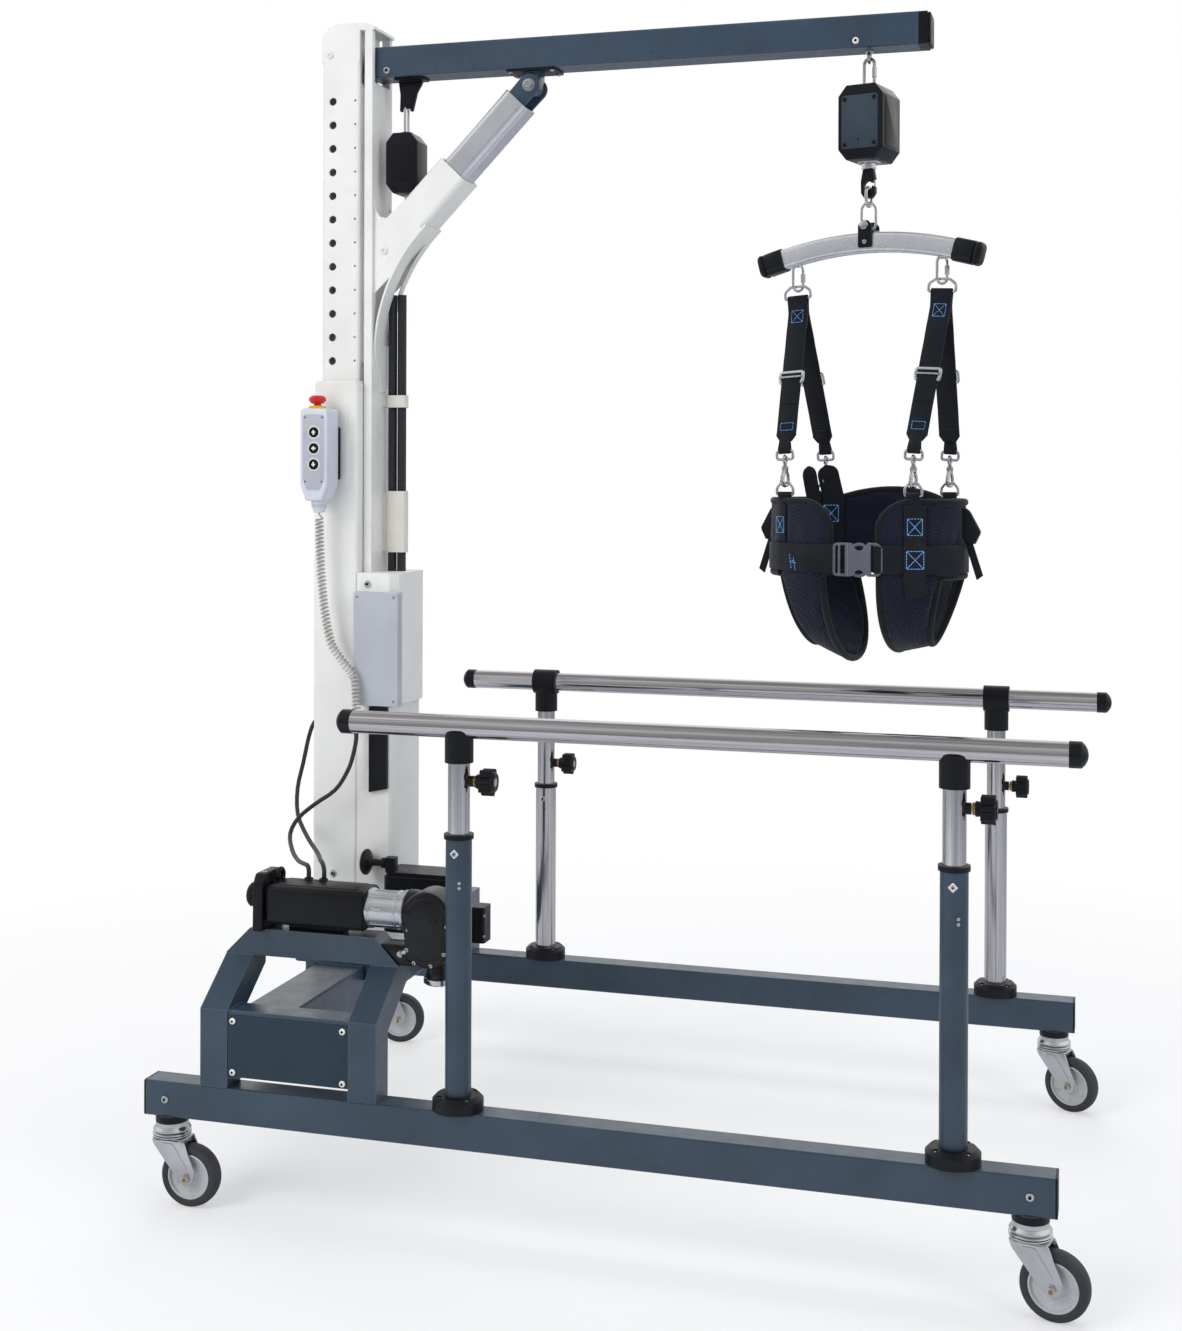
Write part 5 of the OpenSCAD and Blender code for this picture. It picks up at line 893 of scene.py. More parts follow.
def drive_knobs():
    """The ribbed hand knob of the drive and the brake knob."""
    knob = Piece("drive_hand_knob_grip", "drive_grip", "moulded_black")
    place = at(CLAMP_X - TURN_GAP, DRIVE_Y, DRIVE_Z + 8, ry=-90)
    knob.turned([(0, 0), (12, 0), (12, 7), (16, 8.2)], 1, place, BLACK, 36)
    ribs = [((20.2 + 0.8 * cos(30 * a)) * cos(a), (20.2 + 0.8 * cos(30 * a)) * sin(a))
            for a in np.linspace(0, 2 * pi, 180, endpoint=False)]
    knob.prism(ribs, 13, place @ at(0, 0, 8), BLACK, 1.0)
    knob.turned([(19, 20.6), (19.4, 21.4), (17, 24), (12, 24), (11, 23), (0, 23)], 0.8, place, BLACK, 40)
    knob.finish("drive_hand_knob")

    brake = Piece("brake_knob_grip", "brake_grip", "moulded_black")
    place = at(FRONT_X + 2 - TURN_GAP, -98, 521, ry=-90)
    brake.turned([(0, 0), (10, 0), (10, 8), (6.6, 9.5), (6.6, 27), (11, 30.5), (22, 36), (24, 38.5),
                  (24, 42), (21, 45.4), (13, 47), (8, 45.6), (0, 45.6)],
                 [0, 1, 2, 1, 3, 3, 2, 1, 2, 2, 2, 2, 0], place, BLACK, 48)
    brake.finish("brake_knob")


drive_housing()
drive_motor()
drive_gearbox()
drive_knobs()


def relay_details():
    relay = Piece("relay_fixings", "base", "zinc_steel")
    for x in (FRONT_X + 12, FRONT_X + 134):
        for z in (408, 489):
            relay.screw(5.5, at(x, -110, z, 90), BLACK)
    relay.lathe(ball(3.6, 8), at(FRONT_X + 146, -100, 470), BRASS, 14)
    for z in (392, 430):
        relay.screw(5, at(FRONT_X + 186, -72, z, 90), ZINC)
    relay.finish()
    box = Piece("control_box_fixings", "base", "zinc_steel")
    for x, z in ((-573, 840), (-497, 822), (-497, 1016), (-571, 1016)):
        box.screw(5.5, at(x, -94, z, 90), ZINC)
    box.finish()


relay_details()


# Hand control

PENDANT_X, PENDANT_FACE, PENDANT_D = -641, 137, 52
# Each key's body, its height and the turn of its arrow: up, out to both sides, down
KEYS = (("raise_key", 1324, 0), ("hold_key", 1294, 90), ("lower_key", 1264, 180))


def pendant():
    """The hand control's shell with its stop collar and rings, and the arrows on the keys."""
    case = Piece("pendant_case", "base", "grey_plastic")
    half = 28
    centre = at(PENDANT_X, -PENDANT_FACE + PENDANT_D / 2, 0)
    body = rounded([(-half, 1226), (-half, 1369), (half, 1369), (half, 1226), (half - 11, 1196),
                    (-half + 11, 1196)], [14, 9, 9, 14, 7, 7], n=6)
    case.prism(body, PENDANT_D, at(PENDANT_X, -PENDANT_FACE + PENDANT_D, 0, 90), PALE, 5, 4)
    inset = rounded([(-half + 6, 1238), (-half + 6, 1358), (half - 6, 1358), (half - 6, 1238),
                     (half - 14, 1216), (-half + 14, 1216)], 6, True, 5)
    case.prism(inset, 1.0, at(PENDANT_X, -PENDANT_FACE + 0.75, 0, 90), GREY, 0.24)
    case.turned([(15, 1197), (15, 1190), (13.4, 1188), (13.4, 1182), (11, 1177), (10, 1174), (0, 1174)], 1.2,
                centre, PALE, 36)
    for k in range(5):
        case.lathe([(14.2, 1195.4 - k * 2.4), (15.4, 1194.6 - k * 2.4), (14.2, 1193.8 - k * 2.4)], centre,
                   PALE, 36)
    case.turned([(17.5, 1368.6), (17.5, 1371), (14.6, 1374), (7.3, 1374)], 1, centre @ at(-4, 0, 0), YELLOW,
                36)
    for _, z, _ in KEYS:
        case.lathe([(12.4, 0), (12.4, 0.8), (11.6, 1.6), (9.9, 1.6), (9.9, -1)],
                   at(PENDANT_X + 1, -PENDANT_FACE, z, 90), WHITE, 36)
    for z in (1232, 1352):
        for s in (-1, 1):
            case.lathe([(2.6, 0.2), (2.2, 0.8), (0, 0.8)], at(PENDANT_X + s * 17, -PENDANT_FACE, z, 90),
                       ZINC, 16)
    case.prism(rect(60, 100, 5), 5, at(PENDANT_X, -PENDANT_FACE + PENDANT_D + 4.4, 1285, 90), BLACK, 1.2)
    case.finish("pendant_shell")

    arrow = [(0, 5), (5.2, -1), (2, -1), (2, -5), (-2, -5), (-2, -1), (-5.2, -1)]
    for body_name, z, turn in KEYS:
        mark = Piece(f"{body_name}_mark", body_name, "grey_plastic")
        mark.prism([(x * 0.92, y * 0.92) for x, y in arrow], 0.35,
                   at(PENDANT_X + 1, -PENDANT_FACE - 3.0, z, 90) @ Matrix.Rotation(radians(turn), 4, "Z"),
                   WHITE)
        mark.finish()


pendant()


# Boom, brace and boxes

def boom_hardware():
    """End cap, hanging arm, pivot lug, eye ring and screws."""
    boom = Piece("boom_hardware", "boom_arm", "moulded_black")
    cap = at(BOOM_END - 22, 0, BOOM_TOP - 29, 90, 0, 90)
    boom.prism(rect(64, 58, 6, 5), 16, cap, BLACK, 1.2)
    boom.prism(rect(61, 55, 8, 5), 6.0, cap @ at(0, 0, 15.8), BLACK, 3.0, 3)
    boom.prism(rect(96, 60, 4), 4, at(PIVOT_X + 4, 0, BOOM_BOTTOM - 4), BLACK, 0.8)
    for x in (-36, 44):
        for y in (-22, 22):
            boom.screw(9, at(PIVOT_X + x, y, BOOM_BOTTOM - 4, 180), ZINC)
    boom.prism(rect(60, 36, 4), 4, at(BALANCE_X + 10, 0, BOOM_BOTTOM - 4), BLACK, 0.8)
    arm = rounded([(BALANCE_X - 16, BOOM_BOTTOM - 3), (BALANCE_X + 36, BOOM_BOTTOM - 3),
                   (BALANCE_X + 22, BOOM_BOTTOM - 26), (BALANCE_X + 13, ARM_FOOT - 4),
                   (BALANCE_X + 8, ARM_FOOT - 4), (BALANCE_X + 8, ARM_FOOT + 2),
                   (BALANCE_X - 8, ARM_FOOT + 2), (BALANCE_X - 8, ARM_FOOT - 4),
                   (BALANCE_X - 13, ARM_FOOT - 4), (BALANCE_X - 12, BOOM_BOTTOM - 30)],
                  [2, 6, 16, 5, 2, 4, 4, 2, 5, 10], n=4)
    boom.prism(arm, 8, at(0, 4, 0, 90), BLACK, 1.0)
    lug = [(-17, 27), (17, 27)] + arc(17, 0, -pi, 20)
    boom.prism(lug, 39, at(PIVOT_X, 19.5, PIVOT_Z, 90), BOOM_PAINT, 1.2)
    boom.tube([(LOAD_X, y, z) for y, z in arc(9, 0, 2 * pi, 28, 0, EYE_Z, True)], 3, IDENTITY, ZINC, True)
    boom.turned([(8, -0.2), (8, -3), (5, -5), (4, -8)], 1, at(LOAD_X, 0, BOOM_BOTTOM), ZINC, 24)
    for x, d in ((-540, 14), (LOAD_X - 20, 12)):
        for s in (-1, 1):
            boom.screw(d, at(x, s * 32, BOOM_BOTTOM + 12, -90 * s), WHITE if d == 12 else ZINC)
    boom.finish("boom_fittings")


def brace_clevis():
    """Two plates, their bridge and the pin at the brace's upper end."""
    clevis = Piece("brace_clevis_plates", "lift_mast", "frame_paint")
    run = (PIVOT_X - BRACE_X) / cos(radians(BRACE_TILT))
    foot_z = PIVOT_Z - (PIVOT_X - BRACE_X) * tan(radians(BRACE_TILT))
    on_slope = at(BRACE_X, 0, foot_z, 0, -BRACE_TILT, 0)
    reach = 34 + 60
    outline = [(run - reach, -19), (run - reach, 19)] + arc(21, pi / 2, -pi / 2, 22, run)
    outline = rounded(outline, [5, 5] + [0] * 22)
    for s in (-1, 1):
        clevis.prism(outline, 6, on_slope @ at(0, s * 23 + 3, 0, 90), BOOM_PAINT, 1.1)
    clevis.prism(rect(14, 20), 59.4, on_slope @ at(run - 61, 29.7, 0, 90), BOOM_PAINT, 0.8)
    clevis.lathe([(0, -26), (7, -26), (7, 26), (0, 26)], at(PIVOT_X, 0, PIVOT_Z, 90), ZINC, 28)
    for s in (-1, 1):
        place = at(PIVOT_X, s * 26, PIVOT_Z, -90 * s)
        clevis.turned([(12, 0), (12, 1.8), (7, 1.8)], 0.6, place, ZINC, 32)
        clevis.prism(circle(10.2, 6), 6.0, place @ at(0, 0, 1.6), ZINC, 1.0)
        clevis.lathe([(5.6, 7), (5.6, 8.6), (4.6, 9.4), (0, 9.4)], place, ZINC, 24)
    clevis.finish("brace_clevis")


boom_hardware()
brace_clevis()


def case_outline(w, h, cut):
    return rounded([(-w / 2, cut), (-w / 2 + cut * 0.8, 0), (w / 2 - cut * 0.8, 0), (w / 2, cut),
                    (w / 2, h - cut), (w / 2 - cut * 0.8, h), (-w / 2 + cut * 0.8, h), (-w / 2, h - cut)], 3,
                   True, 3)


def oval(h, w, wire, steps=10):
    """Points round an upright oval link, centred."""
    r, run = (w - wire) / 2, (h - w) / 2
    top = arc(r, 0, pi, steps, 0, run)
    return top + [(-x, -z) for x, z in top]


def link(piece, h, w, wire, place, finish=None):
    piece.tube(upright(oval(h, w, wire)), wire / 2, place, finish or ZINC, True)


def load_box():
    """The case above the spreader bar, with its panels and the link to the boom."""
    load = Piece("load_case", "load_unit", "gloss_black")
    h, w = 132, BOX_W
    load.prism(case_outline(w, h, 19), w, LOAD @ at(0, w / 2, BOX_BOTTOM, 90), GLOSS, 4.5, 4)
    load.prism(rect(w - 16, h - 38, 6), 3, LOAD @ at(0, -w / 2 + 0.2, BOX_BOTTOM + h / 2, 90), PLATE, 1.0, 3)
    load.prism(rect(w - 24, h - 48, 5), 1.6, LOAD @ at(0, w / 2 + 1.4, BOX_BOTTOM + h / 2, 90), PLATE, 0.8)
    for s in (-1, 1):
        cheek = LOAD @ at(s * (w / 2 + 1.2), 0, BOX_BOTTOM + h / 2, 90, 0, 90)
        load.prism(rect(w - 26, h - 44, 6), 1.4, cheek @ at(0, 0, -1.4 if s > 0 else 0), GLOSS, 0.7)
    for x in (-28, 28):
        for z in (-40, 40):
            load.screw(8, LOAD @ at(x, -w / 2 - 2.8, BOX_BOTTOM + h / 2 + z, 90), BLACK)
    load.lathe([(2.2, 0), (1.8, 0.8), (0, 0.8)], LOAD @ at(-2, -w / 2 - 2.8, BOX_BOTTOM + 34, 90), BLACK, 16)
    load.turned([(17, -1), (17, 3), (15, 5), (9, 6), (0, 6)], 1.5, LOAD @ at(0, 0, BOX_TOP), BLACK, 36)
    load.turned([(21, 1.5), (21, -2), (15, -2.5)], 0.8, LOAD @ at(0, 0, BOX_BOTTOM), ZINC, 36)
    top, low = 1990.3, BOX_TOP - 4
    link(load, top - low, 25, 6, LOAD @ at(0, 0, (top + low) / 2))
    load.turned([(4.6, -9), (4.6, 9)], 0, LOAD @ at(9.5, 0, (top + low) / 2 + 2), ZINC, 6)
    load.finish("load_box")


def balance_box():
    """The small case that hangs from the boom's arm, with its link and threaded rod."""
    balance = Piece("balance_case", "balance_unit", "gloss_black")
    bottom, top = 1781, 1896
    balance.prism(case_outline(64, top - bottom, 18), 56, at(BALANCE_X, 28, bottom, 90), GLOSS, 4.0, 4)
    balance.prism(rect(46, 78, 5), 1.6, at(BALANCE_X, -26.6, (bottom + top) / 2, 90), BLACK, 0.8)
    for x in (-17, 17):
        for z in (-32, 32):
            balance.screw(6, at(BALANCE_X + x, -28.2, (bottom + top) / 2 + z, 90), BLACK)
    link_top = ARM_FOOT + 2 + TURN_GAP + 2.5 + 1.2
    h = link_top + 2.5 - top + 8
    link(balance, h, 22, 5, at(BALANCE_X, 0, link_top + 2.5 - h / 2, rz=90))
    balance.lathe([(0, -40), (3.4, -40), (4, -39), (4, 4)], at(BALANCE_X, 0, bottom), ZINC, 20)
    for k in range(12):
        balance.lathe([(4, -38.5 + k * 2.4), (4.35, -37.9 + k * 2.4), (4, -37.3 + k * 2.4)],
                      at(BALANCE_X, 0, bottom), ZINC, 20)
    balance.turned([(13, -1), (13, 2.4), (11, 4), (0, 4)], 1, at(BALANCE_X, 0, top), BLACK, 28)
    balance.finish("balance_box")


load_box()
balance_box()


# Spreader bar, its quick links and the load hook

BAR_Z, SPREADER_H = 1661, 36
HALF_BAR, DROP = 162, 21
ARCH_R = (HALF_BAR ** 2 + DROP ** 2) / (2 * DROP)
ARCH = asin(HALF_BAR / ARCH_R)
EYE_U, RING_U, RING_V = 137, 121, 88
LINK_TOP = BAR_Z - ARCH_R * (1 - cos(asin(EYE_U / ARCH_R))) - SPREADER_H / 2
QUICK_H = 52
QUICK_FOOT = LINK_TOP + 3 - QUICK_H


def spreader_bar():
    """The arched bar with its end covers and the two quick links."""
    spreader = Piece("spreader_arch", "spreader", "motor_aluminium")
    angles = np.linspace(-ARCH, ARCH, 49)
    path = [(ARCH_R * sin(a), 0, BAR_Z - ARCH_R + ARCH_R * cos(a)) for a in angles]
    wide = [(sin(a), 0, cos(a)) for a in angles]
    spreader.sweep(path, rect(SPREADER_H, 30, 8, 5), LOAD, BAR, wide=wide, sharp=60)
    for s in (-1, 1):
        tip = LOAD @ at(0, 0, BAR_Z - ARCH_R) @ Matrix.Rotation(s * ARCH, 4, "Y") @ at(0, 0, ARCH_R,
                ry=90 * s)
        place = tip @ Matrix.Rotation(radians(90), 4, "Z")
        spreader.prism(rect(38, SPREADER_H + 6, 15, 7), 36, place, GLOSS, 1.4)
        spreader.prism(rect(38, SPREADER_H + 6, 15, 7), 14.0, place @ at(0, 0, 35.8), GLOSS, 12.4, 6)
        spreader.turned([(6, -3), (6, 3), (4, 5)], 1, LOAD @ at(s * EYE_U, 0, LINK_TOP), ZINC, 20)
        link(spreader, QUICK_H, 24, 5, LOAD @ at(s * EYE_U, 0, QUICK_FOOT + QUICK_H / 2, rz=45))
        spreader.lathe([(2.6, -8), (4.6, -7.4), (4.6, 7.4), (2.6, 8)],
                       LOAD @ at(s * EYE_U, 0, QUICK_FOOT + QUICK_H / 2, rz=45) @ at(9.5, 0, 0), ZINC, 6)
    spreader.finish("spreader_bar")


def load_hook():
    """Hook, links and bracket between the load box and the bar."""
    hook = Piece("load_hook_set", "spreader", "moulded_black")
    foot, top = BOX_BOTTOM - 64, BAR_Z + SPREADER_H / 2
    hook.turned([(13, -0.3), (13, -12), (9, -14)], 1.5, LOAD @ at(0, 0, BOX_BOTTOM), ZINC, 32)
    hook.lathe([(0, 22), (8, 22), (8, -6)], LOAD @ at(0, 0, BOX_BOTTOM), ZINC, 24)
    outer = [(-9, BOX_BOTTOM - 10), (9, BOX_BOTTOM - 10), (13, foot + 33), (8, foot + 30),
             (8 * cos(0.6), foot + 22 + 8 * sin(0.6))]
    outer += arc(8, 0.9, 2 * pi, 22, 0, foot + 22)
    outer += [(13, foot + 20), (13, foot + 9), (7, foot), (-7, foot), (-13, foot + 9), (-13.5, foot + 30)]
    hook.prism(rounded(outer, [3, 3, 2, 1, 0] + [0] * 22 + [2, 5, 4, 4, 5, 6], True, 4), 12,
               LOAD @ at(0, 6, 0, 90), BLACK, 1.6, 3)
    hook.tube([(10, 0, foot + 34), (11.5, 0, foot + 27), (11.5, 0, foot + 21)], 1.6, LOAD, ZINC)
    hook.lathe([(3.6, -7.4), (3.6, 7.4)], LOAD @ at(-3, 0, foot + 44, 90), ZINC, 20)
    shackle_top = foot + 22.6
    link(hook, 40, 30, 6, LOAD @ at(0, 0, shackle_top - 20, rz=90))
    delta_top, delta_foot = shackle_top - 28.3, top + 0.7
    link(hook, delta_top - delta_foot, 30, 5, LOAD @ at(0, 0, (delta_top + delta_foot) / 2, rz=20))
    bolt_z = top + 11
    for s in (-1, 1):
        outline = rounded([(-13, BAR_Z - 10), (13, BAR_Z - 10), (13, bolt_z), (6, bolt_z + 9),
                           (-6, bolt_z + 9), (-13, bolt_z)], [4, 4, 4, 5, 5, 4])
        hook.prism(outline, 4, LOAD @ at(0, s * 17.3 + 2, 0, 90), BLACK, 0.9)
        hook.prism(rect(8, 34, 1), 4, LOAD @ at(s * 9, 0, top + 0.3), BLACK, 0.6)
        hook.screw(8, LOAD @ at(0, s * 19.3, BAR_Z, -90 * s), ZINC)
        hook.prism(circle(8.5, 6), 6, LOAD @ at(0, s * 19.3, bolt_z, -90 * s), ZINC, 0.9)
    hook.lathe([(5, -23), (5, 23)], LOAD @ at(0, 0, bolt_z, 90), ZINC, 24)
    hook.finish("load_hook")


spreader_bar()
load_hook()


# Straps between the bar and the harness

DRING_WIRE, DRING_H = 5, 26
DRING_TOP = QUICK_FOOT + 5 + DRING_WIRE + 2.6
STRAP_TOP = DRING_TOP - DRING_H + DRING_WIRE / 2
STRAP_RUN = STRAP_TOP - 1290
STRAP_LEAN = asin((EYE_U - RING_U) / STRAP_RUN)
BEND, START = 26, 3
STRAP_OPEN = degrees(atan((RING_V - START) / (STRAP_RUN - BEND)))
SLIDER_S = STRAP_TOP - 1422
TAB_LEN = 30
RING_H, WRAP_RING_H, RING_W = 20, 26, 36
HOOK_S = STRAP_RUN + RING_H - DRING_WIRE
HOOK_U = EYE_U - HOOK_S * sin(STRAP_LEAN)
HOOK_TOP = STRAP_TOP - HOOK_S * cos(STRAP_LEAN) + DRING_WIRE / 2 + 5.5
HOOK_FOOT = 1226
LOOP_Z = HOOK_FOOT + 5.5 - WRAP_RING_H + 1.5 * DRING_WIRE


def strap_v(s):
    return START + (RING_V - START) * (s - BEND) / (STRAP_RUN - BEND)


def along(side, depth):
    """The place of one strap, from the bar of the ring above. depth is 1 to the rear, -1 to the front."""
    turn = Matrix.Rotation(side * STRAP_LEAN, 4, "Y")
    flip = Matrix.Diagonal((1, -1 if depth < 0 else 1, 1, 1))
    return LOAD @ at(side * EYE_U, 0, STRAP_TOP) @ turn @ flip


def strap_section(w, t=3.0):
    return [(-w / 2, -t / 2 + 0.5), (-w / 2 + 0.5, -t / 2), (w / 2 - 0.5, -t / 2), (w / 2, -t / 2 + 0.5),
            (w / 2, t / 2 - 0.5), (w / 2 - 0.5, t / 2), (-w / 2 + 0.5, t / 2), (-w / 2, t / 2 - 0.5)]


def box_stitch(piece, place, w, top, foot, v_at, cross=True):
    """A sewn box with its cross, on the outer face of a strap. v_at gives the face at each distance down."""

    def point(x, s):
        return (x, v_at(s), -s)

    corners = [point(-w / 2, top), point(w / 2, top), point(w / 2, foot), point(-w / 2, foot),
               point(-w / 2, top)]
    piece.stitches(corners, place)
    if cross:
        piece.stitches([corners[0], corners[2]], place)
        piece.stitches([corners[1], corners[3]], place)


def strap_webbing(webbing, place):
    """One strap, from the ring above through its slider to the ring below."""
    face = 1.55
    end = STRAP_RUN - TAB_LEN
    # Webbing goes round the ring bar, comes down twice as thick and is sewn, then runs on alone
    path = [(0, strap_v(56) - 3.2, -56), (0, strap_v(40) - 3.2, -40), (0, START - 3.2, -BEND),
            (0, -2.6, -12), (0, -4.2, -3)]
    path += [(0, 4.4 * cos(radians(a)), 4.4 * sin(radians(a))) for a in (170, 140, 110, 80, 50, 20)]
    path += [(0, 4.6, -3), (0, 3.6, -12), (0, START, -BEND)]
    path += [(0, strap_v(s) + 0.35 * sin(s * 0.12), -s) for s in np.linspace(BEND + 14, SLIDER_S - 13, 12)]
    path += [(0, strap_v(SLIDER_S) + 0.6, -SLIDER_S)]
    path += [(0, strap_v(s) + 0.35 * sin(s * 0.1), -s) for s in np.linspace(SLIDER_S + 13, end, 9)]
    webbing.strap(path, 38, 2.6, place, (1, 0, 0))
    # The strap doubles back under its slider and ends in a loose tongue
    tongue = [(0, strap_v(s) + 2.9, -s) for s in np.linspace(SLIDER_S - 4, SLIDER_S + 46, 8)]
    webbing.strap(tongue, 36, 2.0, place, (1, 0, 0))
    box_stitch(webbing, place, 22, 22, 44, lambda s: strap_v(max(s, BEND)) + face)
    box_stitch(webbing, place, 24, end - 20, end - 7, lambda s: strap_v(s) + face, False)
    # Narrow tab with slanted shoulders, round the lower ring
    tab = [(0, strap_v(end - 12), -(end - 12)), (0, strap_v(end), -end), (0, RING_V - 1, -(STRAP_RUN - 14)),
           (0, RING_V + 4.2, -(STRAP_RUN - 4))]
    tab += [(0, RING_V + 4.3 * cos(radians(a)), -STRAP_RUN + 4.3 * sin(radians(a)))
            for a in (20, -10, -40, -70, -100, -130, -160, -190)]
    tab += [(0, RING_V - 4.4, -(STRAP_RUN - 5)), (0, RING_V - 3.6, -(STRAP_RUN - 16)),
            (0, strap_v(end) - 2.9, -end), (0, strap_v(end - 10) - 2.9, -(end - 10))]
    webbing.strap(tab, 22, 2.4, place, (1, 0, 0))
    shoulder = rounded([(-19, 0), (19, 0), (19, -4), (11.5, -15), (-11.5, -15), (-19, -4)], 1.5, True, 3)
    lean = place @ at(0, strap_v(end) + 1.8, -end, rx=STRAP_OPEN)
    webbing.prism([(x, z + 2) for x, z in shoulder], 3.6, lean @ at(0, 0, 0, 90), WEBBING, 0.6)


def strap_rings(steel, place):
    """The strap's lower ring and its slider."""
    steel.tube(upright(rect(RING_W - DRING_WIRE, RING_H - DRING_WIRE, 5, 5)), DRING_WIRE / 2,
               place @ at(0, RING_V, -STRAP_RUN - RING_H / 2 + DRING_WIRE / 2), ZINC, True)
    slide = place @ at(0, strap_v(SLIDER_S), -SLIDER_S, rx=STRAP_OPEN)
    steel.sweep(upright(rect(44, 20, 4, 5)), rect(3.8, 5.6, 1.4, 2), slide @ at(0, 1.0, 0), ZINC, True,
                wide=(0, 1, 0))
    steel.tube([(-20.5, 4.6, 0), (20.5, 4.6, 0)], 2.0, slide, ZINC)
    for x in (-20.5, 20.5):
        steel.lathe([(2.6, -2.2), (3.0, 0), (2.6, 2.2)], slide @ at(x, 2.6, 0, 90), ZINC, 12)


def snap_hook(steel, side, depth):
    """The hook below a strap, with its eye, swivel and sprung gate, and the ring on the wrap."""
    hook = LOAD @ at(side * HOOK_U, depth * RING_V, 0)
    foot = HOOK_FOOT
    bow = [(0, 3), (9.5, 4.6), (13.6, 11), (12.4, 20), (7, 28), (0, 31), (-7, 28), (-12.4, 20), (-13.6, 11),
           (-9.5, 4.6)]
    bow = [(x, 0, foot + z - 0.5) for x, z in rounded(bow, 2.5, True, 3)]
    turned = hook @ at(0, 0, 0, rz=90)
    steel.tube(bow, 2.9, turned, ZINC, True)
    steel.tube([(-12.0, 0, foot + 9), (-10.4, 0, foot + 17), (-6.0, 0, foot + 25)], 3.8, turned, ZINC)
    steel.lathe([(1.6, -5), (2.0, 0), (1.6, 5)], turned @ at(-13.2, 0, foot + 14, 0, 60), ZINC, 10)
    barrel = [(0, 28.5), (5.4, 29), (6, 31), (6, 36), (4.6, 37.5), (4.6, 39), (3, 40.5), (0, 41)]
    steel.lathe(barrel, turned @ at(0, 0, foot), ZINC, 24)
    eye = upright(arc(6.8, 0, 2 * pi, 20, 0, HOOK_TOP - 8.6, True))
    steel.tube(eye, 2.3, turned, ZINC, True)
    steel.lathe([(0, -3), (3, -2), (3, 3), (0, 3)], turned @ at(0, 0, HOOK_TOP - 17.5), ZINC, 14)
    # Ring on the wrap: straight below, bowed above
    bowed = rounded([(-15.5, 0), (15.5, 0), (15.5, 12), (8, 21), (-8, 21), (-15.5, 12)], [3, 3, 6, 7, 7, 6],
                    n=4)
    steel.tube([(x, 0, LOOP_Z + z) for x, z in bowed], DRING_WIRE / 2, hook, ZINC, True)


def straps():
    webbing = Piece("hanging_webbing", "harness", "webbing")
    steel = Piece("harness_steel", "harness", "zinc_steel")
    for side in (-1, 1):
        # Upper ring: the straight bar carries both straps, and the bow hangs in the quick link
        top = along(side, 1)
        d_shape = rounded([(-25, 0), (25, 0), (25, 13), (13, 21.5), (-13, 21.5), (-25, 13)],
                          [3, 3, 8, 8, 8, 8], n=4)
        steel.tube(upright(d_shape), DRING_WIRE / 2, top, ZINC, True)
        for depth in (-1, 1):
            strap_webbing(webbing, along(side, depth))
            strap_rings(steel, along(side, depth))
            snap_hook(steel, side, depth)
    webbing.finish("hanging_straps")
    steel.finish("strap_hardware")


straps()


# Harness

WRAP_A, WRAP_B = 175.0, 123.0
BELT_Z, BELT_W, WRAP_TOP = 1104, 48, 1204
WRAP_BOTTOM = BELT_Z - BELT_W / 2 - 8
GAP_RIGHT = degrees(acos((34 + 32) / WRAP_A))
GAP_LEFT = degrees(acos((34 - 32) / WRAP_A))
PAD_LEFT = GAP_LEFT + 6
SWEEP = 360 - (PAD_LEFT - GAP_RIGHT)
RING_ANGLE = degrees(atan2(RING_V / WRAP_B, RING_U / WRAP_A))


def on_wrap(a, out=0.0):
    a = radians(a)
    return ((WRAP_A + out) * cos(a), -(WRAP_B + out) * sin(a))


def wrap_edge(a):
    """Height of the wrap's top edge: a round corner at each side of the opening, and a rise at the rear."""
    p = np.array(on_wrap(a))
    end = min(np.linalg.norm(p - on_wrap(GAP_RIGHT)), np.linalg.norm(p - on_wrap(PAD_LEFT)))
    r = 58
    drop = r - sqrt(max(0.0, r * r - max(r - end - 1, 0) ** 2))
    return WRAP_TOP - drop + 20 * max(0.0, (-sin(radians(a)) - 0.8) / 0.2)


def skin(outer, inner):
    """A closed skin between two grids of points."""
    bm = bmesh.new()
    rows, cols = len(outer), len(outer[0])
    a, b = [[[bm.verts.new(tuple(np.array(p) * MM)) for p in row] for row in g] for g in (outer, inner)]
    for g in (a, b):
        for r in range(rows - 1):
            for c in range(cols - 1):
                bm.faces.new((g[r][c], g[r][c + 1], g[r + 1][c + 1], g[r + 1][c]))
    for c in range(cols - 1):
        for r in (0, -1):
            bm.faces.new((a[r][c], a[r][c + 1], b[r][c + 1], b[r][c]))
    for r in range(rows - 1):
        for c in (0, -1):
            bm.faces.new((a[r][c], a[r + 1][c], b[r + 1][c], b[r][c]))
    return bm


def shell(name, outer, inner, voxel=0.0045):
    """A skin with even small faces, ready to be swelled."""
    bm = skin(outer, inner)
    bmesh.ops.recalc_face_normals(bm, faces=bm.faces)
    bmesh.ops.transform(bm, matrix=LOAD, verts=bm.verts)
    mesh = bpy.data.meshes.new(name)
    bm.to_mesh(mesh)
    bm.free()
    made = new_object(name, mesh)
    remesh = made.modifiers.new("even", "REMESH")
    remesh.mode = "VOXEL"
    remesh.voxel_size = voxel
    apply_all(made)
    return made


def apply_all(obj):
    """The object's mesh as its modifiers leave it."""
    graph = bpy.context.evaluated_depsgraph_get()
    mesh = bpy.data.meshes.new_from_object(obj.evaluated_get(graph))
    obj.modifiers.clear()
    old, obj.data = obj.data, mesh
    bpy.data.meshes.remove(old)


def coords(obj):
    co = np.zeros(len(obj.data.vertices) * 3)
    obj.data.vertices.foreach_get("co", co)
    return co.reshape(-1, 3)


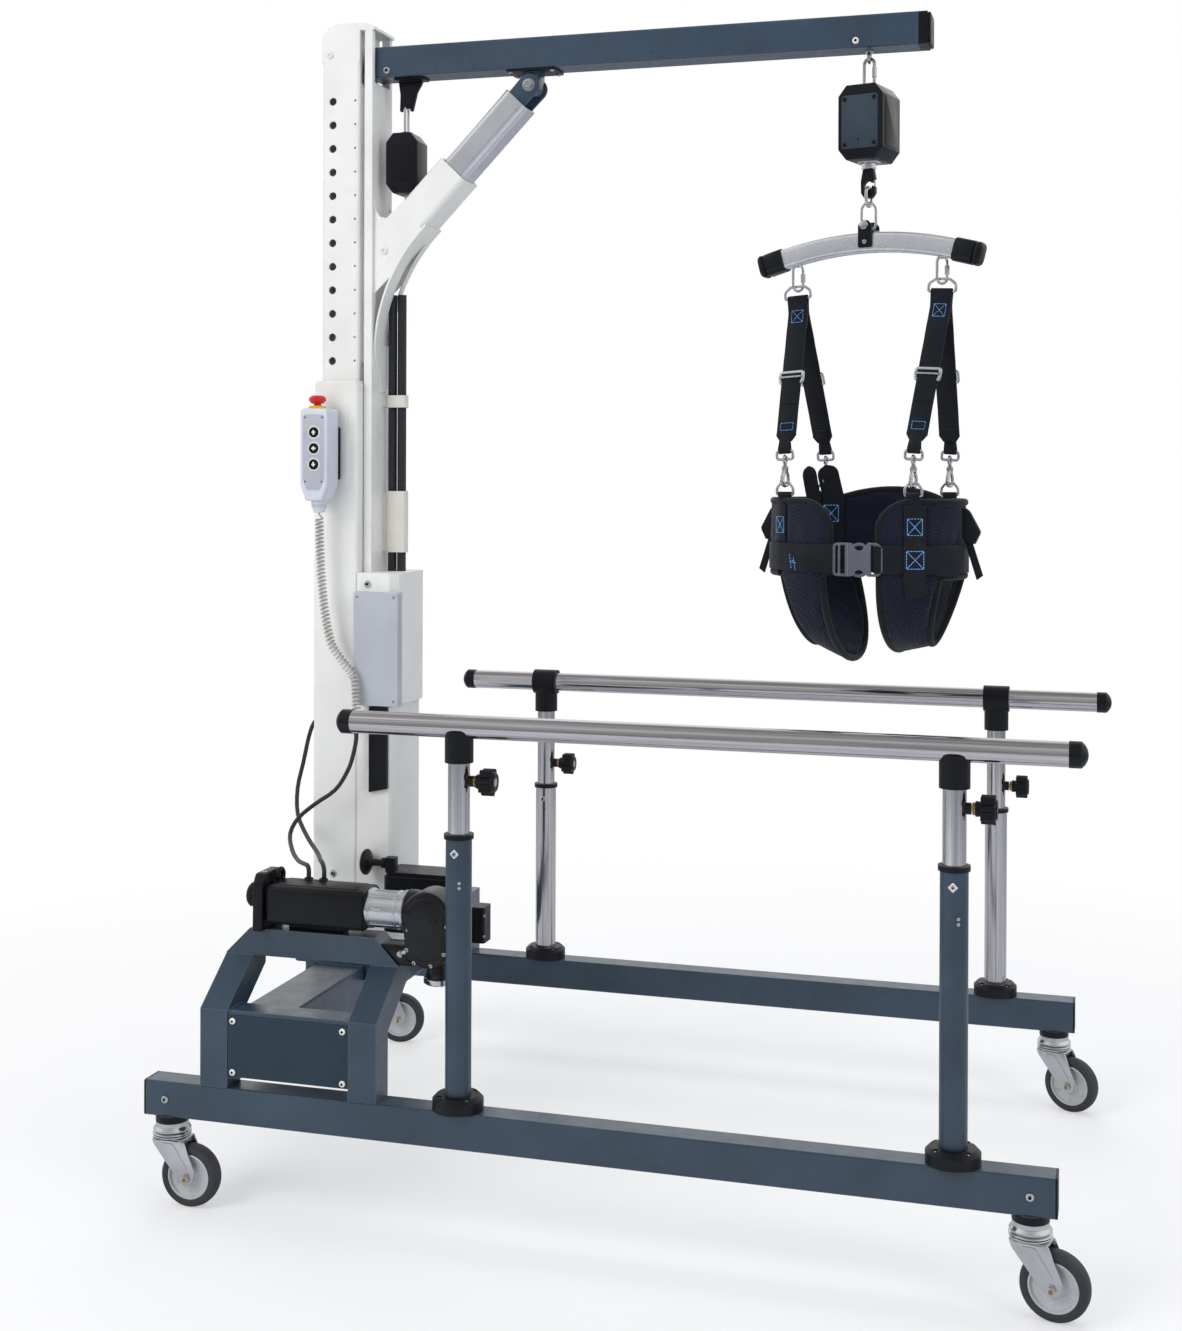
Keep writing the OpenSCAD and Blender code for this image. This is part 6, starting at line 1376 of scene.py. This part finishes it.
def swell(obj, cap, pressure=4.0, frames=20):
    """Padding fills out under pressure; no point moves further than cap."""
    before = coords(obj)
    cloth = obj.modifiers.new("padding", "CLOTH")
    cloth.settings.quality = 4
    cloth.settings.mass = 0.2
    cloth.settings.tension_stiffness = 12
    cloth.settings.compression_stiffness = 12
    cloth.settings.bending_stiffness = 1.0
    cloth.settings.use_pressure = True
    cloth.settings.uniform_pressure_force = pressure
    cloth.settings.effector_weights.gravity = 0.0
    cloth.collision_settings.use_collision = False
    scene = bpy.context.scene
    for frame_number in range(1, frames + 1):
        scene.frame_set(frame_number)
    apply_all(obj)
    after = coords(obj)
    if len(after) == len(before) and np.isfinite(after).all():
        moved = after - before
        far = np.linalg.norm(moved, axis=1, keepdims=True)
        after = before + moved * np.minimum(1.0, cap / np.maximum(far, 1e-9))
        obj.data.vertices.foreach_set("co", after.ravel())
    scene.frame_set(1)


def smooth_finish(obj, body, finish, levels=1):
    sub = obj.modifiers.new("soft", "SUBSURF")
    sub.levels = sub.render_levels = levels
    apply_all(obj)
    for face in obj.data.polygons:
        face.use_smooth = True
    obj.data.materials.clear()
    obj.data.materials.append(finish.mat)
    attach(obj, body)


LOAD_BACK = np.array(LOAD.inverted())
LOAD_FORTH = np.array(LOAD)


def in_load(co):
    """Row frame, in metres, to the hanging load's own frame, in millimetres."""
    return (co @ LOAD_BACK[:3, :3].T + LOAD_BACK[:3, 3]) / MM


def to_row(co):
    return (co * MM) @ LOAD_FORTH[:3, :3].T + LOAD_FORTH[:3, 3]


PAD_HALF = 3.4


def wrap_shell():
    """The padded wrap, swelled and then pressed in under the belt and the straps."""
    cols, rows = 150, 16

    def spot(out, r, i):
        a = GAP_RIGHT - SWEEP * i / cols
        edge = wrap_edge(a)
        return (*on_wrap(a, out * (0.55 if r in (0, rows) else 1.0)), edge - (edge - WRAP_BOTTOM) * r / rows)

    faces = [[[spot(out, r, i) for i in range(cols + 1)] for r in range(rows + 1)]
             for out in (PAD_HALF, -PAD_HALF)]
    obj = shell("harness_wrap_pad", *faces)
    swell(obj, 0.0042)
    # The belt presses the padding in, and the wrap creases a little above and below it
    co = in_load(coords(obj))
    ang = np.arctan2(-co[:, 1] / WRAP_B, co[:, 0] / WRAP_A)
    rim = np.stack([WRAP_A * np.cos(ang), -WRAP_B * np.sin(ang)], 1)
    way = np.stack([np.cos(ang) / WRAP_A, -np.sin(ang) / WRAP_B], 1)
    way /= np.linalg.norm(way, axis=1, keepdims=True)
    out = ((co[:, :2] - rim) * way).sum(1)
    near = np.abs(co[:, 2] - BELT_Z)
    limit = 3.7 + 6.0 * np.clip((near - BELT_W / 2 - 1) / 12, 0, 1) ** 1.5
    for strap in (RING_ANGLE, 180 - RING_ANGLE, -RING_ANGLE, RING_ANGLE - 180):
        apart = np.abs((np.degrees(ang) - strap + 180) % 360 - 180)
        limit = np.minimum(limit, 4.6 + 4.0 * np.clip((apart - 7.5) / 5, 0, 1))
    fold = 1.3 * np.sin(ang * 23 + co[:, 2] * 0.05) * np.sin(ang * 7.0) * np.exp(-((near - 34) / 16) ** 2)
    want = np.minimum(out + np.where(out > 0, fold, fold * 0.6), limit)
    co[:, :2] += way * (want - out)[:, None]
    obj.data.vertices.foreach_set("co", to_row(co).ravel())
    smooth_finish(obj, "harness", MESH)
    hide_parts("harness_wrap")


# A sling's middle at its front and at its lowest point, half its width, its lowest height, how much it
# narrows, its twist and tilt there, and how far its rear end lies to the side
Sling = namedtuple("Sling", "front low_middle half foot narrowing twist tilt rear_shift")
SLINGS = (Sling(-82, -60, 48, 934, 0.45, 26, 16, -34), Sling(112, 92, 46, 948, 0.22, -12, -8, 6))
SLING_TOP = WRAP_BOTTOM + 12


def sling_point(t, side, thick, s):
    """A point of a sling: t from 0 at the front to pi at the rear, side from -1 to 1, thick outward."""
    low, level = sin(t), cos(t)
    middle = s.front + s.rear_shift * (1 - level) / 2
    depth = WRAP_B * sqrt(max(0.0, 1 - ((middle + side * s.half) / WRAP_A) ** 2)) - 3
    n = np.array((0, level * (SLING_TOP - s.foot), low * depth))
    n /= np.linalg.norm(n) + 1e-9
    x = middle + (s.low_middle - middle) * low + side * s.half * (1 - s.narrowing * low)
    y = -level * depth + s.twist * side * low
    z = SLING_TOP - (SLING_TOP - s.foot) * max(low, 0.0) ** 0.9 - s.tilt * side * low
    return np.array((x, y, z)) + thick * n


def sling(index, s):
    """One padded thigh sling, from the front of the wrap down and up to its rear."""
    steps = np.linspace(0, pi, 65)
    sides = [(side, 0.55 + 0.45 * min(1.0, (1 - abs(side)) * 5)) for side in np.linspace(-1, 1, 19)]
    faces = [[[sling_point(t, side, out * rim, s) for side, rim in sides] for t in steps]
             for out in (-PAD_HALF, PAD_HALF)]
    obj = shell(f"thigh_sling_{index}", *faces, 0.004)
    swell(obj, 0.0038)
    smooth_finish(obj, "harness", MESH)


def piping():
    """Binding tape sewn over every cut edge of the padding."""
    piece = Piece("harness_binding", "harness", "webbing")
    section = [(5.7 * cos(a), 6.4 * sin(a)) for a in np.linspace(0, 2 * pi, 16, endpoint=False)]
    tuck = 2.5
    first, sweep = GAP_RIGHT - 0.8, SWEEP - 1.6
    edge = []
    for i in range(181):
        a = first - sweep * i / 180
        x, y = on_wrap(a)
        edge.append((x, y, wrap_edge(a) - tuck, a))

    def away(points):
        return [(cos(radians(q[3])) / WRAP_A * 1e3, -sin(radians(q[3])) / WRAP_B * 1e3, 0) for q in points]

    def down(a):
        return [(*on_wrap(a), z, a) for z in np.linspace(wrap_edge(a) - tuck, WRAP_BOTTOM + tuck, 12)[1:]]

    top = list(reversed(down(first))) + edge + down(first - sweep)
    piece.sweep([q[:3] for q in top], section, LOAD, BINDING, wide=away(top), sharp=60)
    # The lower edge is bound where no sling runs on from it
    low = [(*on_wrap(a), WRAP_BOTTOM + tuck, a) for a in np.linspace(25.5, -222, 160)]
    piece.sweep([q[:3] for q in low], section, LOAD, BINDING, wide=away(low), sharp=60)
    for s in SLINGS:
        for side in (-1, 1):
            times = [pi * i / 60 for i in range(1, 60)]
            rim = side * 0.95
            line = [sling_point(t, rim, 0, s) for t in times]
            normal = [sling_point(t, rim, 1, s) - sling_point(t, rim, 0, s) for t in times]
            piece.sweep(line, section, LOAD, BINDING, wide=normal, sharp=60)
    piece.finish()


wrap_shell()
for number, shape in enumerate(SLINGS):
    sling(number, shape)
piping()


# Cord, leads and the lines on the mast

LEAD_Y = -107


def smooth(points, parts):
    """Catmull-Rom points through the given ones, as the construction has them."""
    p = [np.array(q, float) for q in points]
    out = []
    for i in range(len(p) - 1):
        a, b, c, d = p[max(i - 1, 0)], p[i], p[i + 1], p[min(i + 2, len(p) - 1)]
        for k in range(parts):
            t = k / parts
            straight = 2 * b + (c - a) * t
            bent = (2 * a - 5 * b + 4 * c - d) * t ** 2
            out.append(0.5 * (straight + bent + (3 * b - a - 3 * c + d) * t ** 3))
    return out + [p[-1]]


def unit(v):
    return v / np.linalg.norm(v)


def wire(name, points, radius, finish):
    """One open line with a round section."""
    curve = bpy.data.curves.new(name, "CURVE")
    curve.dimensions = "3D"
    curve.bevel_depth = radius * MM
    curve.bevel_resolution = 4
    curve.use_fill_caps = True
    line = curve.splines.new("POLY")
    line.points.add(len(points) - 1)
    for point, p in zip(line.points, points):
        point.co = (*(np.array(p) * MM), 1)
    line.use_smooth = True
    made = new_object(name, curve)
    curve.materials.append(finish.mat)
    return made


def curly_line():
    """The wound cord: its axis first, then the wire round it."""
    way_points = ((0, -111, 1163), (1, -111, 1135), (2, -111, 1098), (6, -110, 1036), (13, -109, 976),
                  (25, -108, 927), (48, -107, 894), (69, -107, 868), (74, -107, 831), (75, -107, 803))
    axis = np.array(smooth([(x + PENDANT_X, y, z) for x, y, z in way_points], 20))
    runs = np.concatenate([[0], np.cumsum(np.linalg.norm(np.diff(axis, axis=0), axis=1))])

    def axis_at(t):
        s = max(0.0, min(1.0, t)) * runs[-1]
        return np.array([np.interp(s, runs, axis[:, k]) for k in range(3)])

    turns, radius, thick, parts = 52, 6.8, 3.4, 16
    wound = []
    for i in range(turns * parts + 1):
        t = i / (turns * parts)
        way = unit(axis_at(t + 0.01) - axis_at(t - 0.01))
        n = unit(np.cross(way, (0, 1, 0)))
        b = np.cross(n, way)
        angle = 2 * pi * turns * t
        wound.append(axis_at(t) + radius * (n * cos(angle) + b * sin(angle)))
    start, end = axis_at(0) + (0, 0, 11), axis_at(1) - (0, 0, 11)
    return [start, start - (0, 0, thick)] + wound + [end + (0, 0, thick), end]


def lead_lines():
    x0, y0 = PENDANT_X, LEAD_Y
    lead = ((75, y0, 760), (74, y0, 744), (66, -108, 710), (55, -110, 684), (34, -112, 654), (-4, -118, 627),
            (-33, -128, 601), (-38, -152, 576), (-6, -210, 560), (34, -270, 556), (72, -322, 562),
            (86, -340, 564), (92, -347, 558), (92, -347, 545.6))
    tail = ((-30.6, -40, 772), (-42, -40, 769), (-52, -42, 742), (-60, -50, 692), (-66, -62, 645),
            (-52, -90, 600), (-4, -150, 572), (54, -230, 562), (92, -300, 566), (112, -334, 568),
            (120, -345, 560), (120, -345, 545.6))
    return [smooth([(x + x0, y, z) for x, y, z in points], 3) for points in (lead, tail)]


def cords():
    curly = wire("pendant_curly_cord", curly_line(), 1.7, PALE_CORD)
    plug = Piece("cord_plug", "base", "cord_rubber")
    foot = at(PENDANT_X + 75, LEAD_Y, 760)
    plug.lathe([(0, -1), (4.4, -1), (5.0, 3), (6.2, 8), (7.6, 8.6), (8.5, 9.6), (8.5, 22), (7.8, 23),
                (7.8, 24.4), (8.3, 25), (8.3, 30.4), (7.6, 31.6), (3.4, 32), (2.6, 36), (0, 36.5)], foot,
               CORD, 32)
    for k in range(12):
        rib = foot @ at(0, 0, 15.6, rz=30 * k) @ at(8.2, 0, 0, ry=90) @ at(0, 0, 0, rz=90)
        plug.prism(rect(1.2, 11, 0.5, 2), 0.9, rib, BLACK, 0.3)
    plug = plug.finish()
    names = ("drive_lead", "drive_tail")
    leads = [wire(name, points, 4.0, CORD) for name, points in zip(names, lead_lines())]
    for made in [curly, *leads]:
        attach(made, "base")
    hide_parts("pendant_cord")
    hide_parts("drive_cables")
    lines = [curly_line(), *lead_lines()]


cords()


# Webbing, belt and buckle on the harness

MIDDLE = (GAP_LEFT + GAP_RIGHT) / 2
BUCKLE_TURN = 90 - MIDDLE + 3
BUCKLE_FACE = on_wrap(MIDDLE, 6.7)


def tangent(a):
    a = radians(a)
    return unit(np.array((WRAP_A * sin(a), WRAP_B * cos(a), 0.0)))


def outward(a):
    a = radians(a)
    return unit(np.array((cos(a) / WRAP_A, -sin(a) / WRAP_B, 0.0)))


def off_wrap(a, out, z):
    return np.array((*on_wrap(a), z)) + outward(a) * out


def front_of_sling(s, side, z, out):
    """The point on a sling's outer front face at a height, at a given place across it."""
    for t in np.linspace(0.02, 1.4, 200):
        p = sling_point(t, side, -out, s)
        if p[2] <= z:
            return p
    return p


def cross_stitch(piece, corners):
    """A sewn box and its cross, through four points in the load's frame."""
    a, b, c, d = corners
    for seam in ([a, b, c, d, a], [a, c], [b, d]):
        piece.stitches(seam, LOAD, radius=0.75, step=4.6, length=3.6)


def wrap_cross(piece, a, out, low, high, half):
    p_at = [(a + half, low), (a - half, low), (a - half, high), (a + half, high)]
    cross_stitch(piece, [off_wrap(t, out, z) for t, z in p_at])


def ring_loop(piece, side, depth):
    """Webbing that goes round the ring's bar and is sewn to the outer and inner faces of the wrap."""
    a = RING_ANGLE if side > 0 else 180 - RING_ANGLE
    a = a if depth < 0 else -a
    centre = np.array((side * HOOK_U, depth * RING_V, LOOP_Z))
    out_way = np.array((0, depth, 0.0))
    flat = np.array((1.0, 0, 0))
    across_wrap = tangent(a) * (1 if tangent(a)[0] > 0 else -1)
    path, wide = [], []
    for z, out in ((1150, 6.3), (1160, 6.4), (1176, 6.3), (1190, 5.8), (1199, 5.2)):
        path.append(off_wrap(a, out, z))
        wide.append(across_wrap)
    for angle in (-30, 0, 30, 60, 90, 120, 150, 180, 210):
        t = radians(angle)
        path.append(centre + 4.3 * (out_way * cos(t) + np.array((0, 0, 1.0)) * sin(t)))
        wide.append(flat)
    for z, out in ((1199, -5.2), (1190, -5.8), (1176, -6.3), (1150, -6.3)):
        path.append(off_wrap(a, out, z))
        wide.append(across_wrap)
    piece.strap(path, 24, 2.2, LOAD, wide)
    return a, across_wrap


def panel_straps(piece):
    for side in (-1, 1):
        for depth in (-1, 1):
            a, across_wrap = ring_loop(piece, side, depth)
            low = 1036 if (side, depth) == (1, -1) else (1130 if depth < 0 else 1134)
            path, wide = [], []
            for z in np.arange(1196, 1071, -4):
                over_belt = 1 / (1 + exp((z - 1131) / 2.2)) * (1 / (1 + exp((1077 - z) / 2.2)))
                if z < low:
                    break
                path.append(off_wrap(a, 7.0 + 3.0 * over_belt + 0.3 * sin(z * 0.21), z))
                wide.append(across_wrap)
            if low < 1072:
                for z in np.arange(1068, low, -4):
                    path.append(front_of_sling(SLINGS[1], 0.2, z, 6.5) * (1, 1, 0) + (0, 0, z))
                    path[-1][0] = off_wrap(a, 7, z)[0] + (1068 - z) * 0.1
                    wide.append(across_wrap)
            piece.strap(path, 37, 2.4, LOAD, wide)
            wrap_cross(piece, a, 8.6, 1146, 1174, 4.6)
    # Lower box stitch, where the right strap crosses the belt
    wrap_cross(piece, RING_ANGLE, 11.9, 1089, 1119, 5.2)
    # Straps inside the rear of the wrap, with the tall soft loop on the left one
    for a0, a1, top, width in ((-150, -143.5, 1264, 27), (-134.5, -128.5, 1266, 39)):
        heights = np.linspace(top, 1092, 40)
        angles = [a0 + (a1 - a0) * min(1, (top - z) / 60) for z in heights]
        path = [off_wrap(a, -9.5 - 0.4 * sin(z * 0.09) - 0.12 * max(0, z - 1204), z) for a,
                z in zip(angles, heights)]
        scale = [sqrt(max(0.02, 1 - max(0.0, 1 - (top - z) / 17) ** 2)) for z in heights]
        piece.strap(path, width, 4.0, LOAD, [tangent(a) for a in angles], scale=scale)
    wrap_cross(piece, -130.5, -12.3, 1162, 1192, 5.4)
    piece.strap([off_wrap(-RING_ANGLE, -8.2, z) for z in range(1196, 1090, -5)], 38, 2.4, LOAD,
                tangent(-RING_ANGLE))
    wrap_cross(piece, -RING_ANGLE, -9.9, 1146, 1176, 5.2)


def belt(piece):
    """The belt goes from the buckle's right bar round the wrap to its left frame."""
    local = at(*BUCKLE_FACE, BELT_Z, 90, 0, BUCKLE_TURN)

    def buckle_point(x, y, z):
        return np.array(local @ Vector((x * MM, y * MM, z * MM))) / MM

    front = np.array(local.to_3x3() @ Vector((0, 0, 1)))
    angles = np.linspace(MIDDLE - 20, MIDDLE + 20 - 360, 170)
    start = [buckle_point(30, 0, 3.2), buckle_point(36, 0, 2.6)]
    end = [buckle_point(-37, 0, 1.4), buckle_point(-29, 0, 2.6)]
    round_wrap = [off_wrap(a, 5.9 + 0.25 * sin(a * 0.5), BELT_Z + 0.5 * sin(a * 0.11)) for a in angles]
    path = start + round_wrap + end
    wide = [front, front] + [outward(a) for a in angles] + [front, front]
    section = [(y, x) for x, y in strap_section(BELT_W, 2.4)]
    piece.sweep(path, section, LOAD, WEBBING, wide=wide, sharp=50)
    # The webbing bulges round the bar on the right
    bulge = [buckle_point(x, 0, z) for x, z in ((27, 3), (28, 6.4), (32, 8.2), (37, 7.6), (42, 4.4),
                                                (50, 0.8), (58, -1.8))]
    piece.sweep(bulge, [(y, x) for x, y in strap_section(BELT_W - 3, 2.4)], LOAD, WEBBING, wide=front,
                sharp=50)
    # Loose end of the belt on the right, sagging a little, with its cut slanted
    tail_angles = np.linspace(42, 15, 30)
    last = len(tail_angles) - 1

    def tail_point(i, v, out):
        k = i / last
        z = BELT_Z - 23.5 + 47 * v - (10 + 12 * v) * k * k + 1.5 * sin(k * 9)
        slant = 6.5 * (v - 0.5) * -1 if i == last else 0
        return off_wrap(tail_angles[i] + slant, out + 5.5 * k * k + 0.8 * sin(v * 5 + k * 4), z)

    faces = [[[tail_point(i, part / 8, out) for i in range(last + 1)] for part in range(9)]
             for out in (8.4, 10.6)]
    piece.take(skin(*faces), LOAD, WEBBING, 50)
    # Thread ends left on the belt's left half
    for a, low, high in ((119, 1082, 1104), (122.5, 1084, 1110), (120.5, 1096, 1099)):
        piece.stitches([off_wrap(a, 7.6, low), off_wrap(a + 1.5, 7.6, high)], LOAD, radius=0.7, step=4.4,
                       length=3.8)
    piece.stitches([off_wrap(118.2, 7.6, 1094), off_wrap(124, 7.6, 1096)], LOAD, radius=0.7)
    return local


def buckle(piece, place):
    """Side release buckle: ladder frame on the left, body with scooped sides, looped bar on the right."""
    body = [(-20, -28.5), (-9.5, -28.5), (-6, -23.6), (-2, -18.8), (3, -17.2), (8, -18.8), (13, -24),
            (17.5, -28.2), (23, -28.6), (23, 28.6), (17.5, 28.2), (13, 22.5), (8, 16.6), (3, 14.8),
            (-2, 16.6), (-6, 22), (-9.5, 28.5), (-20, 28.5)]
    outline = rounded(body, [1.5, 1.5, 3, 4, 6, 4, 3, 3, 2, 2, 3, 3, 4, 6, 4, 3, 1.5, 1.5], n=4)
    piece.prism(outline, 11.4, place, BUCKLE, 1.7, 4)
    piece.prism(rect(4.2, 57.4, 1.2), 12.4, place @ at(-18.6, 0, 0), BUCKLE, 1.0, 3)
    rail = rounded([(-20, -26.4), (-40, -26.4), (-40, 26.4), (-20, 26.4)], 6, False, 6)
    piece.tube([(x, y, 5.4) for x, y in rail], 2.5, place, BUCKLE, sides=14)
    piece.prism(rect(4.4, 50, 1.6), 4.6, place @ at(-31.5, 0, 3.2), BUCKLE, 1.2, 3)
    piece.prism(rect(3.0, 50, 1.0), 3.6, place @ at(-23.6, 0, 2.4), BLACK, 0.8, 2)
    arm = rounded([(18, -26.6), (33, -26.6), (40.5, -20), (40.5, 20), (33, 26.6), (18, 26.6)], 5, False, 6)
    piece.tube([(x, y, 4.6) for x, y in arm], 2.4, place, BUCKLE, sides=14)
    piece.tube([(30, -25, 4.6), (30, 25, 4.6)], 2.0, place, BUCKLE)
    for s, y0 in ((1, 18.5), (-1, 20)):
        prong = rounded([(-9, s * (y0 + 2)), (-4, s * (y0 + 6.5)), (3, s * (y0 + 8)), (10, s * (y0 + 6.2)),
                         (15, s * (y0 + 1))], 4, False, 4)
        piece.tube([(x, y, 5.6) for x, y in prong], 2.7, place, BUCKLE, sides=12)
        piece.tube([(x * 0.86 + 0.4, y - s * 4.4, 5.2) for x, y in prong], 1.7, place, BLACK, sides=10)


def side_flaps(piece):
    """Folded ends of the adjusting straps that stand out on each side."""
    for s in (-1, 1):
        fold = [(-1, 1192), (8, 1191), (14, 1186), (33, 1152), (32, 1147), (23, 1129), (1, 1140)]
        tail = [(2, 1144), (16, 1142), (38, 1076), (27, 1068)]
        for outline, thick, radius in ((fold, 8.6, 3), (tail, 2.6, 1)):
            shape = rounded([(s * (x + WRAP_A), z) for x, z in outline], radius, True, 3)
            piece.prism(shape, thick, LOAD @ at(0, thick / 2, 0, 90), WEBBING, 1.1 if thick > 3 else 0.7, 3)
        piece.stitches([(s * (WRAP_A + 4), -4.9, 1184), (s * (WRAP_A + 20), -4.9, 1146)], LOAD, BINDING,
                       radius=0.5)


def harness_webbing():
    webbing = Piece("harness_webbing", "harness", "webbing")
    panel_straps(webbing)
    place = belt(webbing)
    side_flaps(webbing)
    webbing.finish("waist_belt")
    fastener = Piece("belt_buckle", "harness", "grey_plastic")
    buckle(fastener, LOAD @ place)
    fastener.finish()


harness_webbing()


# Heights of the two pale sleeves on the mast lines and the pitch of the ribs, in metres
PALE_SLEEVES = ((1.0962, 1.2138), (1.3742, 1.3978))
RIB_PITCH = 0.0036


def line_finish():
    """Black ribbed lines with two pale sleeves on them, told apart by their height."""
    look = Finish("mast_lines")
    z = look.axis("Z")

    def between(low, high):
        return look.math("MULTIPLY", look.math("GREATER_THAN", z, low), look.math("LESS_THAN", z, high))

    sleeve = look.math("ADD", *(between(low, high) for low, high in PALE_SLEEVES))
    slow = look.noise(30.0, 3.0)
    base = look.mix(sleeve, look.mix(slow, "#191a1d", "#2a2b30"), look.mix(slow, "#d0cdc2", "#dedbd1"))
    ribs = look.math("SINE", look.math("MULTIPLY", z, 2 * pi / RIB_PITCH))
    ribs = look.math("MULTIPLY", ribs, look.math("SUBTRACT", 1.0, sleeve))
    grains = look.math("ADD", ribs, look.math("MULTIPLY", look.noise(900.0, 2.0), 0.3))
    gloss = look.spread(slow, 0.3, 0.7, 0.4, 0.52)
    return look.surface(base, gloss, look.bump(grains, 0.0006, 0.7, look.round_edges(0.002)))


dress(line_finish(), "balance_lines")
